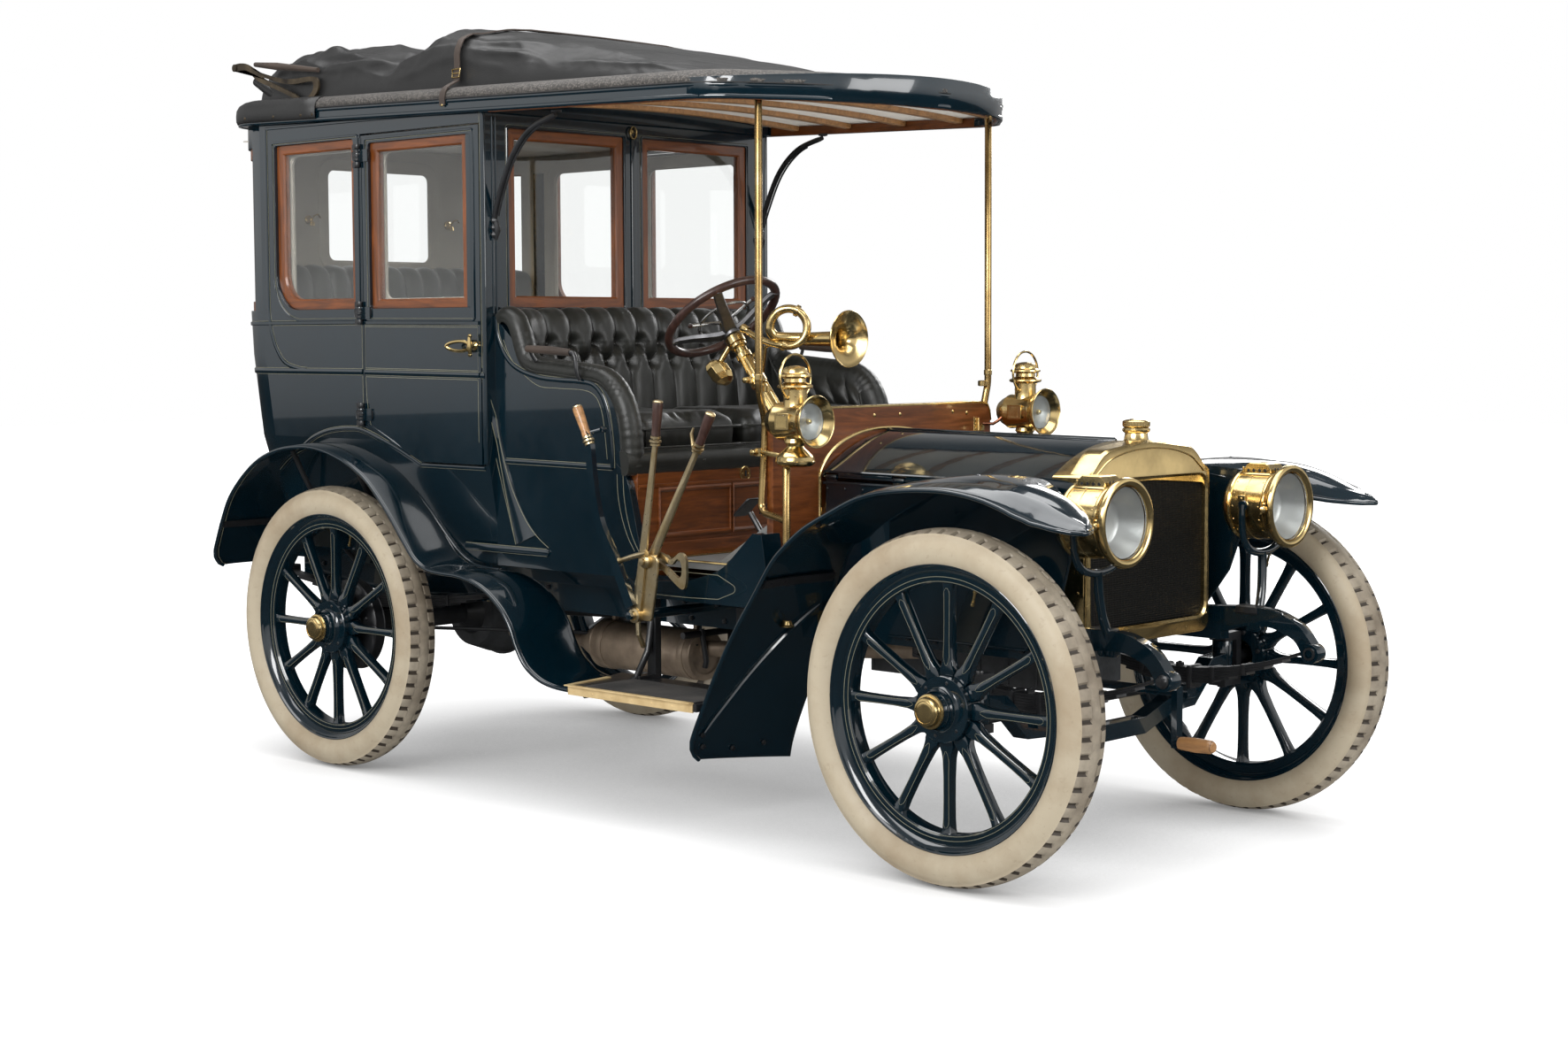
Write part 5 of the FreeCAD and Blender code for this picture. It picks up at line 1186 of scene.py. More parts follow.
def tuft(y, z, pitch, deep):
    """Height of buttoned leather: flutes above, diamonds between the button rows, flutes below."""
    u = (y - BUTTON_Y) / pitch
    whole = abs(u - round(u))
    if z >= ROW_HIGH:
        crease = whole * pitch
    elif z <= ROW_LOW:
        crease = (0.5 - whole) * pitch
    else:
        t = (ROW_HIGH - z) / (ROW_HIGH - ROW_LOW)
        crease = abs(whole - t / 2) * pitch * 0.76
    pit_high = math.hypot(whole * pitch, z - ROW_HIGH)
    pit_low = math.hypot((0.5 - whole) * pitch, z - ROW_LOW)
    pit = min(pit_high, pit_low)
    share = min(crease / (pitch * 0.42), 1.0)
    rise = math.sqrt(1 - (1 - share) ** 2)
    near = math.exp(-(pit / 20) ** 2)
    fade = 1.0 if ROW_LOW < z < ROW_HIGH else math.exp(-max(z - ROW_HIGH, ROW_LOW - z, 0) / 130)
    return deep * (rise * (0.45 + 0.55 * fade) * (1 - 0.55 * near) - 0.75 * near
                   + 0.07 * noise.noise(Vector((y / 34, z / 60, 3.1))))


def seat_back():
    """The driver's seat back: buttoned and fluted, rolled over the top."""
    work = Work()
    pitch = sizes().button_gap / MM * 0.97
    knots = [(836, 1150), (838, 1190), (834, 1240), (826, 1300), (818, 1350), (812, 1400), (806, 1440),
             (796, 1474), (776, 1496), (750, 1506), (728, 1500), (717, 1484), (714, 1440), (714, 1300)]
    line = curve(knots, 9)
    rows = []
    count = 200
    for i, (p, along) in enumerate(zip(line, headings(line))):
        out = Vector((along.y, -along.x))
        row = []
        travelled = i / (len(line) - 1)
        fade = 1.0 if travelled < 0.66 else max(0.0, 1 - (travelled - 0.66) / 0.2)
        for k in range(count + 1):
            y = lerp(-BACK_HALF, BACK_HALF, k / count)
            z = p.y if p.x > 770 else 1496 + (776 - p.x) * 1.2
            height = tuft(y, z, pitch, 24) * fade
            crown = 8 * math.cos(min(abs(y) / BACK_HALF, 1) * math.pi / 2) if p.y > 1380 else 0
            side = max(abs(y) - 500, 0) / 60
            bend = side ** 2 * 26
            q = p + out * (height - 4)
            row.append((q.x + bend, y, q.y + crown - side * 3))
        rows.append(row)
    work.skin(rows, 0)
    # buttons
    for z, shift, x in ((ROW_HIGH, 0.0, 798), (ROW_LOW, 0.5, 808)):
        for k in range(-2, 12):
            y = BUTTON_Y + (k + shift) * pitch
            if abs(y) < BACK_HALF - 24:
                work.turned(((-2, 8), (2, 7.5), (4.5, 5), (5.5, TIP)), (x, y, z), (1, 0, 0.2), 0, 12)
    # piping along the top of the back
    shares = [lerp(-1, 1, k / 60) for k in range(61)]
    work.tube([(716, share * BACK_HALF, 1490 + 8 * math.cos(share * math.pi / 2)) for share in shares],
              4, 0, 8)
    return work.piece("seat_back", "car", "seat_leather", ("driver_seat_back",), "black_leather", sharp=60,
                      keep_open=True)


ARM_LINE = ((720, 1490), (738, 1502), (768, 1500), (800, 1478), (820, 1440), (838, 1392), (858, 1360),
            (900, 1345), (980, 1338), (1060, 1331), (1130, 1325), (1190, 1316), (1236, 1292), (1270, 1256),
            (1294, 1212), (1310, 1150), (1316, 1090), (1318, 1038))
# (y, height over the arm line, share of the gathers) round the roll
ARM_ROLL = ((603, -30, 0.3), (606, -18, 0.6), (606, -6, 0.9), (601, 6, 1), (592, 14, 1), (580, 19, 1),
            (566, 20, 1), (553, 16, 1), (542, 8, 1), (534, -4, 0.9), (529, -18, 0.7), (527, -34, 0.5))


def seat_arm(side, out):
    """A rolled arm over the seat's side panel, gathered along the roll and pleated inside."""
    work = Work()
    line = curve(ARM_LINE, 12)
    total = sum((b - a).length for a, b in zip(line, line[1:]))
    rows, run = [], 0.0
    for i, (p, along) in enumerate(zip(line, headings(line))):
        if i:
            run += (p - line[i - 1]).length
        share = run / total
        up = Vector((-along.y, along.x))
        gather = 0.0
        if run > 130:
            gather = 0.55 * math.sin(run * 0.27 + 1.2 * math.sin(run * 0.05))
            gather += 0.8 * noise.noise(Vector((run / 14, 0, 7)))
        low = Vector((lerp(872, 1312, min(share * 1.25, 1)), lerp(1186, 1100, share ** 3)))
        row = []
        for y, h, weight in ARM_ROLL:
            swell = gather * weight * (1 if h > -10 else 0.8)
            q = p + up * (h + swell * 0.7)
            row.append((q.x, y + (swell * 0.5 if y > 580 else -swell * 0.4), q.y))
        start = p + up * -34
        for k in range(1, 11):
            t = k / 10
            q = start.lerp(low, t)
            puff = 12 * math.sin(math.pi * t)
            pleat = abs(math.sin(math.pi * run / 92.0)) ** 0.6 * 13 if run > 100 else 0
            fold = pleat * math.sin(math.pi * min(t * 1.15, 1))
            row.append((q.x, 527 - puff * 0.4 - fold - t * 6, q.y))
        rows.append(row)
    work.skin(rows, 0)
    # closed front of the roll
    tip = rows[-1][:len(ARM_ROLL)]
    middle = Vector((1322, 566, 1045))
    work.skin([tip, [Vector(p).lerp(middle, 0.55) + Vector((3, 0, -3)) for p in tip], [middle] * len(tip)], 0)
    # piping between the leather and the painted panel
    work.tube([(p.x, 603, p.y - 24) if p.x < 1290 else (p.x - 24, 603, p.y) for p in line[14::3]], 3.2, 0, 8)
    flip(work, out)
    return work.piece(f"seat_arm_{side}", "car", "seat_leather", (), "black_leather", sharp=60,
                      keep_open=True)


def pillow(name, low, high, radius, crown, finish="seat_leather", stands_for=(), voxel=9.0):
    """A stuffed cushion: a soft box blown up by a cloth simulation, then smoothed."""
    work = Work()
    (x0, y0, z0), (x1, y1, z1) = low, high
    levels = 7
    outline = box_outline(x0, y0, x1, y1, radius, 5)
    rows = []
    for k in range(levels + 1):
        t = k / levels
        pinch = radius * 0.35 * (1 - math.sin(math.pi * t) ** 0.5)
        rows.append([(p.x, p.y, lerp(z0, z1, t)) for p in inset(outline, pinch)])
    work.skin(rows, 0, wrap=True, ends=True)
    thing = work.piece(name, "car", finish, stands_for, "black_leather", sharp=75)
    thing.data = cloth_puffed(thing, voxel, crown)
    return thing


def cloth_puffed(thing, voxel, crown):
    mesh = thing.data
    remesh = thing.modifiers.new("voxels", "REMESH")
    remesh.mode = "VOXEL"
    remesh.voxel_size = voxel * MM
    bpy.context.view_layer.update()
    even = bpy.data.meshes.new_from_object(thing.evaluated_get(bpy.context.evaluated_depsgraph_get()))
    thing.modifiers.remove(remesh)
    thing.data = even
    rest = [v.co.copy() for v in even.vertices]
    cloth = thing.modifiers.new("stuffing", "CLOTH")
    settings = cloth.settings
    settings.quality = 4
    settings.mass = 0.4
    settings.tension_stiffness = settings.compression_stiffness = 40
    settings.shear_stiffness = 20
    settings.bending_stiffness = 2.0
    settings.use_pressure = True
    settings.uniform_pressure_force = 4.0
    settings.effector_weights.gravity = 0.0
    cloth.collision_settings.use_self_collision = False
    cloth.point_cache.frame_start, cloth.point_cache.frame_end = 1, 20
    scene = bpy.context.scene
    for frame_number in range(1, 21):
        scene.frame_set(frame_number)
    blown = bpy.data.meshes.new_from_object(thing.evaluated_get(bpy.context.evaluated_depsgraph_get()))
    thing.modifiers.remove(cloth)
    scene.frame_set(1)
    limit = crown * MM
    for v, start in zip(blown.vertices, rest):
        move = v.co - start
        if move.length > limit:
            v.co = start + move * (limit / move.length)
    even = blown
    even.polygons.foreach_set("use_smooth", [True] * len(even.polygons))
    even.materials.clear()
    for material in mesh.materials:
        even.materials.append(material)
    return even


def piped_edge(work, low, high, radius, z, bulge):
    """Piping round a cushion at one height."""
    (x0, y0, _), (x1, y1, _) = low, high
    outline = box_outline(x0, y0, x1, y1, radius)
    work.tube([(p.x, p.y, z) for p in inset(outline, -bulge)], 3.6, 0, 8, closed=True)


def driver_cushions():
    """Two piped cushions and the leather valance in front of the seat board."""
    spans = ((-566, -104), (-100, 566))
    for k, (y0, y1) in enumerate(spans):
        low, high = (CUSHION_BACK, y0 + 5, CUSHION_LOW), (CUSHION_FRONT, y1 - 5, CUSHION_TOP)
        crown = sizes().cushion / MM
        cushion = pillow(f"seat_cushion_{k + 1}", low, high, 42, crown, stands_for=("driver_seat_cushion",))
        settle_top(cushion, y0, y1)
        work = Work()
        for z in (1150, 1094):
            piped_edge(work, low, high, 42, z, 7.5)
        work.piece(f"cushion_piping_{k + 1}", "car", "seat_leather", (), "black_leather", sharp=70)
    work = Work()
    # valance: a soft roll of leather over the seat board's front
    section = ((1296, 1086), (1322, 1085), (1334, 1074), (1338, 1052), (1336, 1030), (1330, 1018),
               (1318, 1014), (1306, 1016))
    rows = []
    for k in range(81):
        y = lerp(-606, 606, k / 80)
        wave = 1.2 * noise.noise(Vector((y / 60, 0, 1))) + 0.8 * noise.noise(Vector((y / 17, 0, 5)))
        out = max(abs(y) - 560, 0) / 46
        rows.append([(x + wave - out * out * 8, y + math.copysign(out * 4, y), z) for x, z in section])
    work.skin(rows, 0, wrap=True, ends=True)
    for y in (-300, 40, 330):
        work.studs([(1337, y, 1050)], (1, 0, 0), 5, 3)
    work.piece("seat_valance", "car", "seat_leather", (), "black_leather", sharp=50)
    # seat box between cushion and board
    work = Work()
    work.block((862, -572, 1034), (1312, 572, 1092), 0, 6)
    work.piece("seat_base_pad", "car", "seat_leather", (), "black_leather")


def settle_top(thing, y0, y1):
    """Soft sitting hollows and creases on a cushion's top."""
    middle = (y0 + y1) / 2
    for v in thing.data.vertices:
        x, y, z = (v.co.x - AXLE) / MM, v.co.y / MM, v.co.z / MM
        if z > 1150:
            edge = min((x - CUSHION_BACK) / 60, (CUSHION_FRONT - x) / 60, (y - y0) / 60, (y1 - y) / 60, 1.0)
            fold = noise.noise(Vector((x / 120, y / 45, 2.0))) * 3.2
            fold += noise.noise(Vector((x / 40, y / 24, 9.0))) * 1.2
            hollow = 4 * math.exp(-((x - 1080) / 170) ** 2 - ((y - middle) / 170) ** 2)
            v.co.z += (fold * max(edge, 0) - hollow) * MM
        if x > 1290 and z < 1165:
            v.co.x += 1.6 * MM * noise.noise(Vector((y / 26, z / 40, 4.0)))
    thing.data.update()


def arm_rails():
    """The round hand rail on each arm."""
    work = Work()
    work.tube([(889, 620, 1390), (1000, 620, 1385), (1088, 620, 1379)],
              ((0, 11), (0.04, 13.5), (0.96, 13.5), (1, 11)), 0, 16)
    work.tube([(1084, 620, 1379), (1100, 620, 1377), (1107, 620, 1366), (1112, 620, 1335), (1116, 618, 1310),
               (1118, 610, 1298)], ((0, 9), (0.5, 6.5), (1, 6.5)), 1, 12)
    work.turned(((0, 13), (3, 13), (5, 9)), (1118, 598, 1296), (0, 1, 0), 1, 14)
    work.tube([(900, 620, 1388), (902, 612, 1370), (905, 600, 1352)], 6, 1, 10)
    work.mirror()
    work.piece("arm_rails", "car", ("strap_leather", "black_iron"), (), "black_iron")


def rear_bench():
    """The bench in the cabin: pleated back with a rolled top, and a plain cushion."""
    work = Work()
    knots = [(-480, 1240), (-478, 1330), (-486, 1440), (-492, 1540), (-500, 1620), (-520, 1660), (-556, 1674),
             (-590, 1664), (-606, 1630), (-610, 1540)]
    line = curve(knots, 6)
    rows = []
    for p, along in zip(line, headings(line)):
        out = Vector((along.y, -along.x))
        row = []
        for k in range(141):
            y = lerp(-BACK_HALF, BACK_HALF, k / 140)
            flute = (abs(math.sin(math.pi * y / 82.0)) ** 0.55) * 15
            corner = max(abs(y) - 400, 0) / 160
            q = p + out * (flute - 4)
            row.append((q.x + corner ** 2 * 46, y, q.y - corner * 4))
        rows.append(row)
    work.skin(rows, 0)
    back = work.piece("bench_back", "car", "bench_leather", ("rear_seat",), "black_leather", sharp=60,
                      keep_open=True)
    pillow("bench_cushion", (-470, -560, 1180), (30, 560, 1270), 44, 26, finish="bench_leather", voxel=12.0)
    work = Work()
    work.block((-480, -566, 1040), (20, 566, 1182), 0, 8)
    work.piece("bench_box", "car", "bench_leather", (), "black_leather")


def build_seats():
    """The driver's padded back, arms and cushions, the hand rails and the bench in the cabin."""
    seat_back()
    for side, out in SIDES:
        seat_arm(side, out)
    driver_cushions()
    arm_rails()
    rear_bench()


# ---- roof and hood --------------------------------------------------------------------------

def roof_low(x):
    """Underside of the roof at a place along the car."""
    return 2141.3 - x * math.tan(math.radians(1.52))


ROOF_HALF, ROOF_CORNER = 666.0, 220.0


def roof_outline(extra=0.0, steps=10):
    """Half the roof's plan from the tail's middle to the nose's, as (x, y)."""
    tail, side, corner = -712 - extra, ROOF_HALF + extra, ROOF_CORNER + extra
    line = [Vector((tail, lerp(0, side - corner, k / 4))) for k in range(4)]
    for k in range(steps + 1):
        a = math.radians(180 - 90 * k / steps)
        line.append(Vector((tail + corner + corner * math.cos(a), side - corner + corner * math.sin(a))))
    line += [Vector((x, side)) for x in (-200, 100, 400, 700, 1000, 1300, 1500)]
    nose = curve([(1640, side), (1735, side - 36), (1801, 559 + extra * 0.6), (1905, 430), (1985, 250),
                  (2036 + extra, 0)], 5)
    return line + nose


def roof_mouldings():
    """Two steps round the painted roof edge, and the pebbled cloth rounding up from it."""
    work = Work()
    half = roof_outline(0.0)
    whole = half + [Vector((p.x, -p.y)) for p in reversed(half[1:-1])]

    def ring(push, up):
        line = inset(whole, push) if push else whole
        return [(p.x, p.y, roof_low(p.x) + up) for p in line]
    area = sum(a.x * b.y - a.y * b.x for a, b in zip(whole, whole[1:] + whole[:1]))
    s = 1 if area > 0 else -1
    profile = ((6, -1.5), (-2.5, -1.5), (-4, 1), (-4, 9), (-2.5, 11.5), (0.5, 12), (0.5, 30), (-1.5, 31),
               (-3.5, 34), (-3.5, 40), (-1.5, 43), (6, 43.5))
    work.skin([ring(s * push, up) for push, up in profile], 0, wrap=True)
    work.piece("roof_steps", "car", "coach_paint", (), "body_blue", sharp=50)
    work = Work()
    pebble = ((1, 42), (-2, 46), (-2.5, 54), (1, 62), (9, 71), (24, 79), (46, 84), (76, 86.5), (110, 88))
    rings = [ring(s * push, up) for push, up in pebble]
    for push, share, up in ((112, 0.8, 90.5), (115, 0.4, 97), (118, 0.0, 100)):
        rings.append([(x, y * share, roof_low(x) + up) for x, y, _ in ring(s * push, 88)])
    work.skin(rings, 0, wrap=True)
    work.piece("roof_cloth", "car", "roof_cloth", (), "black_leather", sharp=60)
    # a thin lighter welt where the cloth meets the paint
    work = Work()
    work.tube(ring(s * -3, 44), 2.4, 0, 6, closed=True)
    work.piece("roof_welt", "car", "hood_leather", (), "black_leather")


# (x, top, underside, half width) of the folded hood
HOOD = ((-700, 2318, 2196, 452), (-668, 2352, 2196, 500), (-600, 2392, 2196, 548), (-500, 2410, 2196, 580),
        (-350, 2416, 2198, 604), (-200, 2416, 2200, 612), (-60, 2404, 2202, 612), (70, 2388, 2202, 612),
        (200, 2370, 2200, 612), (330, 2364, 2197, 610), (420, 2428, 2194, 606), (520, 2420, 2190, 600),
        (700, 2392, 2184, 590), (900, 2356, 2178, 578), (1100, 2316, 2172, 566), (1180, 2298, 2170, 560),
        (1350, 2262, 2164, 545), (1550, 2222, 2160, 522), (1720, 2190, 2157, 500), (1800, 2172, 2156, 486))

# (x, share across, x, share across, height, width) of each sharp crease
CREASES = ((545, 0.10, 180, 0.04, 20, 0.034), (545, 0.13, 210, 0.15, 22, 0.03),
           (545, 0.17, 260, 0.27, 20, 0.03), (545, 0.2, 360, 0.4, 16, 0.03),
           (545, 0.09, 780, 0.05, 18, 0.03), (545, 0.13, 860, 0.14, 18, 0.028),
           (545, 0.18, 900, 0.26, 16, 0.03), (560, 0.24, 820, 0.42, 12, 0.035),
           (-640, 0.2, -150, 0.13, 22, 0.034), (-520, 0.3, 60, 0.22, 22, 0.032),
           (-420, 0.4, 120, 0.36, 18, 0.035), (-560, 0.1, -250, 0.05, 20, 0.03),
           (-150, 0.1, 220, 0.2, 20, 0.03), (-240, 0.48, 200, 0.3, 16, 0.035),
           (900, 0.3, 1300, 0.24, 10, 0.03), (300, 0.1, 430, 0.34, 18, 0.03),
           (-330, 0.16, -120, 0.3, 18, 0.028), (1000, 0.12, 1500, 0.16, 8, 0.03))


def crease_height(x, share):
    """Sharp gathered creases, most of them running out from the strap."""
    total = 0.0
    for x0, s0, x1, s1, height, width in CREASES:
        a, b = Vector((x0 / 1400, s0)), Vector((x1 / 1400, s1))
        p, way = Vector((x / 1400, share)), b - a
        t = min(max((p - a).dot(way) / way.length_squared, 0.0), 1.0)
        away = (p - a - way * t).length / width
        if away < 3:
            total += (2.2 * height * math.exp(-away ** 1.35) * min(1.0, 5 * (1 - t) + 0.05)
                      * min(1.0, 0.45 + 4 * t))
    return total


def hood_height(x, share):
    """Loose folds of the hood: soft swells and sharp creases."""
    v = Vector((x / 150, share * 2.6, 0.3))
    big = noise.noise(v) * 12 + noise.noise(v * 2.3 + Vector((3, 1, 0))) * 6
    if x < 330:
        ridge = math.sin(share * 15 + x / 130 + 1.6 * noise.noise(Vector((x / 180, 0, 2)))) * 6
    else:
        ridge = math.sin(share * 7 - x / 260) * 2.4
        big *= 0.45
    line = 1 - abs(noise.noise(Vector((x / 230 + share * 2.6, share * 5.5 - x / 420, 5.0)))) * 2.4
    second = 1 - abs(noise.noise(Vector((x / 150 - share * 3, share * 8 + x / 600, 9.0)))) * 2.6
    crisp = max(0.0, line) ** 4 * 13 + max(0.0, second) ** 4 * 6
    return big + ridge + crease_height(x, share) + crisp * (1.0 if x < 560 else 0.6) - 12


def hood_point(x, share, fade):
    """A point of the hood, share running from one side over the top to the other."""
    top, low, half = table(HOOD, x)
    a = math.pi * share
    c, s = math.cos(a), math.sin(a)
    y = half * math.copysign(abs(c) ** 0.42, c)
    rise = s ** 0.62
    h = hood_height(x, share if share < 0.5 else 1 - share) * fade
    z = low + (top - low) * rise + h * (0.75 - 0.45 * rise)
    y += math.copysign(min(abs(h), 24) * (1 - rise ** 2) * fade, y) * (1 if h > 0 else -1)
    return Vector((x, max(-half - 20, min(half + 20, y)), max(z, low)))


def hood():
    """The folded leather hood on the roof, with soft folds."""
    work = Work()
    rows = []
    xs = [p[0] for p in HOOD]
    steps, count = 200, 88
    for i in range(steps + 1):
        x = lerp(xs[0], xs[-1], i / steps)
        tail = min(1, 8 * min(i, steps - i) / steps + 0.1)
        rows.append([hood_point(x, k / count, min(1, 6 * min(k, count - k) / count) * tail)
                     for k in range(count + 1)])
    work.skin(rows, 0)
    for row, way in ((rows[0], -1), (rows[-1], 1)):
        middle = sum((Vector(p) for p in row), Vector()) / len(row)
        work.skin([row, [Vector(p).lerp(middle, 0.4) + Vector((way * 6, 0, -4)) for p in row],
                   [middle + Vector((way * 6, 0, -8))] * len(row)], 0)
    work.piece("folded_hood", "car", "hood_leather", ("roof_cover",), "black_leather", sharp=70,
               subdivide=1, keep_open=True)


def ribbon_over(work, x, width, kind=0, low_z=2152, lift=8.0, lean=0.0):
    """A strap over the hood at one place along the car, from edge to edge."""
    line = []
    for k in range(49):
        share = k / 48
        p = hood_point(x, share, min(1, 6 * min(share, 1 - share)))
        c, s = math.cos(math.pi * share), math.sin(math.pi * share)
        line.append(p + Vector((lean * abs(c), 14 * c, lift * s)))
    line = [p for p in line if p.z > 2226]
    feet = [[Vector((x + lean * 1.1, side * y, z)) for y, z in
             ((ROOF_HALF + 5, low_z), (ROOF_HALF + 6, 2170), (ROOF_HALF + 3, 2190), (658, 2206), (641, 2216))]
            for side in (1, -1)]
    line = feet[0] + line + feet[1][::-1]
    middle = Vector((x, 0, 2150))
    spots = [(p, Vector((0, (p - middle).y * 0.7, (p - middle).z + 40)).normalized()) for p in line]
    w = width / 2
    strip(work, spots, ((-1.5, -w), (2.2, -w), (2.8, -w + 2), (2.8, w - 2), (2.2, w), (-1.5, w)), kind)
    return spots


def hood_fittings():
    """Straps, the rear leather flap with its studs, and the hood irons."""
    work = Work()
    spots = ribbon_over(work, 545, 26, 0, 2150, 4, 10)
    for side in (1, -1):
        foot, out = spots[0 if side > 0 else -1]
        lower, away = spots[6 if side > 0 else -7]
        upper, _ = spots[7 if side > 0 else -8]
        rise = (upper - lower).normalized()
        across = rise.cross(away).normalized()
        ring = [lower + across * a + rise * b + away * 4
                for a, b in ((-18, -13), (18, -13), (18, 13), (-18, 13))]
        work.tube(ring, 3, 1, 8, closed=True)
        work.tube([lower - across * 18 + away * 4, lower + across * 18 + away * 4], 2.4, 1, 8)
        work.studs([foot + out * 2], out, 4.5, 3, 1)
    work.piece("hood_strap", "car", ("strap_leather", "brass"), (), "black_leather", sharp=50)

    # leather flap round the rear corner
    work = Work()
    half = [p for p in roof_outline(4.0, 16) if p.x < -110] + [Vector((-112, ROOF_HALF + 4))]
    shape = ((0, 8), (3.5, 16), (4, 34), (2, 52), (-6, 66), (-24, 78), (-44, 84))
    rows = []
    for push, up in shape:
        moved = [p + (p - Vector((-300, 0))).normalized() * push for p in half]
        rows.append([(p.x, p.y, roof_low(p.x) + up) for p in moved])
    work.skin(rows, 0)
    for x in (-513, -345, -188, -124):
        work.studs([(x, roof_half_at(x) + 5, roof_low(x) + 22)], (0, 1, 0.1), 6, 4, 1)
    work.mirror()
    work.piece("hood_flap", "car", ("hood_leather", "dull_brass"), (), "black_leather", sharp=60, thick=3,
               keep_open=True)

    work = Work()
    for side in (1, -1):
        y = side * 622
        loop = [(-650, 2372), (-600, 2376), (-560, 2366), (-500, 2338), (-340, 2302), (-192, 2300),
                (-158, 2284), (-160, 2250), (-200, 2222), (-240, 2206), (-262, 2212), (-300, 2236),
                (-400, 2272), (-500, 2306), (-540, 2330), (-575, 2350), (-650, 2352)]
        slot_line = [(-478, 2318), (-330, 2284), (-200, 2284), (-184, 2274), (-186, 2256), (-212, 2236),
                     (-250, 2230), (-300, 2252), (-400, 2288)]
        outer = spaced(curve(loop, 4, closed=True), 72)
        inner = best_turn(outer, spaced(curve(slot_line, 8, closed=True), 72))
        rows = [[(p.x, d, p.y) for p in line] for line, d in
                ((outer, y - 4), (outer, y + 4), (inner, y + 4), (inner, y - 4))]
        work.skin(rows + rows[:1], 0, wrap=True)
        work.turned(((-6, 13), (0, 14), (5, 12), (8, 8), (15, 12), (19, 9), (21, TIP)),
                    (-235, y + side * 4, 2216), (0, side, 0), 1, 20)
        work.turned(((0, 13), (4, 13), (6, TIP)), (-640, y + side * 3, 2362), (0, side, 0), 0, 16)
        work.turned(((-4, 8), (6, 8), (8, TIP)), (-250, y + side * 3, 2220), (0, side, 0), 0, 12)
        bar = [(x, y - side * 4, z) for x, z in ((-527, 2366), (-400, 2350), (-166, 2320))]
        work.tube(bar, ((0, 8), (0.1, 13), (0.9, 13), (1, 8)), 2, 12)
        work.turned(((0, 17), (60, 19), (130, 18), (140, 6)), (-600, y - side * 60, 2318),
                    (1, 0, -0.5), 3, 16)
    work.piece("hood_irons", "car", ("dull_brass", "brass", "strap_leather", "hood_leather"), ("roof_irons",),
               "black_iron", sharp=35)

    work = Work()
    stay = curve([(714, 600, 1788), (740, 600, 1862), (806, 600, 1985), (895, 600, 2062),
                  (1010, 600, 2096)], 8)
    work.tube(stay, ((0, 7), (0.06, 9), (0.94, 9), (1, 7)), 0, 12)
    work.tube([p + Vector((16, 0, -6)) for p in stay[3:-6]], 3.2, 0, 8)
    for z in (1788, 1766, 1744):
        work.turned(((0, 10), (6, 12), (12, 8), (18, 4), (20, TIP)), (712, 600, z), (1, 0, 0), 0, 14)
    work.tube([(722, 600, 1790), (728, 598, 1760), (724, 600, 1728)], ((0, 7), (0.5, 11), (1, 4)), 0, 10)
    work.turned(((0, 16), (6, 16), (8, 10)), (1012, 600, 2110), (0, 0, -1), 0, 16)
    work.mirror()
    work.piece("roof_stays", "car", "black_iron", (), "black_iron")


def spaced(line, count):
    """A closed outline resampled to a number of even steps."""
    total = [0.0]
    for a, b in zip(line, line[1:] + line[:1]):
        total.append(total[-1] + (b - a).length)
    result, j = [], 0
    for k in range(count):
        want = total[-1] * k / count
        while total[j + 1] < want:
            j += 1
        t = (want - total[j]) / max(total[j + 1] - total[j], 1e-9)
        result.append(line[j].lerp(line[(j + 1) % len(line)], t))
    return result


def best_turn(first, second):
    """The second outline started where it lies nearest the first, point for point."""
    count = len(first)
    options = []
    for line in (second, second[::-1]):
        for k in range(0, count, 2):
            turned_line = line[k:] + line[:k]
            options.append((sum((a - b).length for a, b in zip(first, turned_line)), turned_line))
    return min(options, key=lambda option: option[0])[1]


def roof_half_at(x):
    """How far the roof's edge stands from the middle at a place along the tail."""
    if x > -492:
        return ROOF_HALF
    return ROOF_HALF - ROOF_CORNER + math.sqrt(max(ROOF_CORNER ** 2 - (x + 492) ** 2, 0))


def driver_ceiling():
    """Headlining over the driver: cream panels between brown bows, and a wooden fascia."""
    outline = roof_outline()

    def nose_half(x):
        for a, b in zip(outline, outline[1:]):
            if a.x <= x <= b.x and b.x > a.x:
                return lerp(a.y, b.y, (x - a.x) / (b.x - a.x))
        return ROOF_HALF

    def bow(x, half, up):
        shares = [lerp(-1, 1, k / 24) for k in range(25)]
        return [(x, half * share, roof_low(x) + up + 22 * (1 - share ** 2)) for share in shares]
    work = Work()
    work.skin([bow(x, max(min(nose_half(x) - 34, 630), 1), 30) for x in range(740, 1991, 25)], 0)
    work.piece("driver_ceiling", "car", "ceiling_cloth", (), "floor_grey", thick=3)
    work = Work()
    for x in (860, 1100, 1340, 1580, 1800):
        line = bow(x, min(nose_half(x + 20) - 36, 628), 20)
        work.sweep(line, ((-9, -16), (-9, 16), (7, 16), (9, 13), (9, -13), (7, -16)), 0, up=(0, 0, -1))
    work.piece("ceiling_bows", "car", "light_wood", (), "mahogany")
    work = Work()
    line = []
    for k in range(61):
        x = lerp(740, 2004, k / 60)
        line.append((x, nose_half(x) - 30, roof_low(x) + 12))
    line = [p for p in line if p[1] > 40] + [(2002, 0, roof_low(2002) + 12)]
    back = [(x, -y, z) for x, y, z in reversed(line[:-1])]
    work.sweep(line + back, ((-14, -4), (-14, 4), (20, 4), (20, -4)), 0, up=(0, 0, 1))
    work.piece("roof_fascia", "car", "mahogany", (), "mahogany")


def build_roof():
    """Roof steps, cloth and welt, the folded hood with its fittings, and the driver's headlining."""
    roof_mouldings()
    hood()
    hood_fittings()
    driver_ceiling()


# ---- fenders, boards and chassis ------------------------------------------------------------

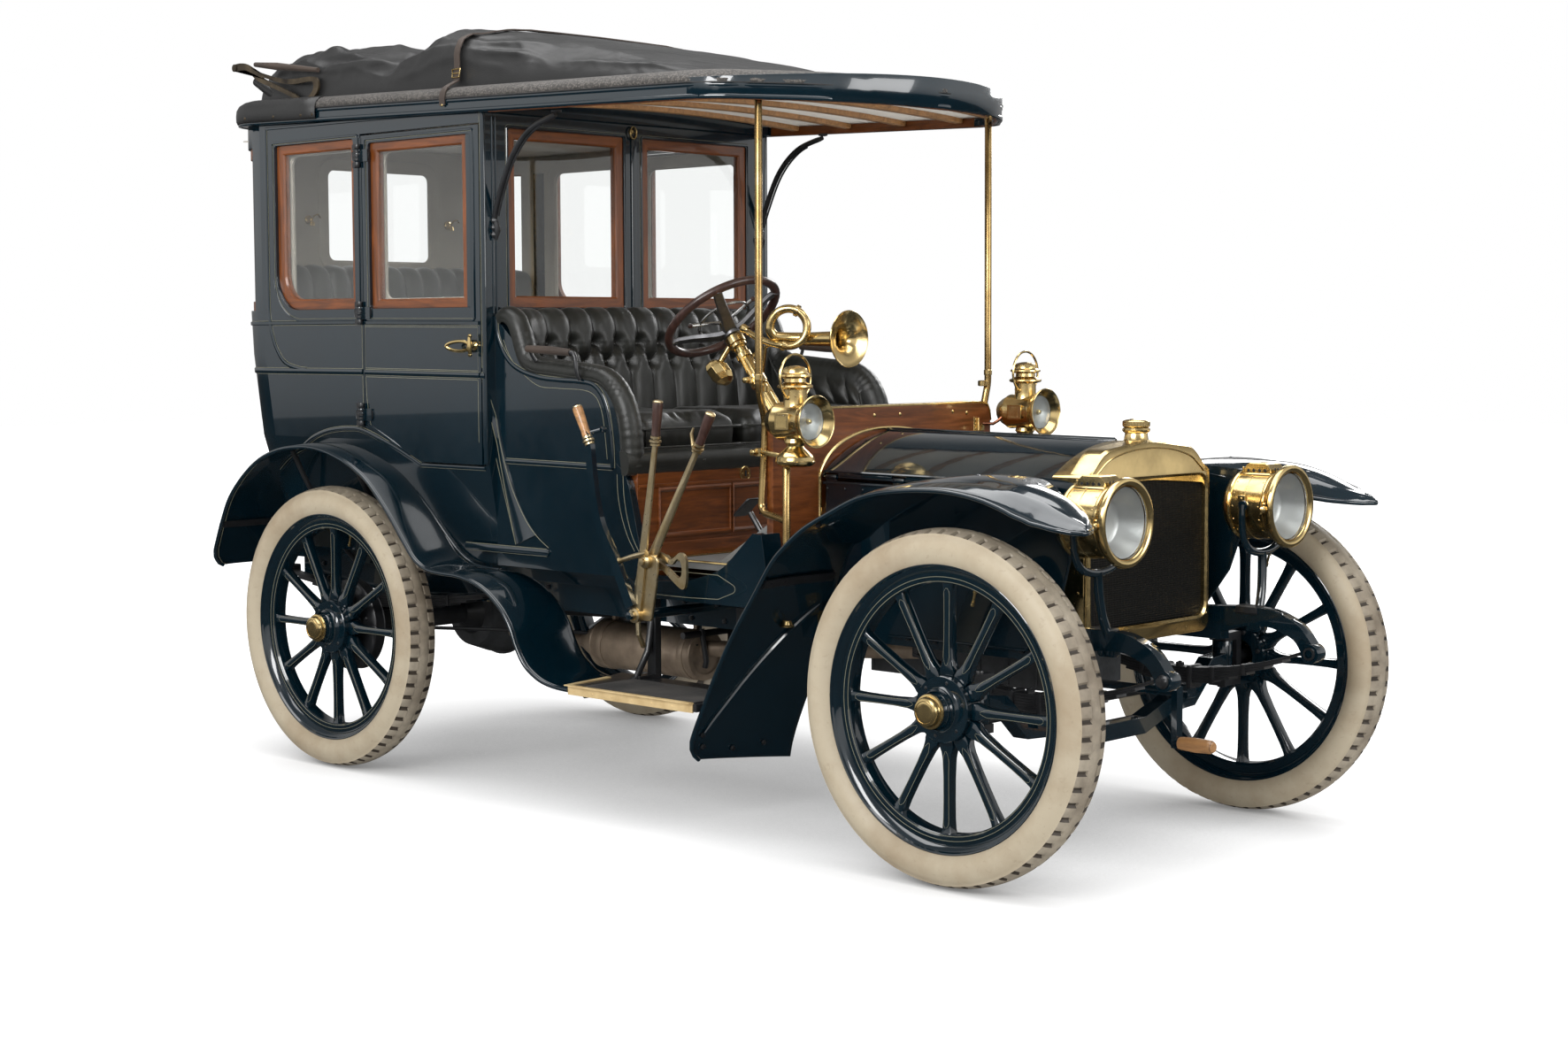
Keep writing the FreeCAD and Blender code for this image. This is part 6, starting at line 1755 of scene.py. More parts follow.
# (x, z) over the middle of each fender; droop of its edges, inner and outer y along x
FRONT_FENDER = ((1699, 222), (1707, 258), (1727, 310), (1761, 380), (1811, 480), (1880, 600), (1957, 711),
                (2030, 815), (2085, 868), (2150, 917), (2240, 965), (2330, 1008), (2415, 1033), (2500, 1049),
                (2580, 1059), (2660, 1064), (2755, 1060), (2850, 1046), (2926, 1024), (2980, 998),
                (3030, 968), (3050, 956), (3062, 948))
FRONT_DROOP = ((1680, 5), (2150, 8), (2400, 14), (2600, 28), (2700, 37), (2775, 45), (2878, 60), (2945, 58),
               (3000, 38), (3030, 22), (3050, 12), (3062, 4))
FRONT_INNER = ((1600, 300), (1860, 300), (1870, 345), (2060, 432), (2075, 392), (2752, 392), (2785, 430),
               (2810, 505), (2840, 528), (2900, 536), (2960, 556), (3000, 585), (3030, 622), (3050, 660),
               (3062, 700))
FRONT_OUTER = ((1699, 698), (1702, 720), (1707, 734), (1716, 742), (3010, 742), (3042, 734), (3056, 722),
               (3062, 708))
REAR_FENDER = ((-626, 636), (-616, 680), (-600, 720), (-560, 805), (-512, 884), (-430, 960), (-330, 1022),
               (-210, 1060), (-78, 1073), (20, 1066), (110, 1045), (200, 1012), (280, 966), (374, 880),
               (459, 786), (512, 733), (570, 706), (640, 698), (720, 695), (790, 683), (866, 654), (935, 603),
               (978, 548), (1006, 489), (1040, 440), (1094, 405), (1154, 389), (1211, 384))
REAR_DROOP = ((-640, 7), (1211, 5))
REAR_INNER = ((-640, 505), (-560, 505), (-420, 600), (-300, 606), (400, 604), (520, 596), (712, 592),
              (760, 560), (1130, 520), (1211, 500))
REAR_OUTER = ((-626, 730), (-624, 752), (-619, 767), (-611, 772), (1000, 772), (1211, 752))
SPRING_Y, HORN_X, HORN_Z = 357, 3068, 543


def fender(work, profile, inner_at, outer_at, droop_at, bead_from=None, skirt=0):
    """A crowned strip whose edges droop; returns its middle line and both edges."""
    line = curve(profile, 4)
    wide = 26
    edge, inside = [], []
    rows = []
    for p, along in zip(line, headings(line)):
        up = Vector((-along.y, along.x))
        x = min(max(p.x, profile[0][0]), profile[-1][0])
        y0, y1, droop = table(inner_at, x)[0], table(outer_at, x)[0], table(droop_at, x)[0]
        row = []
        for k in range(wide + 1):
            t = k / wide
            y = lerp(y0, y1, t)
            h = -droop * abs(2 * t - 1) ** 2.6
            if bead_from and x > bead_from:
                gap = min(y1 - y, y - y0 if x > 2800 else 999)
                h += math.exp(-((gap - 34) / 7) ** 2) * 4.5 * min((x - bead_from) / 200, 1)
            hang = skirt * (1 - t) * max(0.0, 1 - (p.y - profile[0][1]) / 200)
            row.append((p.x + up.x * h - hang * 0.25, y, p.y + up.y * h - hang))
        rows.append(row)
        edge.append((Vector(row[-1]), Vector((up.x, 0, up.y))))
        inside.append((Vector(row[0]), Vector((up.x, 0, up.y))))
    work.skin(rows, 0)
    return line, edge, inside


def edge_line(work, edge, inward, lift):
    """The painted line beside a fender's edge."""
    hairline(work, [(p + Vector((0, inward, 0)) + up * lift, up) for p, up in edge])


def front_fenders():
    """Front fenders: shells, wired edges with the inner valance, ribs and bolts."""
    for side, out in SIDES:
        work = Work()
        line, edge, inside = fender(work, FRONT_FENDER, FRONT_INNER, FRONT_OUTER, FRONT_DROOP, 2150, 45)
        flip(work, out)
        work.piece(f"front_fender_{side}_shell", "car", "coach_paint", ("front_fenders",), "body_blue",
                   sharp=60, thick=3.5, keep_open=True)
        work = Work()
        rim = [p - up * 2 for p, up in edge + [spot for spot in reversed(inside) if spot[0].x > 2800]]
        work.tube(rim, 6.5, 0, 10)
        edge_line(work, [spot for spot in edge if spot[0].x < 2900], -15, 3.0)
        # inner valance down to the frame, cut back towards the radiator
        reach = ((588, 2640), (677, 2711), (760, 2768), (871, 2801), (960, 2822), (1040, 2835))
        rows = []
        for k in range(9):
            row = []
            for n in range(25):
                x = lerp(2160, 2835, n / 24)
                top = table([(p.x, p.y) for p in line], x)[0] - 12
                z = lerp(top, 588, k / 8)
                x = min(x, table(reach, z)[0])
                row.append((x, 392 + 26 * max(0, (x - 2700) / 135) ** 2, z))
            rows.append(row)
        work.skin(rows, 0)
        work.tube([Vector(p) for p in rows[-1]], 4, 0, 8)
        work.tube([Vector(row[-1]) for row in rows], 4, 0, 8)
        flip(work, out)
        work.piece(f"front_fender_{side}_edges", "car", ("coach_paint", "lining_paint"), (), "body_blue",
                   sharp=60, keep_open=True)
        # ribs, bolts and stays on the hollow side
        work = Work()

        def hollow(x, y, drop):
            for a, b in zip(line, line[1:]):
                if a.x <= x <= b.x:
                    break
            z = lerp(a.y, b.y, (x - a.x) / max(b.x - a.x, 1e-6))
            along = (b - a).normalized()
            up = Vector((-along.y, along.x))
            y0, y1 = table(FRONT_INNER, x)[0], table(FRONT_OUTER, x)[0]
            h = -table(FRONT_DROOP, x)[0] * abs(2 * (y - y0) / (y1 - y0) - 1) ** 2.6 - drop
            return Vector((x + up.x * h, y, z + up.y * h)), Vector((-up.x, 0, -up.y))
        rib = [hollow(lerp(1722, 1925, k / 12), lerp(700, 430, k / 12), 4)[0] for k in range(13)]
        work.tube(rib, ((0, 4), (0.1, 8), (0.9, 8), (1, 4)), 1, 8)
        for x, y in ((1708, 690), (1702, 560), (1702, 430), (1722, 704), (1985, 700), (1985, 640),
                     (2160, 690), (2400, 640), (2700, 660), (2700, 560)):
            spot, way = hollow(x, y, 3.5)
            work.nuts([spot], way, 8, 5)
        for x in (2640, 2790, 2900):
            spot, way = hollow(x, 600, -3)
            work.studs([spot], -way, 6, 3, 1)
        work.sweep([hollow(1985, y, 7)[0] for y in (440, 520, 600, 680, 728)],
                   ((-2, -14), (3, -14), (3, 14), (-2, 14)), 0, up=(-0.8, 0, 0.5))
        flip(work, out)
        work.piece(f"front_fender_{side}_stays", "car", ("black_iron", "coach_paint"), (), "black_iron")


def rear_fenders():
    """Rear fenders: shells, wired edges and the bead against the body, cross irons and stays."""
    for side, out in SIDES:
        work = Work()
        line, edge, inside = fender(work, REAR_FENDER, REAR_INNER, REAR_OUTER, REAR_DROOP)
        flip(work, out)
        work.piece(f"rear_fender_{side}_shell", "car", "coach_paint", ("rear_fenders",), "body_blue",
                   sharp=60, thick=3.5, keep_open=True)
        work = Work()
        work.tube([p - up * 2 for p, up in edge], 6.5, 0, 10)
        edge_line(work, edge, -15, 0.6)
        bead = []
        for p, up in inside:
            if p.x < 705:
                y = side_half(min(max(p.z, 709), 1500)) + 3
            else:
                y = max(p.y + 20, 601 if p.x < 900 else p.y + 12)
            if p.x > -420:
                bead.append((Vector((p.x, y, p.z)), up))
        work.tube([p + up for p, up in bead], 5, 0, 8)
        edge_line(work, bead, 12, 0.3)
        flip(work, out)
        work.piece(f"rear_fender_{side}_edges", "car", ("coach_paint", "lining_paint"), (), "body_blue",
                   sharp=60)
        work = Work()
        join = next(k for k, p in enumerate(line) if p.y > 772)
        p, q = line[join], line[join + 1]
        along = (q - p).normalized()
        under = Vector((along.y, 0, -along.x))
        spot = Vector((p.x, 0, p.y)) + under * 5
        work.studs([spot + Vector((0, lerp(528, 752, k / 6), 0)) for k in range(7)], under, 5, 3)
        work.sweep([spot + Vector((0, y, 0)) for y in (510, 600, 700, 766)],
                   ((-2, -12), (2.5, -12), (2.5, 12), (-2, 12)), 0, up=under)
        # stay from the frame to the fender
        work.tube([(-180, 470, 640), (-210, 560, 760), (-230, 660, 960), (-236, 700, 1046)], 9, 0, 10)
        work.tube([(60, 470, 640), (90, 700, 1035)], 8, 0, 10)
        flip(work, out)
        work.piece(f"rear_fender_{side}_stays", "car", "black_iron", (), "black_iron")


def running_board_trim():
    """Brass edging, ribbed mat and bolts of the running boards."""
    work = Work()
    edge = [(1188, 560, 382), (1213, 752, 382), (1738, 752, 382)]
    work.sweep(edge, ((-17, -3), (-17, 3), (11, 3), (13, 1), (13, -16), (10, -16), (10, -3)), 0,
               up=(0, 0, 1))
    for x in range(1236, 1720, 84):
        work.studs([(x, 755, 376)], (0, 1, 0), 3, 1.6)
    work.mirror()
    work.piece("running_board_edging", "car", "board_brass", (), "brass")
    work = Work()
    for k in range(27):
        y = 540 + k * 7.4
        work.sweep([(1266, y, 393), (1731, y, 393)], ((-1, -2.2), (1.6, -1.5), (1.6, 1.5), (-1, 2.2)), 0,
                   up=(0, 0, 1))
    work.mirror()
    work.piece("running_board_ribs", "car", "mat_rubber", (), "core")
    work = Work()
    for x in (1258, 1638):
        work.nuts([(x, 700, 366), (x, 600, 366)], (0, 0, -1), 8, 6)
        work.tube([(x, 436, 600), (x, 452, 560), (x, 470, 470), (x, 520, 392), (x, 600, 366), (x, 730, 364)],
                  ((0, 13), (0.4, 11), (1, 9)), 0, 12)
    work.mirror()
    work.piece("board_irons", "car", "black_iron", (), "black_iron")


def leaf_spring(work, x0, x1, middle, eye_z, top_z, y, thick):
    """A stack of six leaves, each shorter than the one above, with clips and a centre bolt."""
    count, w = 6, 22.5
    for k in range(count):
        share = 1 - 0.84 * k / count
        line = []
        for n in range(25):
            t = lerp(-share, share, n / 24)
            x = middle + (x1 - middle if t > 0 else middle - x0) * t
            z = eye_z + (top_z - eye_z) * (1 - t * t) - k * thick
            line.append((x, y, z))
        work.sweep(line, ((-thick / 2, -w), (thick / 2 - 0.8, -w), (thick / 2, -w + 2), (thick / 2, w - 2),
                          (thick / 2 - 0.8, w), (-thick / 2, w)), 0, up=(0, 0, 1))
    for t in (-0.55, -0.3, 0.3, 0.55):
        x = middle + (x1 - middle if t > 0 else middle - x0) * t
        z = eye_z + (top_z - eye_z) * (1 - t * t)
        low = z - count * thick * (1 - abs(t)) - 6
        work.block((x - 8, y - w - 4, low), (x + 8, y + w + 4, z + 6), 0, 2)
    for dx in (-48, 48):
        work.block((middle + dx - 9, y - w - 8, top_z - count * thick - 12),
                   (middle + dx + 9, y + w + 8, top_z + 10), 0, 4)
    work.nuts([(middle, y, top_z + 4)], (0, 0, 1), 12, 10)


def springs_and_frame():
    """Leaf springs, frame bolts and brake rods, silencer bands, engine and axle details."""
    work = Work()
    leaf_spring(work, 2234, 3040, WHEELBASE, HORN_Z, 466, SPRING_Y, 7.5)
    work.block((2230, SPRING_Y - 20, 531), (2250, SPRING_Y + 20, 562), 0, 3)
    leaf_spring(work, -590, 590, 0, 600, 556, 472, 8)
    for x in (-590, 590):
        work.block((x - 14, 432, 580), (x + 14, 494, 620), 0, 3)
        work.turned(((-30, TIP), (-30, 12), (30, 12), (30, TIP)), (x, 472, 600), (0, 1, 0), 0, 16)
    work.mirror()
    work.piece("leaf_springs", "car", "black_iron", ("springs",), "black_iron", sharp=35)
    work = Work()
    # eye bolts of the horns, rail bolts and hangers
    work.turned(((-26, 12), (-26, 18), (26, 18), (28, 14), (30, 13), (36, 13), (37, TIP)),
                (HORN_X, SPRING_Y, HORN_Z), (0, 1, 0), 0, 20)
    work.nuts([(HORN_X, SPRING_Y + 27, HORN_Z)], (0, 1, 0), 11, 8)
    for x in (-520, -440, -60, 60, 520, 640, 760, 1150, 1250, 1380, 1520, 1680):
        work.nuts([(x, 430.5, 630), (x + 30, 430.5, 582)], (0, 1, 0), 8, 6)
    for x in (2200, 2300, 2420, 2600, 2700):
        work.nuts([(x, 379.5, 632), (x + 18, 379.5, 584)], (0, 1, 0), 8, 6)
    work.block((2830, 330, 640), (2900, 372, 664), 0, 4)
    work.mirror()
    # brake rods and cross shaft
    for y in (250, -250):
        work.tube([(1250, y, 470), (700, y, 462), (120, y * 1.9, 452)], 6, 0, 8)
        work.tube([(1270, y, 520), (1290, y, 420), (1284, y, 400)], 9, 0, 8)
    work.tube([(1268, -330, 505), (1268, 330, 505)], 11, 0, 12)
    work.piece("frame_bolts", "car", "black_iron", (), "black_iron")
    # silencer bands
    work = Work()
    for x in (838, 1212):
        work.turned(((-12, 77), (-12, 80), (-10, 81.2), (10, 81.2), (12, 80), (12, 77)), (x, -215, 432),
                    (1, 0, 0), 0, 40)
        work.block((x - 8, -222, 510), (x + 8, -208, 560), 0, 2)
        work.nuts([(x, -205, 520)], (0, 1, 0), 6, 4)
    for x in (798, 1251):
        work.turned(((-4, 60), (-4, 78), (0, 80.5), (4, 78), (4, 60)), (x, -215, 432), (1, 0, 0), 0, 40)
    work.piece("silencer_bands", "car", "silencer_iron", (), "black_iron")
    # engine, gearbox and axle details
    work = Work()
    for k in range(4):
        x = 1960 + 150 * k
        work.turned(((0, 62), (60, 62), (66, 56), (70, 30), (72, TIP)), (x, 0, 925), (0, 0, 1), 0, 28)
        for side in (1, -1):
            work.tube([(x, side * 158, 860), (x, side * 196, 850), (x, side * 210, 800)], 17, 0, 12)
    work.tube([(1930, -210, 800), (2440, -210, 800), (2500, -200, 740), (2480, -190, 560)], 24, 0, 14)
    for x in (1900, 2000, 2100, 2200, 2300, 2400, 2500):
        work.nuts([(x, 161, 560), (x, -161, 560)], (0, 1, 0), 9, 7)
        work.block((x - 4, -164, 445), (x + 4, 164, 550), 0, 2)
    work.piece("engine_details", "car", "grey_iron", (), "grey_iron")
    work = Work()
    for x in (1290, 1350, 1410, 1470, 1530, 1580):
        work.nuts([(x, 112, 641), (x, -112, 641)], (0, 0, 1), 8, 6)
        work.block((x - 3, -127, 430), (x + 3, 127, 600), 0, 1.5)
    work.turned(((-135, 44), (-128, 120), (-40, 150), (0, 156), (0, 164), (8, 164), (8, 156), (60, 140),
                 (125, 60)), (0, 0, HUB_Z), (0, 1, 0), 0, 44)
    work.nuts([(x, y, HUB_Z + z) for x, y, z in wheel_ring(150, 8, 12)], (0, 1, 0), 7, 5)
    work.piece("axle_details", "car", "grey_iron", (), "grey_iron")


def build_undercarriage():
    """Fenders, running boards, springs and what hangs from the frame."""
    front_fenders()
    rear_fenders()
    running_board_trim()
    springs_and_frame()


# ---- bonnet, radiator and lamps -------------------------------------------------------------

BONNET_BACK, BONNET_LONG = 1821, 823
HEADLAMP_Y, HEADLAMP_Z = 397, 946
SIDE_LAMP_Y, SIDE_LAMP_Z = 530, 1188
AHEAD = (1, 0, 0)


def bonnet_half(x):
    """How far the bonnet's side stands from the middle at a place along it."""
    return lerp(297, 258, min(max((x - BONNET_BACK) / BONNET_LONG, 0), 1))


def bonnet_line(out, z, fall, way):
    """A line along the bonnet's side, its height falling towards the front."""
    return [(Vector((x, bonnet_half(x) + out, z - (x - BONNET_BACK) * fall)), Vector(way))
            for x in range(1826, 2641, 37)]


def bonnet_details():
    """Mouldings and rivets on the four bonnet leaves, the brass bead on the dash and the spine."""
    for side, out in SIDES:
        work = Work()
        band(work, bonnet_line(0.6, 1000, 0.006, (0, 1, 0)), 9, 2.5, lines=())
        for x in range(1840, 2640, 66):
            work.studs([(x, bonnet_half(x) + 1, 984 - (x - BONNET_BACK) * 0.006)], (0, 1, 0), 4.2, 3)
        # louvre-free side with a handle and two catches
        for x in (1990, 2440):
            work.block((x - 16, bonnet_half(x), 676), (x + 16, bonnet_half(x) + 5, 704), 0, 1.5)
            work.tube([(x, bonnet_half(x) + 8, 690), (x, bonnet_half(x) + 16, 676)], 4, 0, 8)
        flip(work, out)
        work.piece(f"bonnet_side_{side}_rivets", f"bonnet_side_{side}_body", "coach_paint", (), "body_blue")
        work = Work()
        band(work, bonnet_line(-1, 1034, 0.011, (0, 0.8, 0.6)), 7, 2.5, lines=())
        flip(work, out)
        work.piece(f"bonnet_top_{side}_crease", f"bonnet_top_{side}_body", "coach_paint", (), "body_blue")
    # brass bead round the bonnet on the dash
    work = Work()
    arch = [(1815, 302, z) for z in range(664, 1020, 24)]
    arch += [(1815, y, z) for y, z in ((300, 1034), (262, 1080), (205, 1116), (130, 1140), (60, 1150),
                                       (0, 1152))]
    arch += [(x, -y, z) for x, y, z in reversed(arch[:-1])]
    work.tube(arch[:12] + curve(arch[12:-12], 4) + arch[-12:], 5.5, 0, 10)
    work.piece("bonnet_bead", "car", "brass", (), "brass")
    work = Work()
    work.sweep([(1822, 0, 1151), (2646, 0, 1142)],
               ((-1.5, -3.8), (1, -3.4), (2, -1.5), (2, 1.5), (1, 3.4), (-1.5, 3.8)), 0, up=(0, 0, 1))
    work.piece("bonnet_spine", "car", "coach_paint", (), "body_blue")


def radiator():
    """The brass radiator frame with its filler cap, and the grid before the core."""
    work = Work()
    outer = rounded([(-297, 590, 26), (297, 590, 26), (297, 1040, 60), (215, 1118, 90), (0, 1142, 300),
                     (-215, 1118, 90), (-297, 1040, 60)], 10)
    outer = spaced(outer, 120)
    inner = best_turn(outer, spaced(box_outline(-273, 636, 273, 1034, 34, 10), 120))
    mid = [b + (a - b).normalized() * 15 for a, b in zip(outer, inner)]
    near = [b + (a - b).normalized() * 8 for a, b in zip(outer, inner)]
    rim = [a + (b - a).normalized() * 6 for a, b in zip(outer, inner)]
    work.skin([[(x, p.x, p.y) for p in line] for line, x in (
        (outer, 2700), (outer, 2757), (rim, 2765), (mid, 2765.5), (near, 2769), (inner, 2764),
        (inner, 2746))],
        0, wrap=True)
    # thin raised line that follows the arch
    arch = curve([(-262, 1046), (-238, 1064), (-190, 1092), (-100, 1112), (0, 1118), (100, 1112), (190, 1092),
                  (238, 1064), (262, 1046)], 8)
    work.tube([(2766, p.x, p.y) for p in arch], 2.2, 0, 6)
    # neck and knurled cap
    work.turned(((1120, 46), (1132, 40), (1140, 34), (1158, 31), (1162, 37), (1167, 39), (1172, 37),
                 (1174, 30), (1177, 29)), (2717, 0, 0), (0, 0, 1), 0, 40)
    rows = []
    for z, r in ((1175, 34), (1178, 37), (1190, 37), (1193, 34), (1195, 28), (1198, 12), (1198.5, TIP)):
        reach = [r + (1.1 if k % 2 and r > 30 else 0) for k in range(72)]
        rows.append([(2717 + far * math.cos(a), far * math.sin(a), z) for far, a in zip(reach, around(72))])
    work.skin(rows, 0, wrap=True)
    for y in (-284, 284):
        work.studs([(2764, y, z) for z in (640, 760, 900, 1000)], (1, 0, 0), 4, 2.5)
    for y in (297, -297):
        work.studs([(x, y, z) for x in (2672, 2740) for z in (620, 740, 860, 990)], (0, y, 0), 4, 2.5)
    work.piece("radiator_frame", "car", "brass", (), "brass", sharp=35)
    work = Work()
    for z in (640 + 6.2 * k for k in range(64)):
        work.block((2744, -276, z), (2749, 276, z + 0.9), 0, 0.2)
    for y in (-275 + 6.2 * k for k in range(89)):
        work.block((2743, y, 636), (2748, y + 0.9, 1032), 0, 0.2)
    work.piece("radiator_grid", "car", "dull_brass", (), "core")


def tap(work, at, out):
    """A small knurled screw with its collar."""
    work.turned(((0, 9), (3, 9), (4, 6), (9, 6), (10, 9), (18, 9), (19, 7), (20, TIP)), at, out, 0, 16)


def headlamp():
    """One drum headlamp: riveted drum, rolled bezel, bowl, vent box and latch."""
    y, z = HEADLAMP_Y, HEADLAMP_Z
    work = Work()
    body = ((2778, TIP), (2778, 44), (2781, 58), (2792, 78), (2806, 90), (2818, 96), (2819, 99.5),
            (2823, 101), (2828, 99.5), (2829, 96.4), (2868, 96.4), (2869, 98), (2873, 98), (2874, 96.4),
            (2926, 96.4), (2927, 99), (2931, 100.5), (2936, 99.5), (2939, 101), (2944, 104),
            (2948, 108), (2952, 113), (2958, 117), (2964, 118), (2970, 115.5), (2973, 110), (2973, 104),
            (2969, 98), (2964, 94.2), (2958, 93.8))
    work.turned([(a - 2778, r) for a, r in body], (2778, y, z), AHEAD, 0, 64)
    work.turned([(0, 93.9), (-8, 93.9)], (2966, y, z), AHEAD, 0, 64)
    # seam pips, then rivets, along the drum's two straps
    for x in (2835, 2920):
        pips = [(x, y + 96.5 * math.sin(a), z + 96.5 * math.cos(a)) for a in around(12, 15.0)]
        work.studs(pips, (0, 0, 1), 0.1, 0.1)
    for x in (2836, 2919):
        for a in around(16):
            way = Vector((0, math.sin(a), math.cos(a)))
            work.studs([Vector((x, y, z)) + way * 96], way, 3, 2, steps=8)
    # vent box with four holes each side, each a black ring and disc that stand for painted shade inside the
    # hole
    box = rounded([(2834, z + 84, 2), (2922, z + 84, 2), (2922, z + 104, 4), (2908, z + 120, 14),
                   (2848, z + 120, 14), (2834, z + 104, 4)], 4)
    work.plate(box, (0, y + 36, 0), (1, 0, 0), (0, 0, 1), 72, 0, 2)
    work.block((2830, y - 46, z + 78), (2926, y + 46, z + 92), 0, 3)
    work.block((2827, y - 32, z + 93), (2832, y + 32, z + 108), 0, 1)
    for side in (1, -1):
        for k in range(4):
            x = 2850 + 18 * k
            work.turned(((0.4, 4.6), (1.0, 4.6), (1.0, 3.2)), (x, y + side * 36, z + 99), (0, side, 0), 1, 12)
            work.turned(((0.7, 3.4), (0.7, TIP)), (x, y + side * 36, z + 99), (0, side, 0), 1, 12)
    # four holes on the front, black discs of painted shade
    for dy in (-21, -7, 7, 21):
        work.turned(((0.4, 4.6), (1.0, 4.6), (1.0, TIP)), (2927, y + dy, z + 103), AHEAD, 1, 12)
    # latch and hinge on the bezel
    for side in (1, -1):
        work.block((2928, y + side * 100 - 7, z - 14), (2952, y + side * 100 + 7, z + 14), 0, 3)
        work.turned(((-18, TIP), (-18, 5), (18, 5), (18, TIP)), (2936, y + side * 108, z), (0, 0, 1), 0, 12)
        tap(work, (2946, y + side * 110, z - 4), (0.4, side, 0))
        work.plate(box_outline(2856, z - 32, 2880, z + 32, 3, 3),
                   (0, y + side * 95 + (5 if side > 0 else 0), 0), (1, 0, 0), (0, 0, 1), 6, 0, 1)
        work.studs([(2868, y + side * 101, z + d) for d in (-22, 0, 22)], (0, side, 0), 4, 3)
    return work


def side_lamp():
    """One side lamp: drum, flared bezel, side window, three-tier chimney, bail and font."""
    y, z = SIDE_LAMP_Y, SIDE_LAMP_Z
    work = Work()
    body = ((1838, TIP), (1838, 22), (1841, 34), (1850, 38), (1853, 42), (1872, 50), (1876, 53.5), (1881, 54),
            (1885, 52.5), (1968, 52.5), (1972, 54.5), (1977, 54), (1982, 57), (1992, 64), (2004, 71.5),
            (2008, 74), (2011, 74.5), (2013, 73), (2012, 70), (2003, 63), (1994, 55.5), (1990, 52.3))
    work.turned([(a - 1838, r) for a, r in body], (1838, y, z), AHEAD, 0, 56)
    # square window in the outer side
    for side in (1, -1):
        for pad, kind, thick in ((27, 0, 5), (20, 1, 6.2)):
            outline = box_outline(1926 - pad, z - pad * 0.86, 1926 + pad, z + pad * 0.86, 3, 3)
            base = y + 49 if side > 0 else y - 49 - thick
            work.plate(outline, (0, base + thick, 0), (1, 0, 0), (0, 0, 1), thick, kind, 1)
        work.studs([(1966, y + side * 50, z)], (0, side, 0), 3.5, 3)
    # chimney
    tiers = ((38, 36), (44, 34), (60, 33), (89, 33), (93, 47), (96, 50.5), (101, 50), (106, 39), (110, 31),
             (120, 30), (123, 40), (126, 47), (131, 46.5), (136, 37), (141, 36), (148, 33), (152, 26),
             (155, 12), (156, TIP))
    work.turned(tiers, (1930, y, z), (0, 0, 1), 0, 48)
    for a in around(4, 45.0):
        way = Vector((math.cos(a), math.sin(a), 0))
        work.studs([Vector((1930, y, z + 70)) + way * 32], way, 3, 2)
    bail = [(1930, y + 63 * math.cos(a), z + 122 + 66 * math.sin(a)) for a in around(37, -52.0, 284.0)]
    work.tube(bail, 3.6, 0, 8)
    for side in (1, -1):
        work.turned(((-4, TIP), (-4, 6), (4, 6), (5, TIP)), (1930, y + side * 35, z + 66), (0, 1, 0), 0, 12)
    # font and neck
    work.turned(((-128, TIP), (-128, 40), (-125, 48), (-119, 55.5), (-113, 57), (-110, 55), (-102, 54),
                 (-96, 50), (-84, 38), (-76, 28), (-70, 25), (-64, 27), (-60, 31), (-56, 30), (-50, 28),
                 (-44, 30)),
                (1929, y, z), (0, 0, 1), 0, 44)
    # bracket to the post
    work.tube([(1895, y, z - 100), (1850, y + 2, z - 96), (1800, y - 2, z - 92)], 8, 0, 10)
    work.turned(((-12, 12), (-10, 17), (10, 17), (12, 12)), (1786, y - 6, z - 92), (0, 0, 1), 0, 20)
    tap(work, (1786, y + 10, z - 92), (0, 1, 0))
    return work


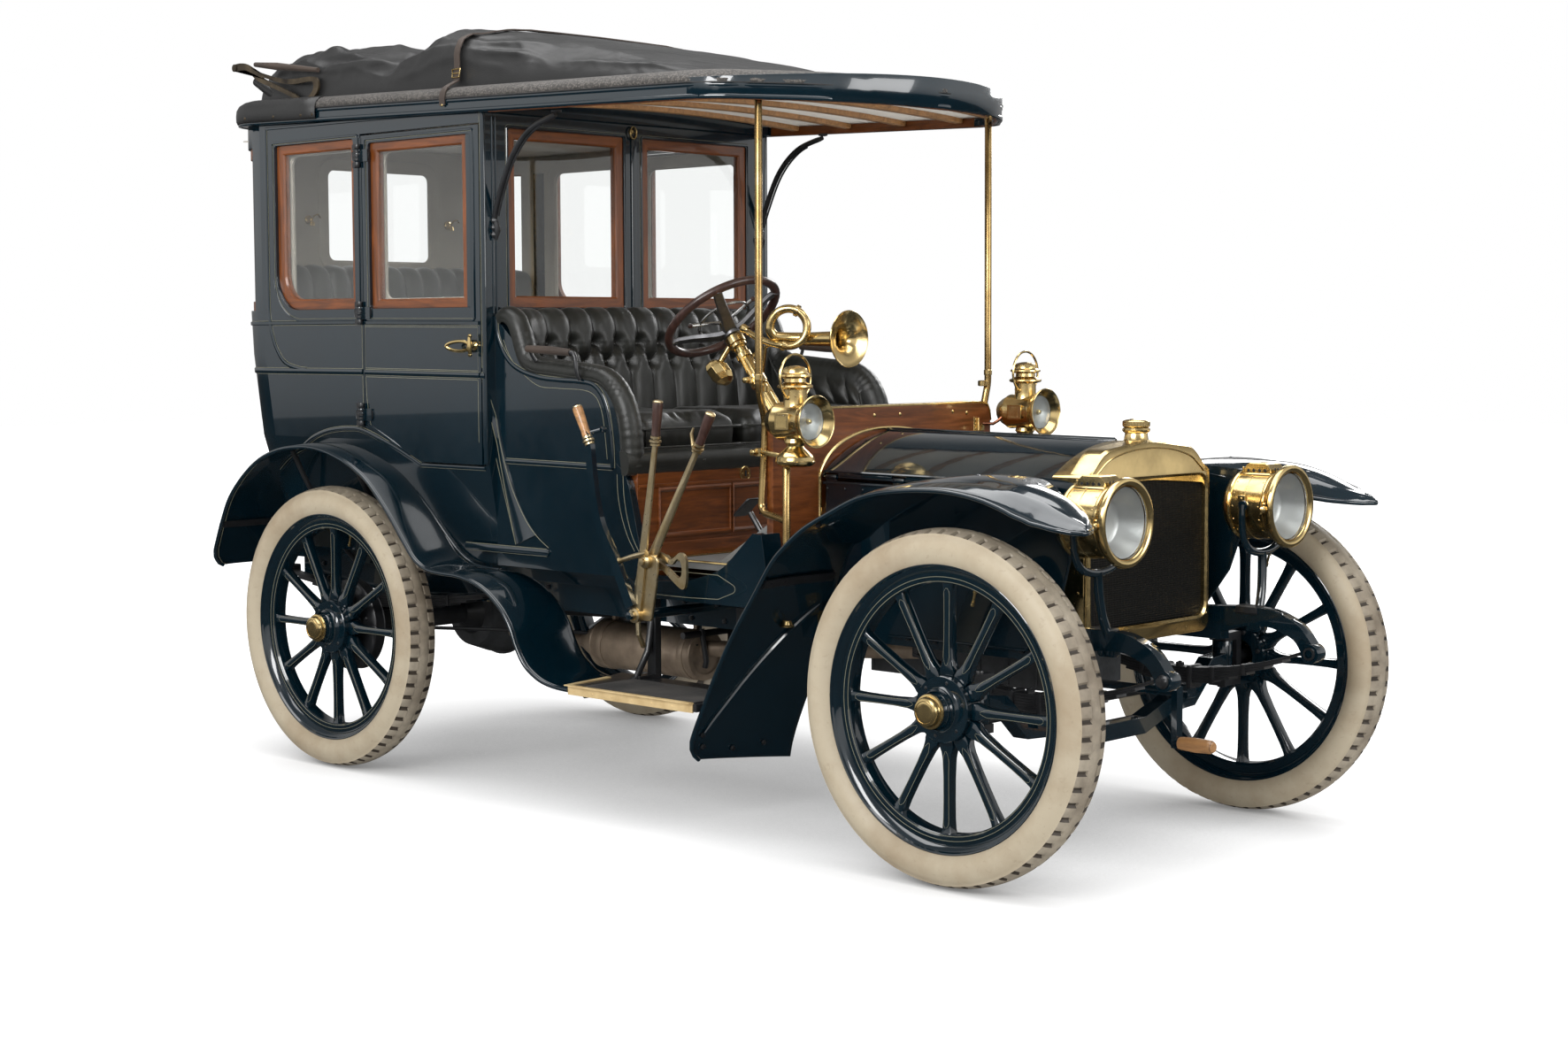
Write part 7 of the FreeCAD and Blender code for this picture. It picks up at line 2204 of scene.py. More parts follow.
def lamps():
    """Headlamps and side lamps with their reflectors and bull's eyes, and the forks of the headlamps."""
    # the headlamp's black iron here only darkens its vent holes, as painted shade
    for name, make, trim in (("headlamp", headlamp, "black_iron"), ("side_lamp", side_lamp, "lamp_glass")):
        for side, out in SIDES:
            work = make()
            flip(work, out)
            work.piece(f"{name}_{side}", "car", ("brass", trim), (f"{name}s",), "brass", sharp=35)
    for side, out in SIDES:
        work = Work()
        dish = [(0, 92.5), (-5, 89), (-58, 64), (-62, 58), (-64, 44), (-64, TIP)]
        work.turned(dish, (2953, HEADLAMP_Y, HEADLAMP_Z), AHEAD, 0, 48)
        mouth = (1983, SIDE_LAMP_Y, SIDE_LAMP_Z)
        dish = [(-18 * (1 - (r / 50) ** 2), r) for r in (51, 44, 34, 22, 10, TIP)]
        work.turned(dish, mouth, AHEAD, 0, 36)
        work.turned(((-16, 8), (-4, 6), (-2, TIP)), mouth, AHEAD, 1, 12)
        flip(work, out)
        work.piece(f"reflectors_{side}", "car", ("silver", "brass"), (), "glass", sharp=60)
        # bull's eye
        work = Work()
        bulge = [(9 * (1 - (r / 51) ** 2) + 1.5, r) for r in (50, 44, 36, 27, 18, 9, TIP)]
        work.turned(bulge, (1987, SIDE_LAMP_Y, SIDE_LAMP_Z), AHEAD, 0, 36)
        flip(work, out)
        work.piece(f"bulls_eye_{side}", "car", "lamp_glass", (), "glass", sharp=70)
    # forks with one stem each, down to the frame horns
    work = Work()
    y0 = HEADLAMP_Y
    arc = curve([(2876, y0 - 106, 952), (2876, y0 - 107, 905), (2876, y0 - 98, 858), (2876, y0 - 66, 824),
                 (2876, y0, 812), (2876, y0 + 66, 824), (2876, y0 + 98, 858), (2876, y0 + 107, 905),
                 (2876, y0 + 106, 952)], 5)
    work.tube(arc, ((0, 9), (0.5, 12), (1, 9)), 0, 12)
    stem = curve([(2876, y0, 814), (2878, y0 - 2, 760), (2882, y0 - 12, 700), (2886, y0 - 30, 650),
                  (2884, 357, 606)], 6)
    work.tube(stem, ((0, 13), (0.8, 13), (1, 18)), 0, 12)
    work.block((2856, 340, 590), (2912, 374, 618), 0, 6)
    work.nuts([(2868, 357, 618), (2900, 357, 618)], (0, 0, 1), 9, 7)
    for side in (1, -1):
        work.turned(((-8, 13), (0, 15), (5, 13), (7, TIP)), (2876, y0 + side * 104, 950), (0, side, 0), 0, 16)
    work.mirror()
    work.piece("headlamp_forks", "car", "coach_paint", ("headlamp_brackets",), "body_blue")


POST_X = 1784


def post_collars():
    """Collars, ferrules and finials on the brass windscreen posts."""
    work = Work()
    for z, r in ((1276, 14.5), (1310, 13), (2120, 16), (2132, 13.5), (1180, 13)):
        y = lerp(523, 526, (2150 - z) / 874) if z > 1276 else 498
        work.turned(((-9, 11), (-7, r), (7, r), (9, 11)), (POST_X, y, z), (0, 0, 1), 0, 20)
    work.turned(((0, 30), (3, 30), (5, 24), (8, 15), (22, 13)), (POST_X, 523, 2148), (0, 0, -1), 0, 24)
    work.studs([(POST_X + 22 * math.cos(a), 523 + 22 * math.sin(a), 2144) for a in (0.6, 2.7, 4.8)],
               (0, 0, -1), 3, 2)
    work.turned(((0, 22), (3, 22), (6, 15), (16, 13)), (1909, 545, 606), (0, 0, 1), 0, 20)
    work.mirror()
    work.piece("post_collars", "car", "brass", (), "brass")


# ---- controls -------------------------------------------------------------------------------

COLUMN_ANGLE = math.radians(52.3)
COLUMN_UP = Vector((-math.cos(COLUMN_ANGLE), 0, math.sin(COLUMN_ANGLE)))
WHEEL_AT = Vector((1378, -260, 1485))
DASH_FACE, HEEL_FACE = 1815, 1331
# outlines of the bars that taper along their length, as shares of their half width and depth
WHEEL_SPOKE = ((1, -0.6), (1, 0.6), (0.3, 1), (-0.8, 0.8), (-0.8, -0.8), (0.3, -1))
LEVER_BAR = ((-1, -0.5), (-0.6, -1), (0.6, -1), (1, -0.5), (1, 0.5), (0.6, 1), (-0.6, 1), (-1, 0.5))
SQUARE_BAR = ((-1, -1), (1, -1), (1, 1), (-1, 1))


def steering():
    """Hand wheel, spark levers, column fittings, control box and looped horn."""
    side, up = square_to(COLUMN_UP)

    def wheel_point(radius, angle, along):
        return WHEEL_AT + COLUMN_UP * along + (side * math.cos(angle) + up * math.sin(angle)) * radius
    work = Work()
    rows = []
    for a in around(96):
        section = []
        for b in around(14):
            bump = 1.0 if math.sin(b) > -0.2 else 1.0 + 0.8 * abs(math.sin(a * 24)) / 12
            section.append(wheel_point(180 + 14 * math.cos(b) * bump, a, 12.5 * math.sin(b)))
        rows.append(section)
    work.skin(rows, 0, wrap=True, ring=True)
    work.piece("hand_wheel_rim", "hand_wheel_body", "dark_wood", ("steering_wheel",), "mahogany", sharp=60)
    work = Work()
    reach = ((176, -4), (150, -8), (110, -22), (70, -40), (36, -54), (16, -58))
    for a in around(4, 45.0):
        work.sweep([wheel_point(r, a, h) for r, h in reach],
                   lambda t: [(lerp(7, 10, t) * u, lerp(15, 25, t ** 2) * v) for u, v in WHEEL_SPOKE],
                   0, up=COLUMN_UP)
        tip = wheel_point(172, a, -6)
        work.block(tip - Vector((11, 11, 3)), tip + Vector((11, 11, 4)), 0, 3)
    work.turned(((-74, 22), (-72, 27), (-58, 28), (-48, 24), (-44, 16), (-38, 14), (-34, 15), (-28, 13),
                 (-26, TIP)), WHEEL_AT, COLUMN_UP, 0, 32)
    work.nuts([WHEEL_AT + COLUMN_UP * -28], COLUMN_UP, 13, 10)
    work.piece("hand_wheel_spokes", "hand_wheel_body", "cast_metal", (), "brass")
    # spark and throttle levers over the spokes
    work = Work()
    quadrant = [wheel_point(84, math.radians(20 + 11 * k), -8) for k in range(23)]
    work.tube(quadrant, 4, 0, 8)
    for a, r in ((60, 104), (200, 112)):
        a = math.radians(a)
        work.tube([wheel_point(6, a, -20), wheel_point(50, a, -12), wheel_point(r, a, -4)],
                  ((0, 6), (0.9, 4), (1, 6)), 0, 10)
        knob = ((-8, TIP), (-6, 6), (0, 8.5), (6, 6), (8, TIP))
        work.turned(knob, wheel_point(r + 4, a, -4), (0, 0, 1), 1, 14)
    work.turned(((-30, 9), (-8, 9), (-4, 12), (-1, 10), (0, TIP)), WHEEL_AT, COLUMN_UP, 0, 20)
    work.piece("spark_levers", "car", ("steel", "dark_wood"), (), "brass")

    work = Work()

    def along(distance):
        return WHEEL_AT + COLUMN_UP * distance
    for d, r, h in ((-92, 29, 14), (-112, 26, 6), (-150, 24, 10), (-240, 27, 16), (-256, 24, 6),
                    (-420, 25, 12), (-545, 30, 12)):
        work.turned(((-h, 19.5), (-h + 2, r), (h - 2, r), (h, 19.5)), along(d), COLUMN_UP, 0, 28)
    # clamp with its two screws
    work.block(along(-240) + Vector((-8, -42, -10)), along(-240) + Vector((8, -20, 10)), 0, 3)
    tap(work, along(-240) + Vector((0, -40, 0)), (0, -1, 0))
    tap(work, along(-150) + Vector((12, 18, 0)), (0.3, 1, 0.2))
    box = along(-118) + Vector((-66, -36, -64))
    work.tube([box + Vector((10, 0, 10)), along(-104) + Vector((-20, -8, 0)), along(-100)], 9, 0, 12)
    for rod in (((-150, (16, 14, -4)), (-320, (10, 20, 6)), (-520, (0, 24, 0))),
                ((-150, (10, -22, -4)), (-330, (6, -24, 0)), (-540, (0, -26, 0)))):
        work.tube([along(distance) + Vector(beside) for distance, beside in rod], 5, 0, 8)
    work.piece("column_fittings", "car", "brass", (), "brass", sharp=35)

    # control box: a faceted brass case hung under the wheel
    rows = []
    for t, size in ((0, 14), (10, 30), (26, 37), (52, 37), (70, 30), (82, 14)):
        centre = box + Vector((t * 0.55, t * 0.25, -t * 0.8)) - Vector((10, 6, -22))
        rows.append([centre + Vector((math.cos(a) * 0.75, math.sin(a), math.cos(a) * 0.5)) * size
                     for a in (turn + 0.39 for turn in around(8))])
    work = Work()
    work.skin(rows, 0, wrap=True, ends=True)
    work.piece("control_box", "car", "brass", (), "brass", sharp=12, bevel=1)

    # looped horn
    work = Work()
    centre, normal = Vector((1643, -250, 1452)), Vector((0.6, -0.8, 0))
    flat, top = Vector((0.8, 0.6, 0)), Vector((0, 0, 1))
    path = [Vector((1478, -262, 1446)), Vector((1530, -270, 1424)), Vector((1588, -268, 1406))]
    for k, a in enumerate(around(21, -110.0, 300.0)):
        drift = normal * lerp(12, -14, k / 20)
        path.append(centre + drift + (flat * math.cos(a) + top * math.sin(a)) * 56)
    path += [centre + flat * u + normal * v + top * w for u, v, w in (
        (-42, -20, -26), (-12, -27, -31), (28, -29, -33), (66, -22, -34), (100, -5, -34), (138, 20, -34))]
    line = curve(path, 4)
    work.tube(line, ((0, 9), (0.1, 11), (0.35, 12.5), (0.68, 13), (0.8, 15), (1, 23)), 0, 16, ends=False)
    bell = ((0, 21), (16, 26), (30, 33), (42, 43), (50, 56), (55, 72), (57, 82), (60, 84.5), (62, 83),
            (60, 80), (56, 70), (51, 54), (43, 40), (30, 29), (10, 22))
    work.turned(bell, (1764, -182, 1418), AHEAD, 0, 56)
    work.turned(((0, TIP), (0, 12), (4, 14), (10, 14), (14, 12), (26, 11), (30, 9)), (1462, -260, 1452),
                (1, -0.1, -0.3), 0, 20)
    for t, r in ((0.12, 15), (0.5, 18), (0.93, 21)):
        at = int(t * (len(line) - 1))
        work.turned(((-6, 10), (-5, r), (5, r), (6, 10)), line[at], line[at + 1] - line[at], 0, 20)
    work.tube([along(-240) + Vector((0, 20, 6)), Vector((1560, -262, 1395)), Vector((1592, -262, 1404))],
              6, 0, 10)
    work.piece("looped_horn", "car", "brass", ("horn",), "brass", sharp=50)


def tapered_lever(work, foot, head):
    """A flat brass lever, wide at the foot and slim at the head."""
    foot, head = Vector(foot), Vector(head)
    work.sweep([foot.lerp(head, k / 8) for k in range(9)],
               lambda t: [(lerp(17, 8.5, t) * a, lerp(7, 5.95, t) * b) for a, b in LEVER_BAR],
               0, up=(1, 0, 0))


def grip(work, foot, head, kind):
    """A turned wooden grip with a ringed ferrule below and a gold tip."""
    foot, head = Vector(foot), Vector(head)
    way = head - foot
    length, radius = way.length, 15.0
    wood = ((0.2, 0.86), (0.6, 1), (0.9, 1.04), (0.96, 0.98))
    work.turned([(0, 11), (2, 14)] + [(length * a, radius * r) for a, r in wood], foot, way, kind, 20)
    cap = ((0.94, 1.02), (0.97, 1.03), (1.0, 0.86), (1.02, 0.4))
    work.turned([(length * a, radius * r) for a, r in cap] + [(length * 1.025, TIP)], foot, way, 0, 20)
    for low, r in ((-24, 15), (-14, 18), (-3, 15.5)):
        work.turned(((low - 4, 11), (low - 3, r), (low + 3, r), (low + 4, 11)), foot, way, 0, 20)


def hand_levers():
    """The three hand levers outside the driver's seat, their quadrant and cross shaft."""
    work = Work()
    tapered_lever(work, (1444, -690, 620), (1530, -690, 1132))
    grip(work, (1530, -690, 1140), (1540, -690, 1243), 1)
    tapered_lever(work, (1484, -674, 768), (1688, -674, 1114))
    grip(work, (1692, -674, 1122), (1739, -674, 1211), 1)
    # latch trigger of the second lever and its rod
    work.tube([(1662, -662, 1086), (1650, -660, 1120), (1646, -660, 1150), (1654, -660, 1166)],
              ((0, 5), (0.8, 5), (1, 3)), 0, 10)
    work.turned(((-6, TIP), (-5, 6), (5, 6), (6, TIP)), (1664, -664, 1088), (0, 1, 0), 0, 12)
    work.tube([(1664, -664, 1088), (1500, -664, 812)], 3.5, 0, 8)
    # third lever, blue black with a light grip
    third = curve([(x, -704, z) for x, z in ((1438, 640), (1370, 770), (1304, 880), (1276, 1000),
                                             (1262, 1110), (1246, 1142))], 6)
    work.sweep(third, lambda t: [(lerp(17, 12, t) * a, 9 * b) for a, b in SQUARE_BAR], 2, up=(1, 0, 0.3))
    grip(work, (1252, -704, 1132), (1207, -704, 1222), 3)
    work.tube([(1244, -702, 1140), (1262, -690, 1146), (1278, -676, 1152)], 6, 2, 10)
    work.turned(((-8, TIP), (-7, 9), (7, 9), (8, TIP)), (1282, -668, 1153), (0, 1, 0), 2, 14)
    # quadrant
    plate = curve([(1470, 772), (1520, 752), (1600, 700), (1620, 718), (1622, 760), (1618, 792), (1596, 806),
                   (1560, 784), (1520, 800), (1484, 806), (1462, 796)], 5, closed=True)
    slot_line = curve([(1500, 778), (1545, 758), (1590, 732), (1604, 748), (1600, 776), (1584, 786),
                       (1560, 768), (1520, 784)], 5, closed=True)
    outer = spaced(plate, 60)
    inner = best_turn(outer, spaced(slot_line, 60))
    rows = [[(p.x, y, p.y) for p in line] for line, y in
            ((outer, -662), (outer, -652), (inner, -652), (inner, -662))]
    work.skin(rows + rows[:1], 0, wrap=True)
    arm = curve([(1380, -702, 770), (1408, -702, 778), (1450, -700, 790), (1496, -698, 800)], 5)
    work.tube(arm, ((0, 9), (0.08, 11), (0.2, 7), (1, 9)), 0, 12)
    work.turned(((-9, TIP), (-7, 7), (0, 10.5), (7, 7), (9, TIP)), (1376, -702, 769), (1, 0, 0.2), 0, 16)
    # bracket, cross shaft and foot
    work.plate(rounded([(1420, 600, 10), (1500, 600, 14), (1520, 700, 10), (1530, 790, 18), (1455, 800, 18),
                        (1430, 700, 8)], 4), (0, -676, 0), (1, 0, 0), (0, 0, 1), 10, 0, 2)
    work.turned(((0, 20), (16, 20), (20, 16), (22, 10), (30, 10), (31, TIP)), (1484, -680, 775),
                (0, -1, 0), 0, 24)
    work.tube([(1482, -600, 775), (1482, -690, 775)], 14, 0, 16)
    work.tube([(1444, -425, 615), (1444, -700, 615)], 15, 2, 16)
    work.turned(((-12, TIP), (-12, 22), (12, 22), (14, 14), (24, 13), (25, TIP)), (1444, -690, 615),
                (0, -1, 0), 0, 24)
    work.nuts([(1444, -716, 615)], (0, -1, 0), 12, 8, 2)
    work.tube([(1450, -690, 600), (1452, -690, 560), (1440, -660, 520)], 8, 0, 10)
    work.piece("levers_and_quadrant", "car", ("pale_brass", "dark_wood", "coach_paint", "light_wood"),
               ("hand_levers",), "brass", sharp=35)


def dash_and_boards():
    """Fittings of the dash, heel board and floor, and the starting handle's grip."""
    work = Work()
    top = [(1802, y, 1217) for y in (-448, -200, 0, 200, 448)]
    edge = [(1802, -501, 1160), (1802, -490, 1200)] + top + [(1802, 490, 1200), (1802, 501, 1160)]
    work.sweep(curve(edge, 4), ((-2, -15), (3, -15), (4.5, -12), (4.5, 12), (3, 15), (-2, 15)), 0,
               up=lambda p: Vector((0, p.y * 0.35 if abs(p.y) > 440 else 0, 100)))
    for y, z in ((59, 1190), (311, 1192), (380, 1186), (-59, 1190), (-311, 1192), (-380, 1186)):
        work.studs([(DASH_FACE, y, z)], AHEAD, 6, 4)
    for y in (435, -435):
        work.block((DASH_FACE, y - 22, 1128), (DASH_FACE + 4, y - 4, 1172), 0, 1)
        work.block((DASH_FACE, y + 2, 1128), (DASH_FACE + 4, y + 30, 1146), 0, 1)
        work.turned(((-20, TIP), (-20, 4), (20, 4), (20, TIP)), (DASH_FACE + 5, y - 1, 1150),
                    (0, 0, 1), 0, 10)
        work.studs([(DASH_FACE + 4, y - 13, z) for z in (1136, 1150, 1164)], AHEAD, 3, 2)
    work.tube([(1822, 452, 1150), (1850, 470, 1150), (1862, 480, 1160), (1880, 490, 1178)], 5, 1, 8)
    work.piece("dash_fittings", "car", ("brass", "copper"), (), "brass")
    # heel board: framed panel, key plate and knob
    work = Work()
    face = HEEL_FACE
    for y0, y1 in ((-487, -183), (-170, 170), (183, 487)):
        panel = [(Vector((face, y, z)), Vector(AHEAD))
                 for y, z in ((y0, 828), (y1, 828), (y1, 968), (y0, 968))]
        strip(work, panel, ((-1, -9), (2, -9), (5, -5), (6, 0), (3, 6), (1, 9), (-1, 9)), 0, True)
    work.sweep([(face, -570, 980), (face, 570, 980)], ((-1, -6), (3, -5), (4, 0), (3, 5), (-1, 6)), 0,
               up=AHEAD)
    work.sweep([(face, -575, 786), (face, 575, 786)],
               ((-1, -22), (7, -22), (9, -16), (9, 16), (6, 22), (-1, 22)), 0, up=AHEAD)
    work.piece("heel_panels", "car", "mahogany_across", (), "mahogany")
    work = Work()
    work.turned(((0, 24), (2, 24), (3.5, 22), (3.5, 20), (2.6, 19), (2.6, TIP)), (face, -116, 1000), AHEAD,
                0, 32)
    work.block((face + 2.6, -119, 992), (face + 4.6, -113, 1010), 1, 0.6)
    work.studs([(face + 2.6, -129, 1000), (face + 2.6, -103, 1000)], AHEAD, 2.4, 1.6)
    work.turned(((0, 6), (3, 5), (6, 5), (9, 9), (13, 9.5), (16, 6), (17, TIP)), (face, 106, 939), AHEAD,
                0, 20)
    work.piece("heel_fittings", "car", ("brass", "black_iron"), (), "brass")
    # floor boards, pedals and their plates
    work = Work()
    for y in (-330, -220):
        work.tube([(1640, y, 766), (1600, y, 850), (1560, y, 900)], 9, 1, 10)
        work.plate(box_outline(-30, -42, 30, 42, 10, 4), (1548, y, 914), (0, 1, 0), (-0.75, 0, -0.65), 7,
                   1, 2)
    work.sweep([(1345, -498, 762), (1345, 498, 762)], ((-1, -14), (3, -13), (3, 13), (-1, 14)), 0,
               up=(0, 0, 1))
    for y in (-498, 498):
        work.sweep([(1345, y, 762), (1780, y, 762)], ((-1, -8), (3, -7), (3, 7), (-1, 8)), 0, up=(0, 0, 1))
    work.piece("floor_fittings", "car", ("brass", "black_iron"), (), "brass")
    work = Work()
    work.tube([(lerp(2870, 2979, k / 12), 0, 314) for k in range(13)],
              ((0, 17), (0.1, 18.5), (0.5, 20.5), (0.92, 18.5), (1, 13)), 0, 20)
    work.piece("handle_grip", "car", "light_wood", (), "mahogany")


def build_brightwork():
    """Bonnet trim, radiator, lamps and the collars of the windscreen posts."""
    bonnet_details()
    radiator()
    lamps()
    post_collars()


def build_controls():
    """Steering gear with the horn, hand levers, dash, heel board and floor fittings."""
    steering()
    hand_levers()
    dash_and_boards()


# ---- stage ----------------------------------------------------------------------------------

CAMERA_AT, CAMERA_YAW, CAMERA_PITCH, CAMERA_ROLL = (6483.5, -5434.3, 1427.8), 43.156, 4.49, -0.003
CAMERA_LENS = 54.61


def softbox(name, at, towards, size, power):
    """A soft area light."""
    lamp = bpy.data.lights.new(name, "AREA")
    lamp.shape = "RECTANGLE"
    lamp.size, lamp.size_y = size
    lamp.energy = power
    thing = bpy.data.objects.new(name, lamp)
    bpy.context.scene.collection.objects.link(thing)
    thing.location = at
    thing.rotation_euler = (Vector(towards) - Vector(at)).to_track_quat("-Z", "Y").to_euler()


def studio_world(scene):
    """A soft room for the reflections, plain white to the camera."""
    world = bpy.data.worlds.new("studio")
    scene.world = world
    world.use_nodes = True
    tree = world.node_tree
    tree.nodes.clear()
    place_of = tree.nodes.new("ShaderNodeTexCoord")
    split = tree.nodes.new("ShaderNodeSeparateXYZ")
    ramp = tree.nodes.new("ShaderNodeValToRGB")
    ramp.color_ramp.elements[0].position = 0.0
    ramp.color_ramp.elements[0].color = (0.05, 0.05, 0.055, 1)
    for position, value in ((0.44, 0.06), (0.5, 0.62), (0.56, 0.85), (0.68, 0.8), (0.78, 0.25)):
        element = ramp.color_ramp.elements.new(position)
        element.color = (value, value, value, 1)
    ramp.color_ramp.elements[-1].position = 1.0
    ramp.color_ramp.elements[-1].color = (0.3, 0.3, 0.31, 1)
    height = tree.nodes.new("ShaderNodeMapRange")
    height.inputs["From Min"].default_value = -1.0
    glow = tree.nodes.new("ShaderNodeBackground")
    glow.inputs["Strength"].default_value = 1.0
    plain = tree.nodes.new("ShaderNodeBackground")
    plain.inputs["Color"].default_value = (1, 1, 1, 1)
    path = tree.nodes.new("ShaderNodeLightPath")
    seen = tree.nodes.new("ShaderNodeMath")
    seen.operation = "MAXIMUM"
    mix = tree.nodes.new("ShaderNodeMixShader")
    end = tree.nodes.new("ShaderNodeOutputWorld")
    facing = tree.nodes.new("ShaderNodeVectorMath")
    facing.operation = "DOT_PRODUCT"
    facing.inputs[1].default_value = (-0.7, 0.7, 0.0)
    dim = tree.nodes.new("ShaderNodeMapRange")
    dim.inputs["From Min"].default_value, dim.inputs["From Max"].default_value = 0.1, 0.8
    dim.inputs["To Min"].default_value, dim.inputs["To Max"].default_value = 1.0, 0.32
    for a, b in ((place_of.outputs["Generated"], split.inputs[0]), (split.outputs[2], height.inputs[0]),
                 (place_of.outputs["Generated"], facing.inputs[0]), (facing.outputs["Value"], dim.inputs[0]),
                 (dim.outputs[0], glow.inputs["Strength"]),
                 (height.outputs[0], ramp.inputs[0]), (ramp.outputs[0], glow.inputs[0]),
                 (path.outputs["Is Camera Ray"], seen.inputs[0]),
                 (path.outputs["Is Transmission Ray"], seen.inputs[1]),
                 (seen.outputs[0], mix.inputs[0]), (glow.outputs[0], mix.inputs[1]),
                 (plain.outputs[0], mix.inputs[2]), (mix.outputs[0], end.inputs[0])):
        tree.links.new(a, b)


def pale_floor(scene):
    """A pale floor that glows: the glow drops close under the car as a painted contact shadow and rises
    further out, and the floor shows darker in reflections.
    """
    form = bmesh.new()
    bmesh.ops.create_grid(form, x_segments=12, y_segments=12, size=30.0)
    mesh = bpy.data.meshes.new("floor")
    form.to_mesh(mesh)
    form.free()
    floor = bpy.data.objects.new("floor", mesh)
    scene.collection.objects.link(floor)
    floor.location.z = -0.0005
    t = Tree("pale_floor")
    apart = t.add("ShaderNodeVectorMath", {"Vector": t.place}, operation="LENGTH").outputs["Value"]
    # the glow follows ambient occlusion, a painted contact shadow under the car, and grows towards the edges
    # of the floor
    contact_shadow = t.add("ShaderNodeAmbientOcclusion", {"Distance": 1.1}).outputs["AO"]
    glow = t.maths("ADD", t.spread(contact_shadow, 0.1, 0.85, 0.16, 0.86), t.spread(apart, 2.4, 5.0, 0.0, 0.4))
    t.shade(Base_Color=(0.34, 0.34, 0.34, 1), Roughness=t.spread(t.noise(3.0), 0.3, 0.7, 0.86, 0.94),
            Emission_Color=(1, 1, 1, 1), Emission_Strength=glow)
    t.switch("Is Glossy Ray", t.add("ShaderNodeBsdfDiffuse", {"Color": (0.05, 0.05, 0.05, 1)}))
    mesh.materials.append(t.material)


def build_stage():
    """Studio world, floor, four soft lights and the camera."""
    scene = bpy.context.scene
    scene.view_settings.view_transform = "Standard"
    studio_world(scene)
    pale_floor(scene)
    softbox("overhead", (0.4, -0.4, 5.2), (0.2, 0, 0.6), (7.0, 4.0), 300)
    softbox("key", (2.0, -6.5, 4.2), (0.3, 0, 0.7), (4.5, 2.2), 330)
    softbox("front", (7.5, 0.8, 3.0), (0.5, 0, 0.8), (4.0, 2.6), 150)
    softbox("far", (-1.0, 6.5, 4.0), (0, 0, 1), (4.0, 2.0), 160)

    camera = bpy.data.objects.new("camera", bpy.data.cameras.new("camera"))
    scene.collection.objects.link(camera)
    yaw, pitch = math.radians(CAMERA_YAW), math.radians(CAMERA_PITCH)
    ahead = Vector((-math.sin(yaw) * math.cos(pitch), math.cos(yaw) * math.cos(pitch), -math.sin(pitch)))
    right = ahead.cross(Vector((0, 0, 1))).normalized()
    up = right.cross(ahead)
    c, s = math.cos(CAMERA_ROLL), math.sin(CAMERA_ROLL)
    turned_right, turned_up = c * right + s * up, -s * right + c * up
    matrix = Matrix((turned_right, turned_up, -ahead)).transposed().to_4x4()
    matrix.translation = row_frame(CAMERA_AT)
    camera.matrix_world = matrix
    camera.data.lens = CAMERA_LENS
    camera.data.sensor_width = 36.0
    camera.data.clip_start, camera.data.clip_end = 0.1, 100.0
    scene.camera = camera


# ---- operators ------------------------------------------------------------------------------

def dress_carried():
    """Finishes and softened edges for the carried pieces that are in the frame."""
    for finish, names in CARRIED.items():
        dress([name for name in names.split() if name in NODES], finish)


class TOWNCAR_OT_finishes(bpy.types.Operator):
    """Make every finish from the colours in the panel"""
    bl_idname = "towncar.finishes"
    bl_label = "Finishes"
    bl_options = {"REGISTER", "UNDO"}

    def execute(self, context):
        make_finishes()
        return {"FINISHED"}


class TOWNCAR_OT_carried_pieces(bpy.types.Operator):
    """Give the carried pieces their finishes and softened edges"""
    bl_idname = "towncar.carried_pieces"
    bl_label = "Carried pieces"
    bl_options = {"REGISTER", "UNDO"}

    def execute(self, context):
        dress_carried()
        return {"FINISHED"}


class TOWNCAR_OT_wheels(bpy.types.Operator):
    """Tyres, rims, spokes, hubs and brake drums"""
    bl_idname = "towncar.wheels"
    bl_label = "Wheels"
    bl_options = {"REGISTER", "UNDO"}

    def execute(self, context):
        build_wheels()
        return {"FINISHED"}


class TOWNCAR_OT_coachwork(bpy.types.Operator):
    """Mouldings, lines, window frames, lining, handles and hinges"""
    bl_idname = "towncar.coachwork"
    bl_label = "Coachwork"
    bl_options = {"REGISTER", "UNDO"}

    def execute(self, context):
        build_coachwork()
        return {"FINISHED"}


class TOWNCAR_OT_seats(bpy.types.Operator):
    """Buttoned driver's seat, cushions, arm rails and the cabin's bench"""
    bl_idname = "towncar.seats"
    bl_label = "Seats"
    bl_options = {"REGISTER", "UNDO"}

    def execute(self, context):
        build_seats()
        return {"FINISHED"}


class TOWNCAR_OT_roof(bpy.types.Operator):
    """Roof mouldings and cloth, folded hood, straps, irons, stays and headlining"""
    bl_idname = "towncar.roof"
    bl_label = "Roof"
    bl_options = {"REGISTER", "UNDO"}

    def execute(self, context):
        build_roof()
        return {"FINISHED"}


class TOWNCAR_OT_undercarriage(bpy.types.Operator):
    """Fenders, running board trim, springs, frame and engine details"""
    bl_idname = "towncar.undercarriage"
    bl_label = "Undercarriage"
    bl_options = {"REGISTER", "UNDO"}

    def execute(self, context):
        build_undercarriage()
        return {"FINISHED"}


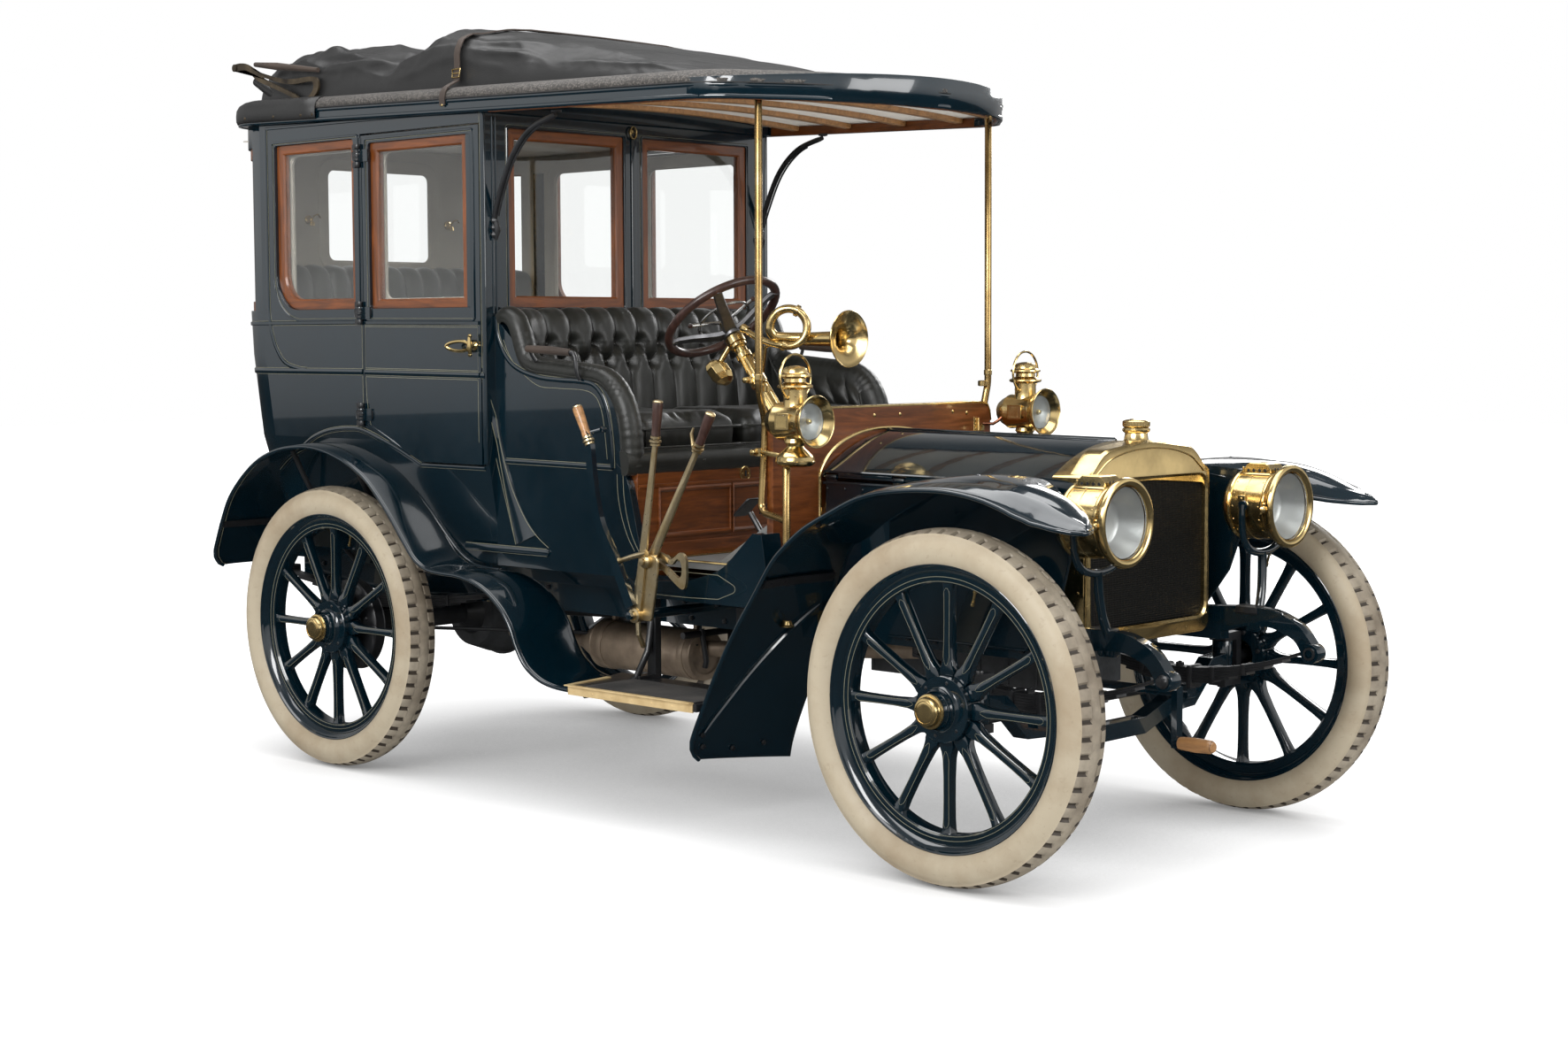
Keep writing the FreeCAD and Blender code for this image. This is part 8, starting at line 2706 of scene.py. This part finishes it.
class TOWNCAR_OT_brightwork(bpy.types.Operator):
    """Bonnet trim, radiator, headlamps, side lamps and post collars"""
    bl_idname = "towncar.brightwork"
    bl_label = "Brightwork"
    bl_options = {"REGISTER", "UNDO"}

    def execute(self, context):
        build_brightwork()
        return {"FINISHED"}


class TOWNCAR_OT_controls(bpy.types.Operator):
    """Hand wheel, column, horn, levers, dash, heel board and floor fittings"""
    bl_idname = "towncar.controls"
    bl_label = "Controls"
    bl_options = {"REGISTER", "UNDO"}

    def execute(self, context):
        build_controls()
        return {"FINISHED"}


class TOWNCAR_OT_stage(bpy.types.Operator):
    """Floor, studio light and camera"""
    bl_idname = "towncar.stage"
    bl_label = "Stage"
    bl_options = {"REGISTER", "UNDO"}

    def execute(self, context):
        build_stage()
        return {"FINISHED"}


OPERATORS = (TOWNCAR_OT_finishes, TOWNCAR_OT_carried_pieces, TOWNCAR_OT_wheels,
             TOWNCAR_OT_coachwork, TOWNCAR_OT_seats, TOWNCAR_OT_roof,
             TOWNCAR_OT_undercarriage, TOWNCAR_OT_brightwork, TOWNCAR_OT_controls,
             TOWNCAR_OT_stage)


class VIEW3D_PT_town_car(bpy.types.Panel):
    """Colours, sizes and pieces of the town car"""
    bl_label = "Town Car"
    bl_space_type = "VIEW_3D"
    bl_region_type = "UI"
    bl_category = "Town Car"

    def draw(self, context):
        for group in (context.scene.town_car_colors, context.scene.town_car_sizes):
            column = self.layout.column(align=True)
            for name in type(group).__annotations__:
                column.prop(group, name)
        column = self.layout.column(align=True)
        for operator in OPERATORS:
            column.operator(operator.bl_idname)


CLASSES = (TownCarColors, TownCarSizes, *OPERATORS, VIEW3D_PT_town_car)


def register():
    for cls in CLASSES:
        bpy.utils.register_class(cls)
    bpy.types.Scene.town_car_colors = PointerProperty(type=TownCarColors)
    bpy.types.Scene.town_car_sizes = PointerProperty(type=TownCarSizes)


def unregister():
    del bpy.types.Scene.town_car_sizes
    del bpy.types.Scene.town_car_colors
    for cls in reversed(CLASSES):
        bpy.utils.unregister_class(cls)


def main():
    """Make the whole car from its frame."""
    register()
    for operator in OPERATORS:
        group, name = operator.bl_idname.split(".")
        getattr(getattr(bpy.ops, group), name)()
    bpy.context.view_layer.update()


if __name__ == "__main__":
    main()
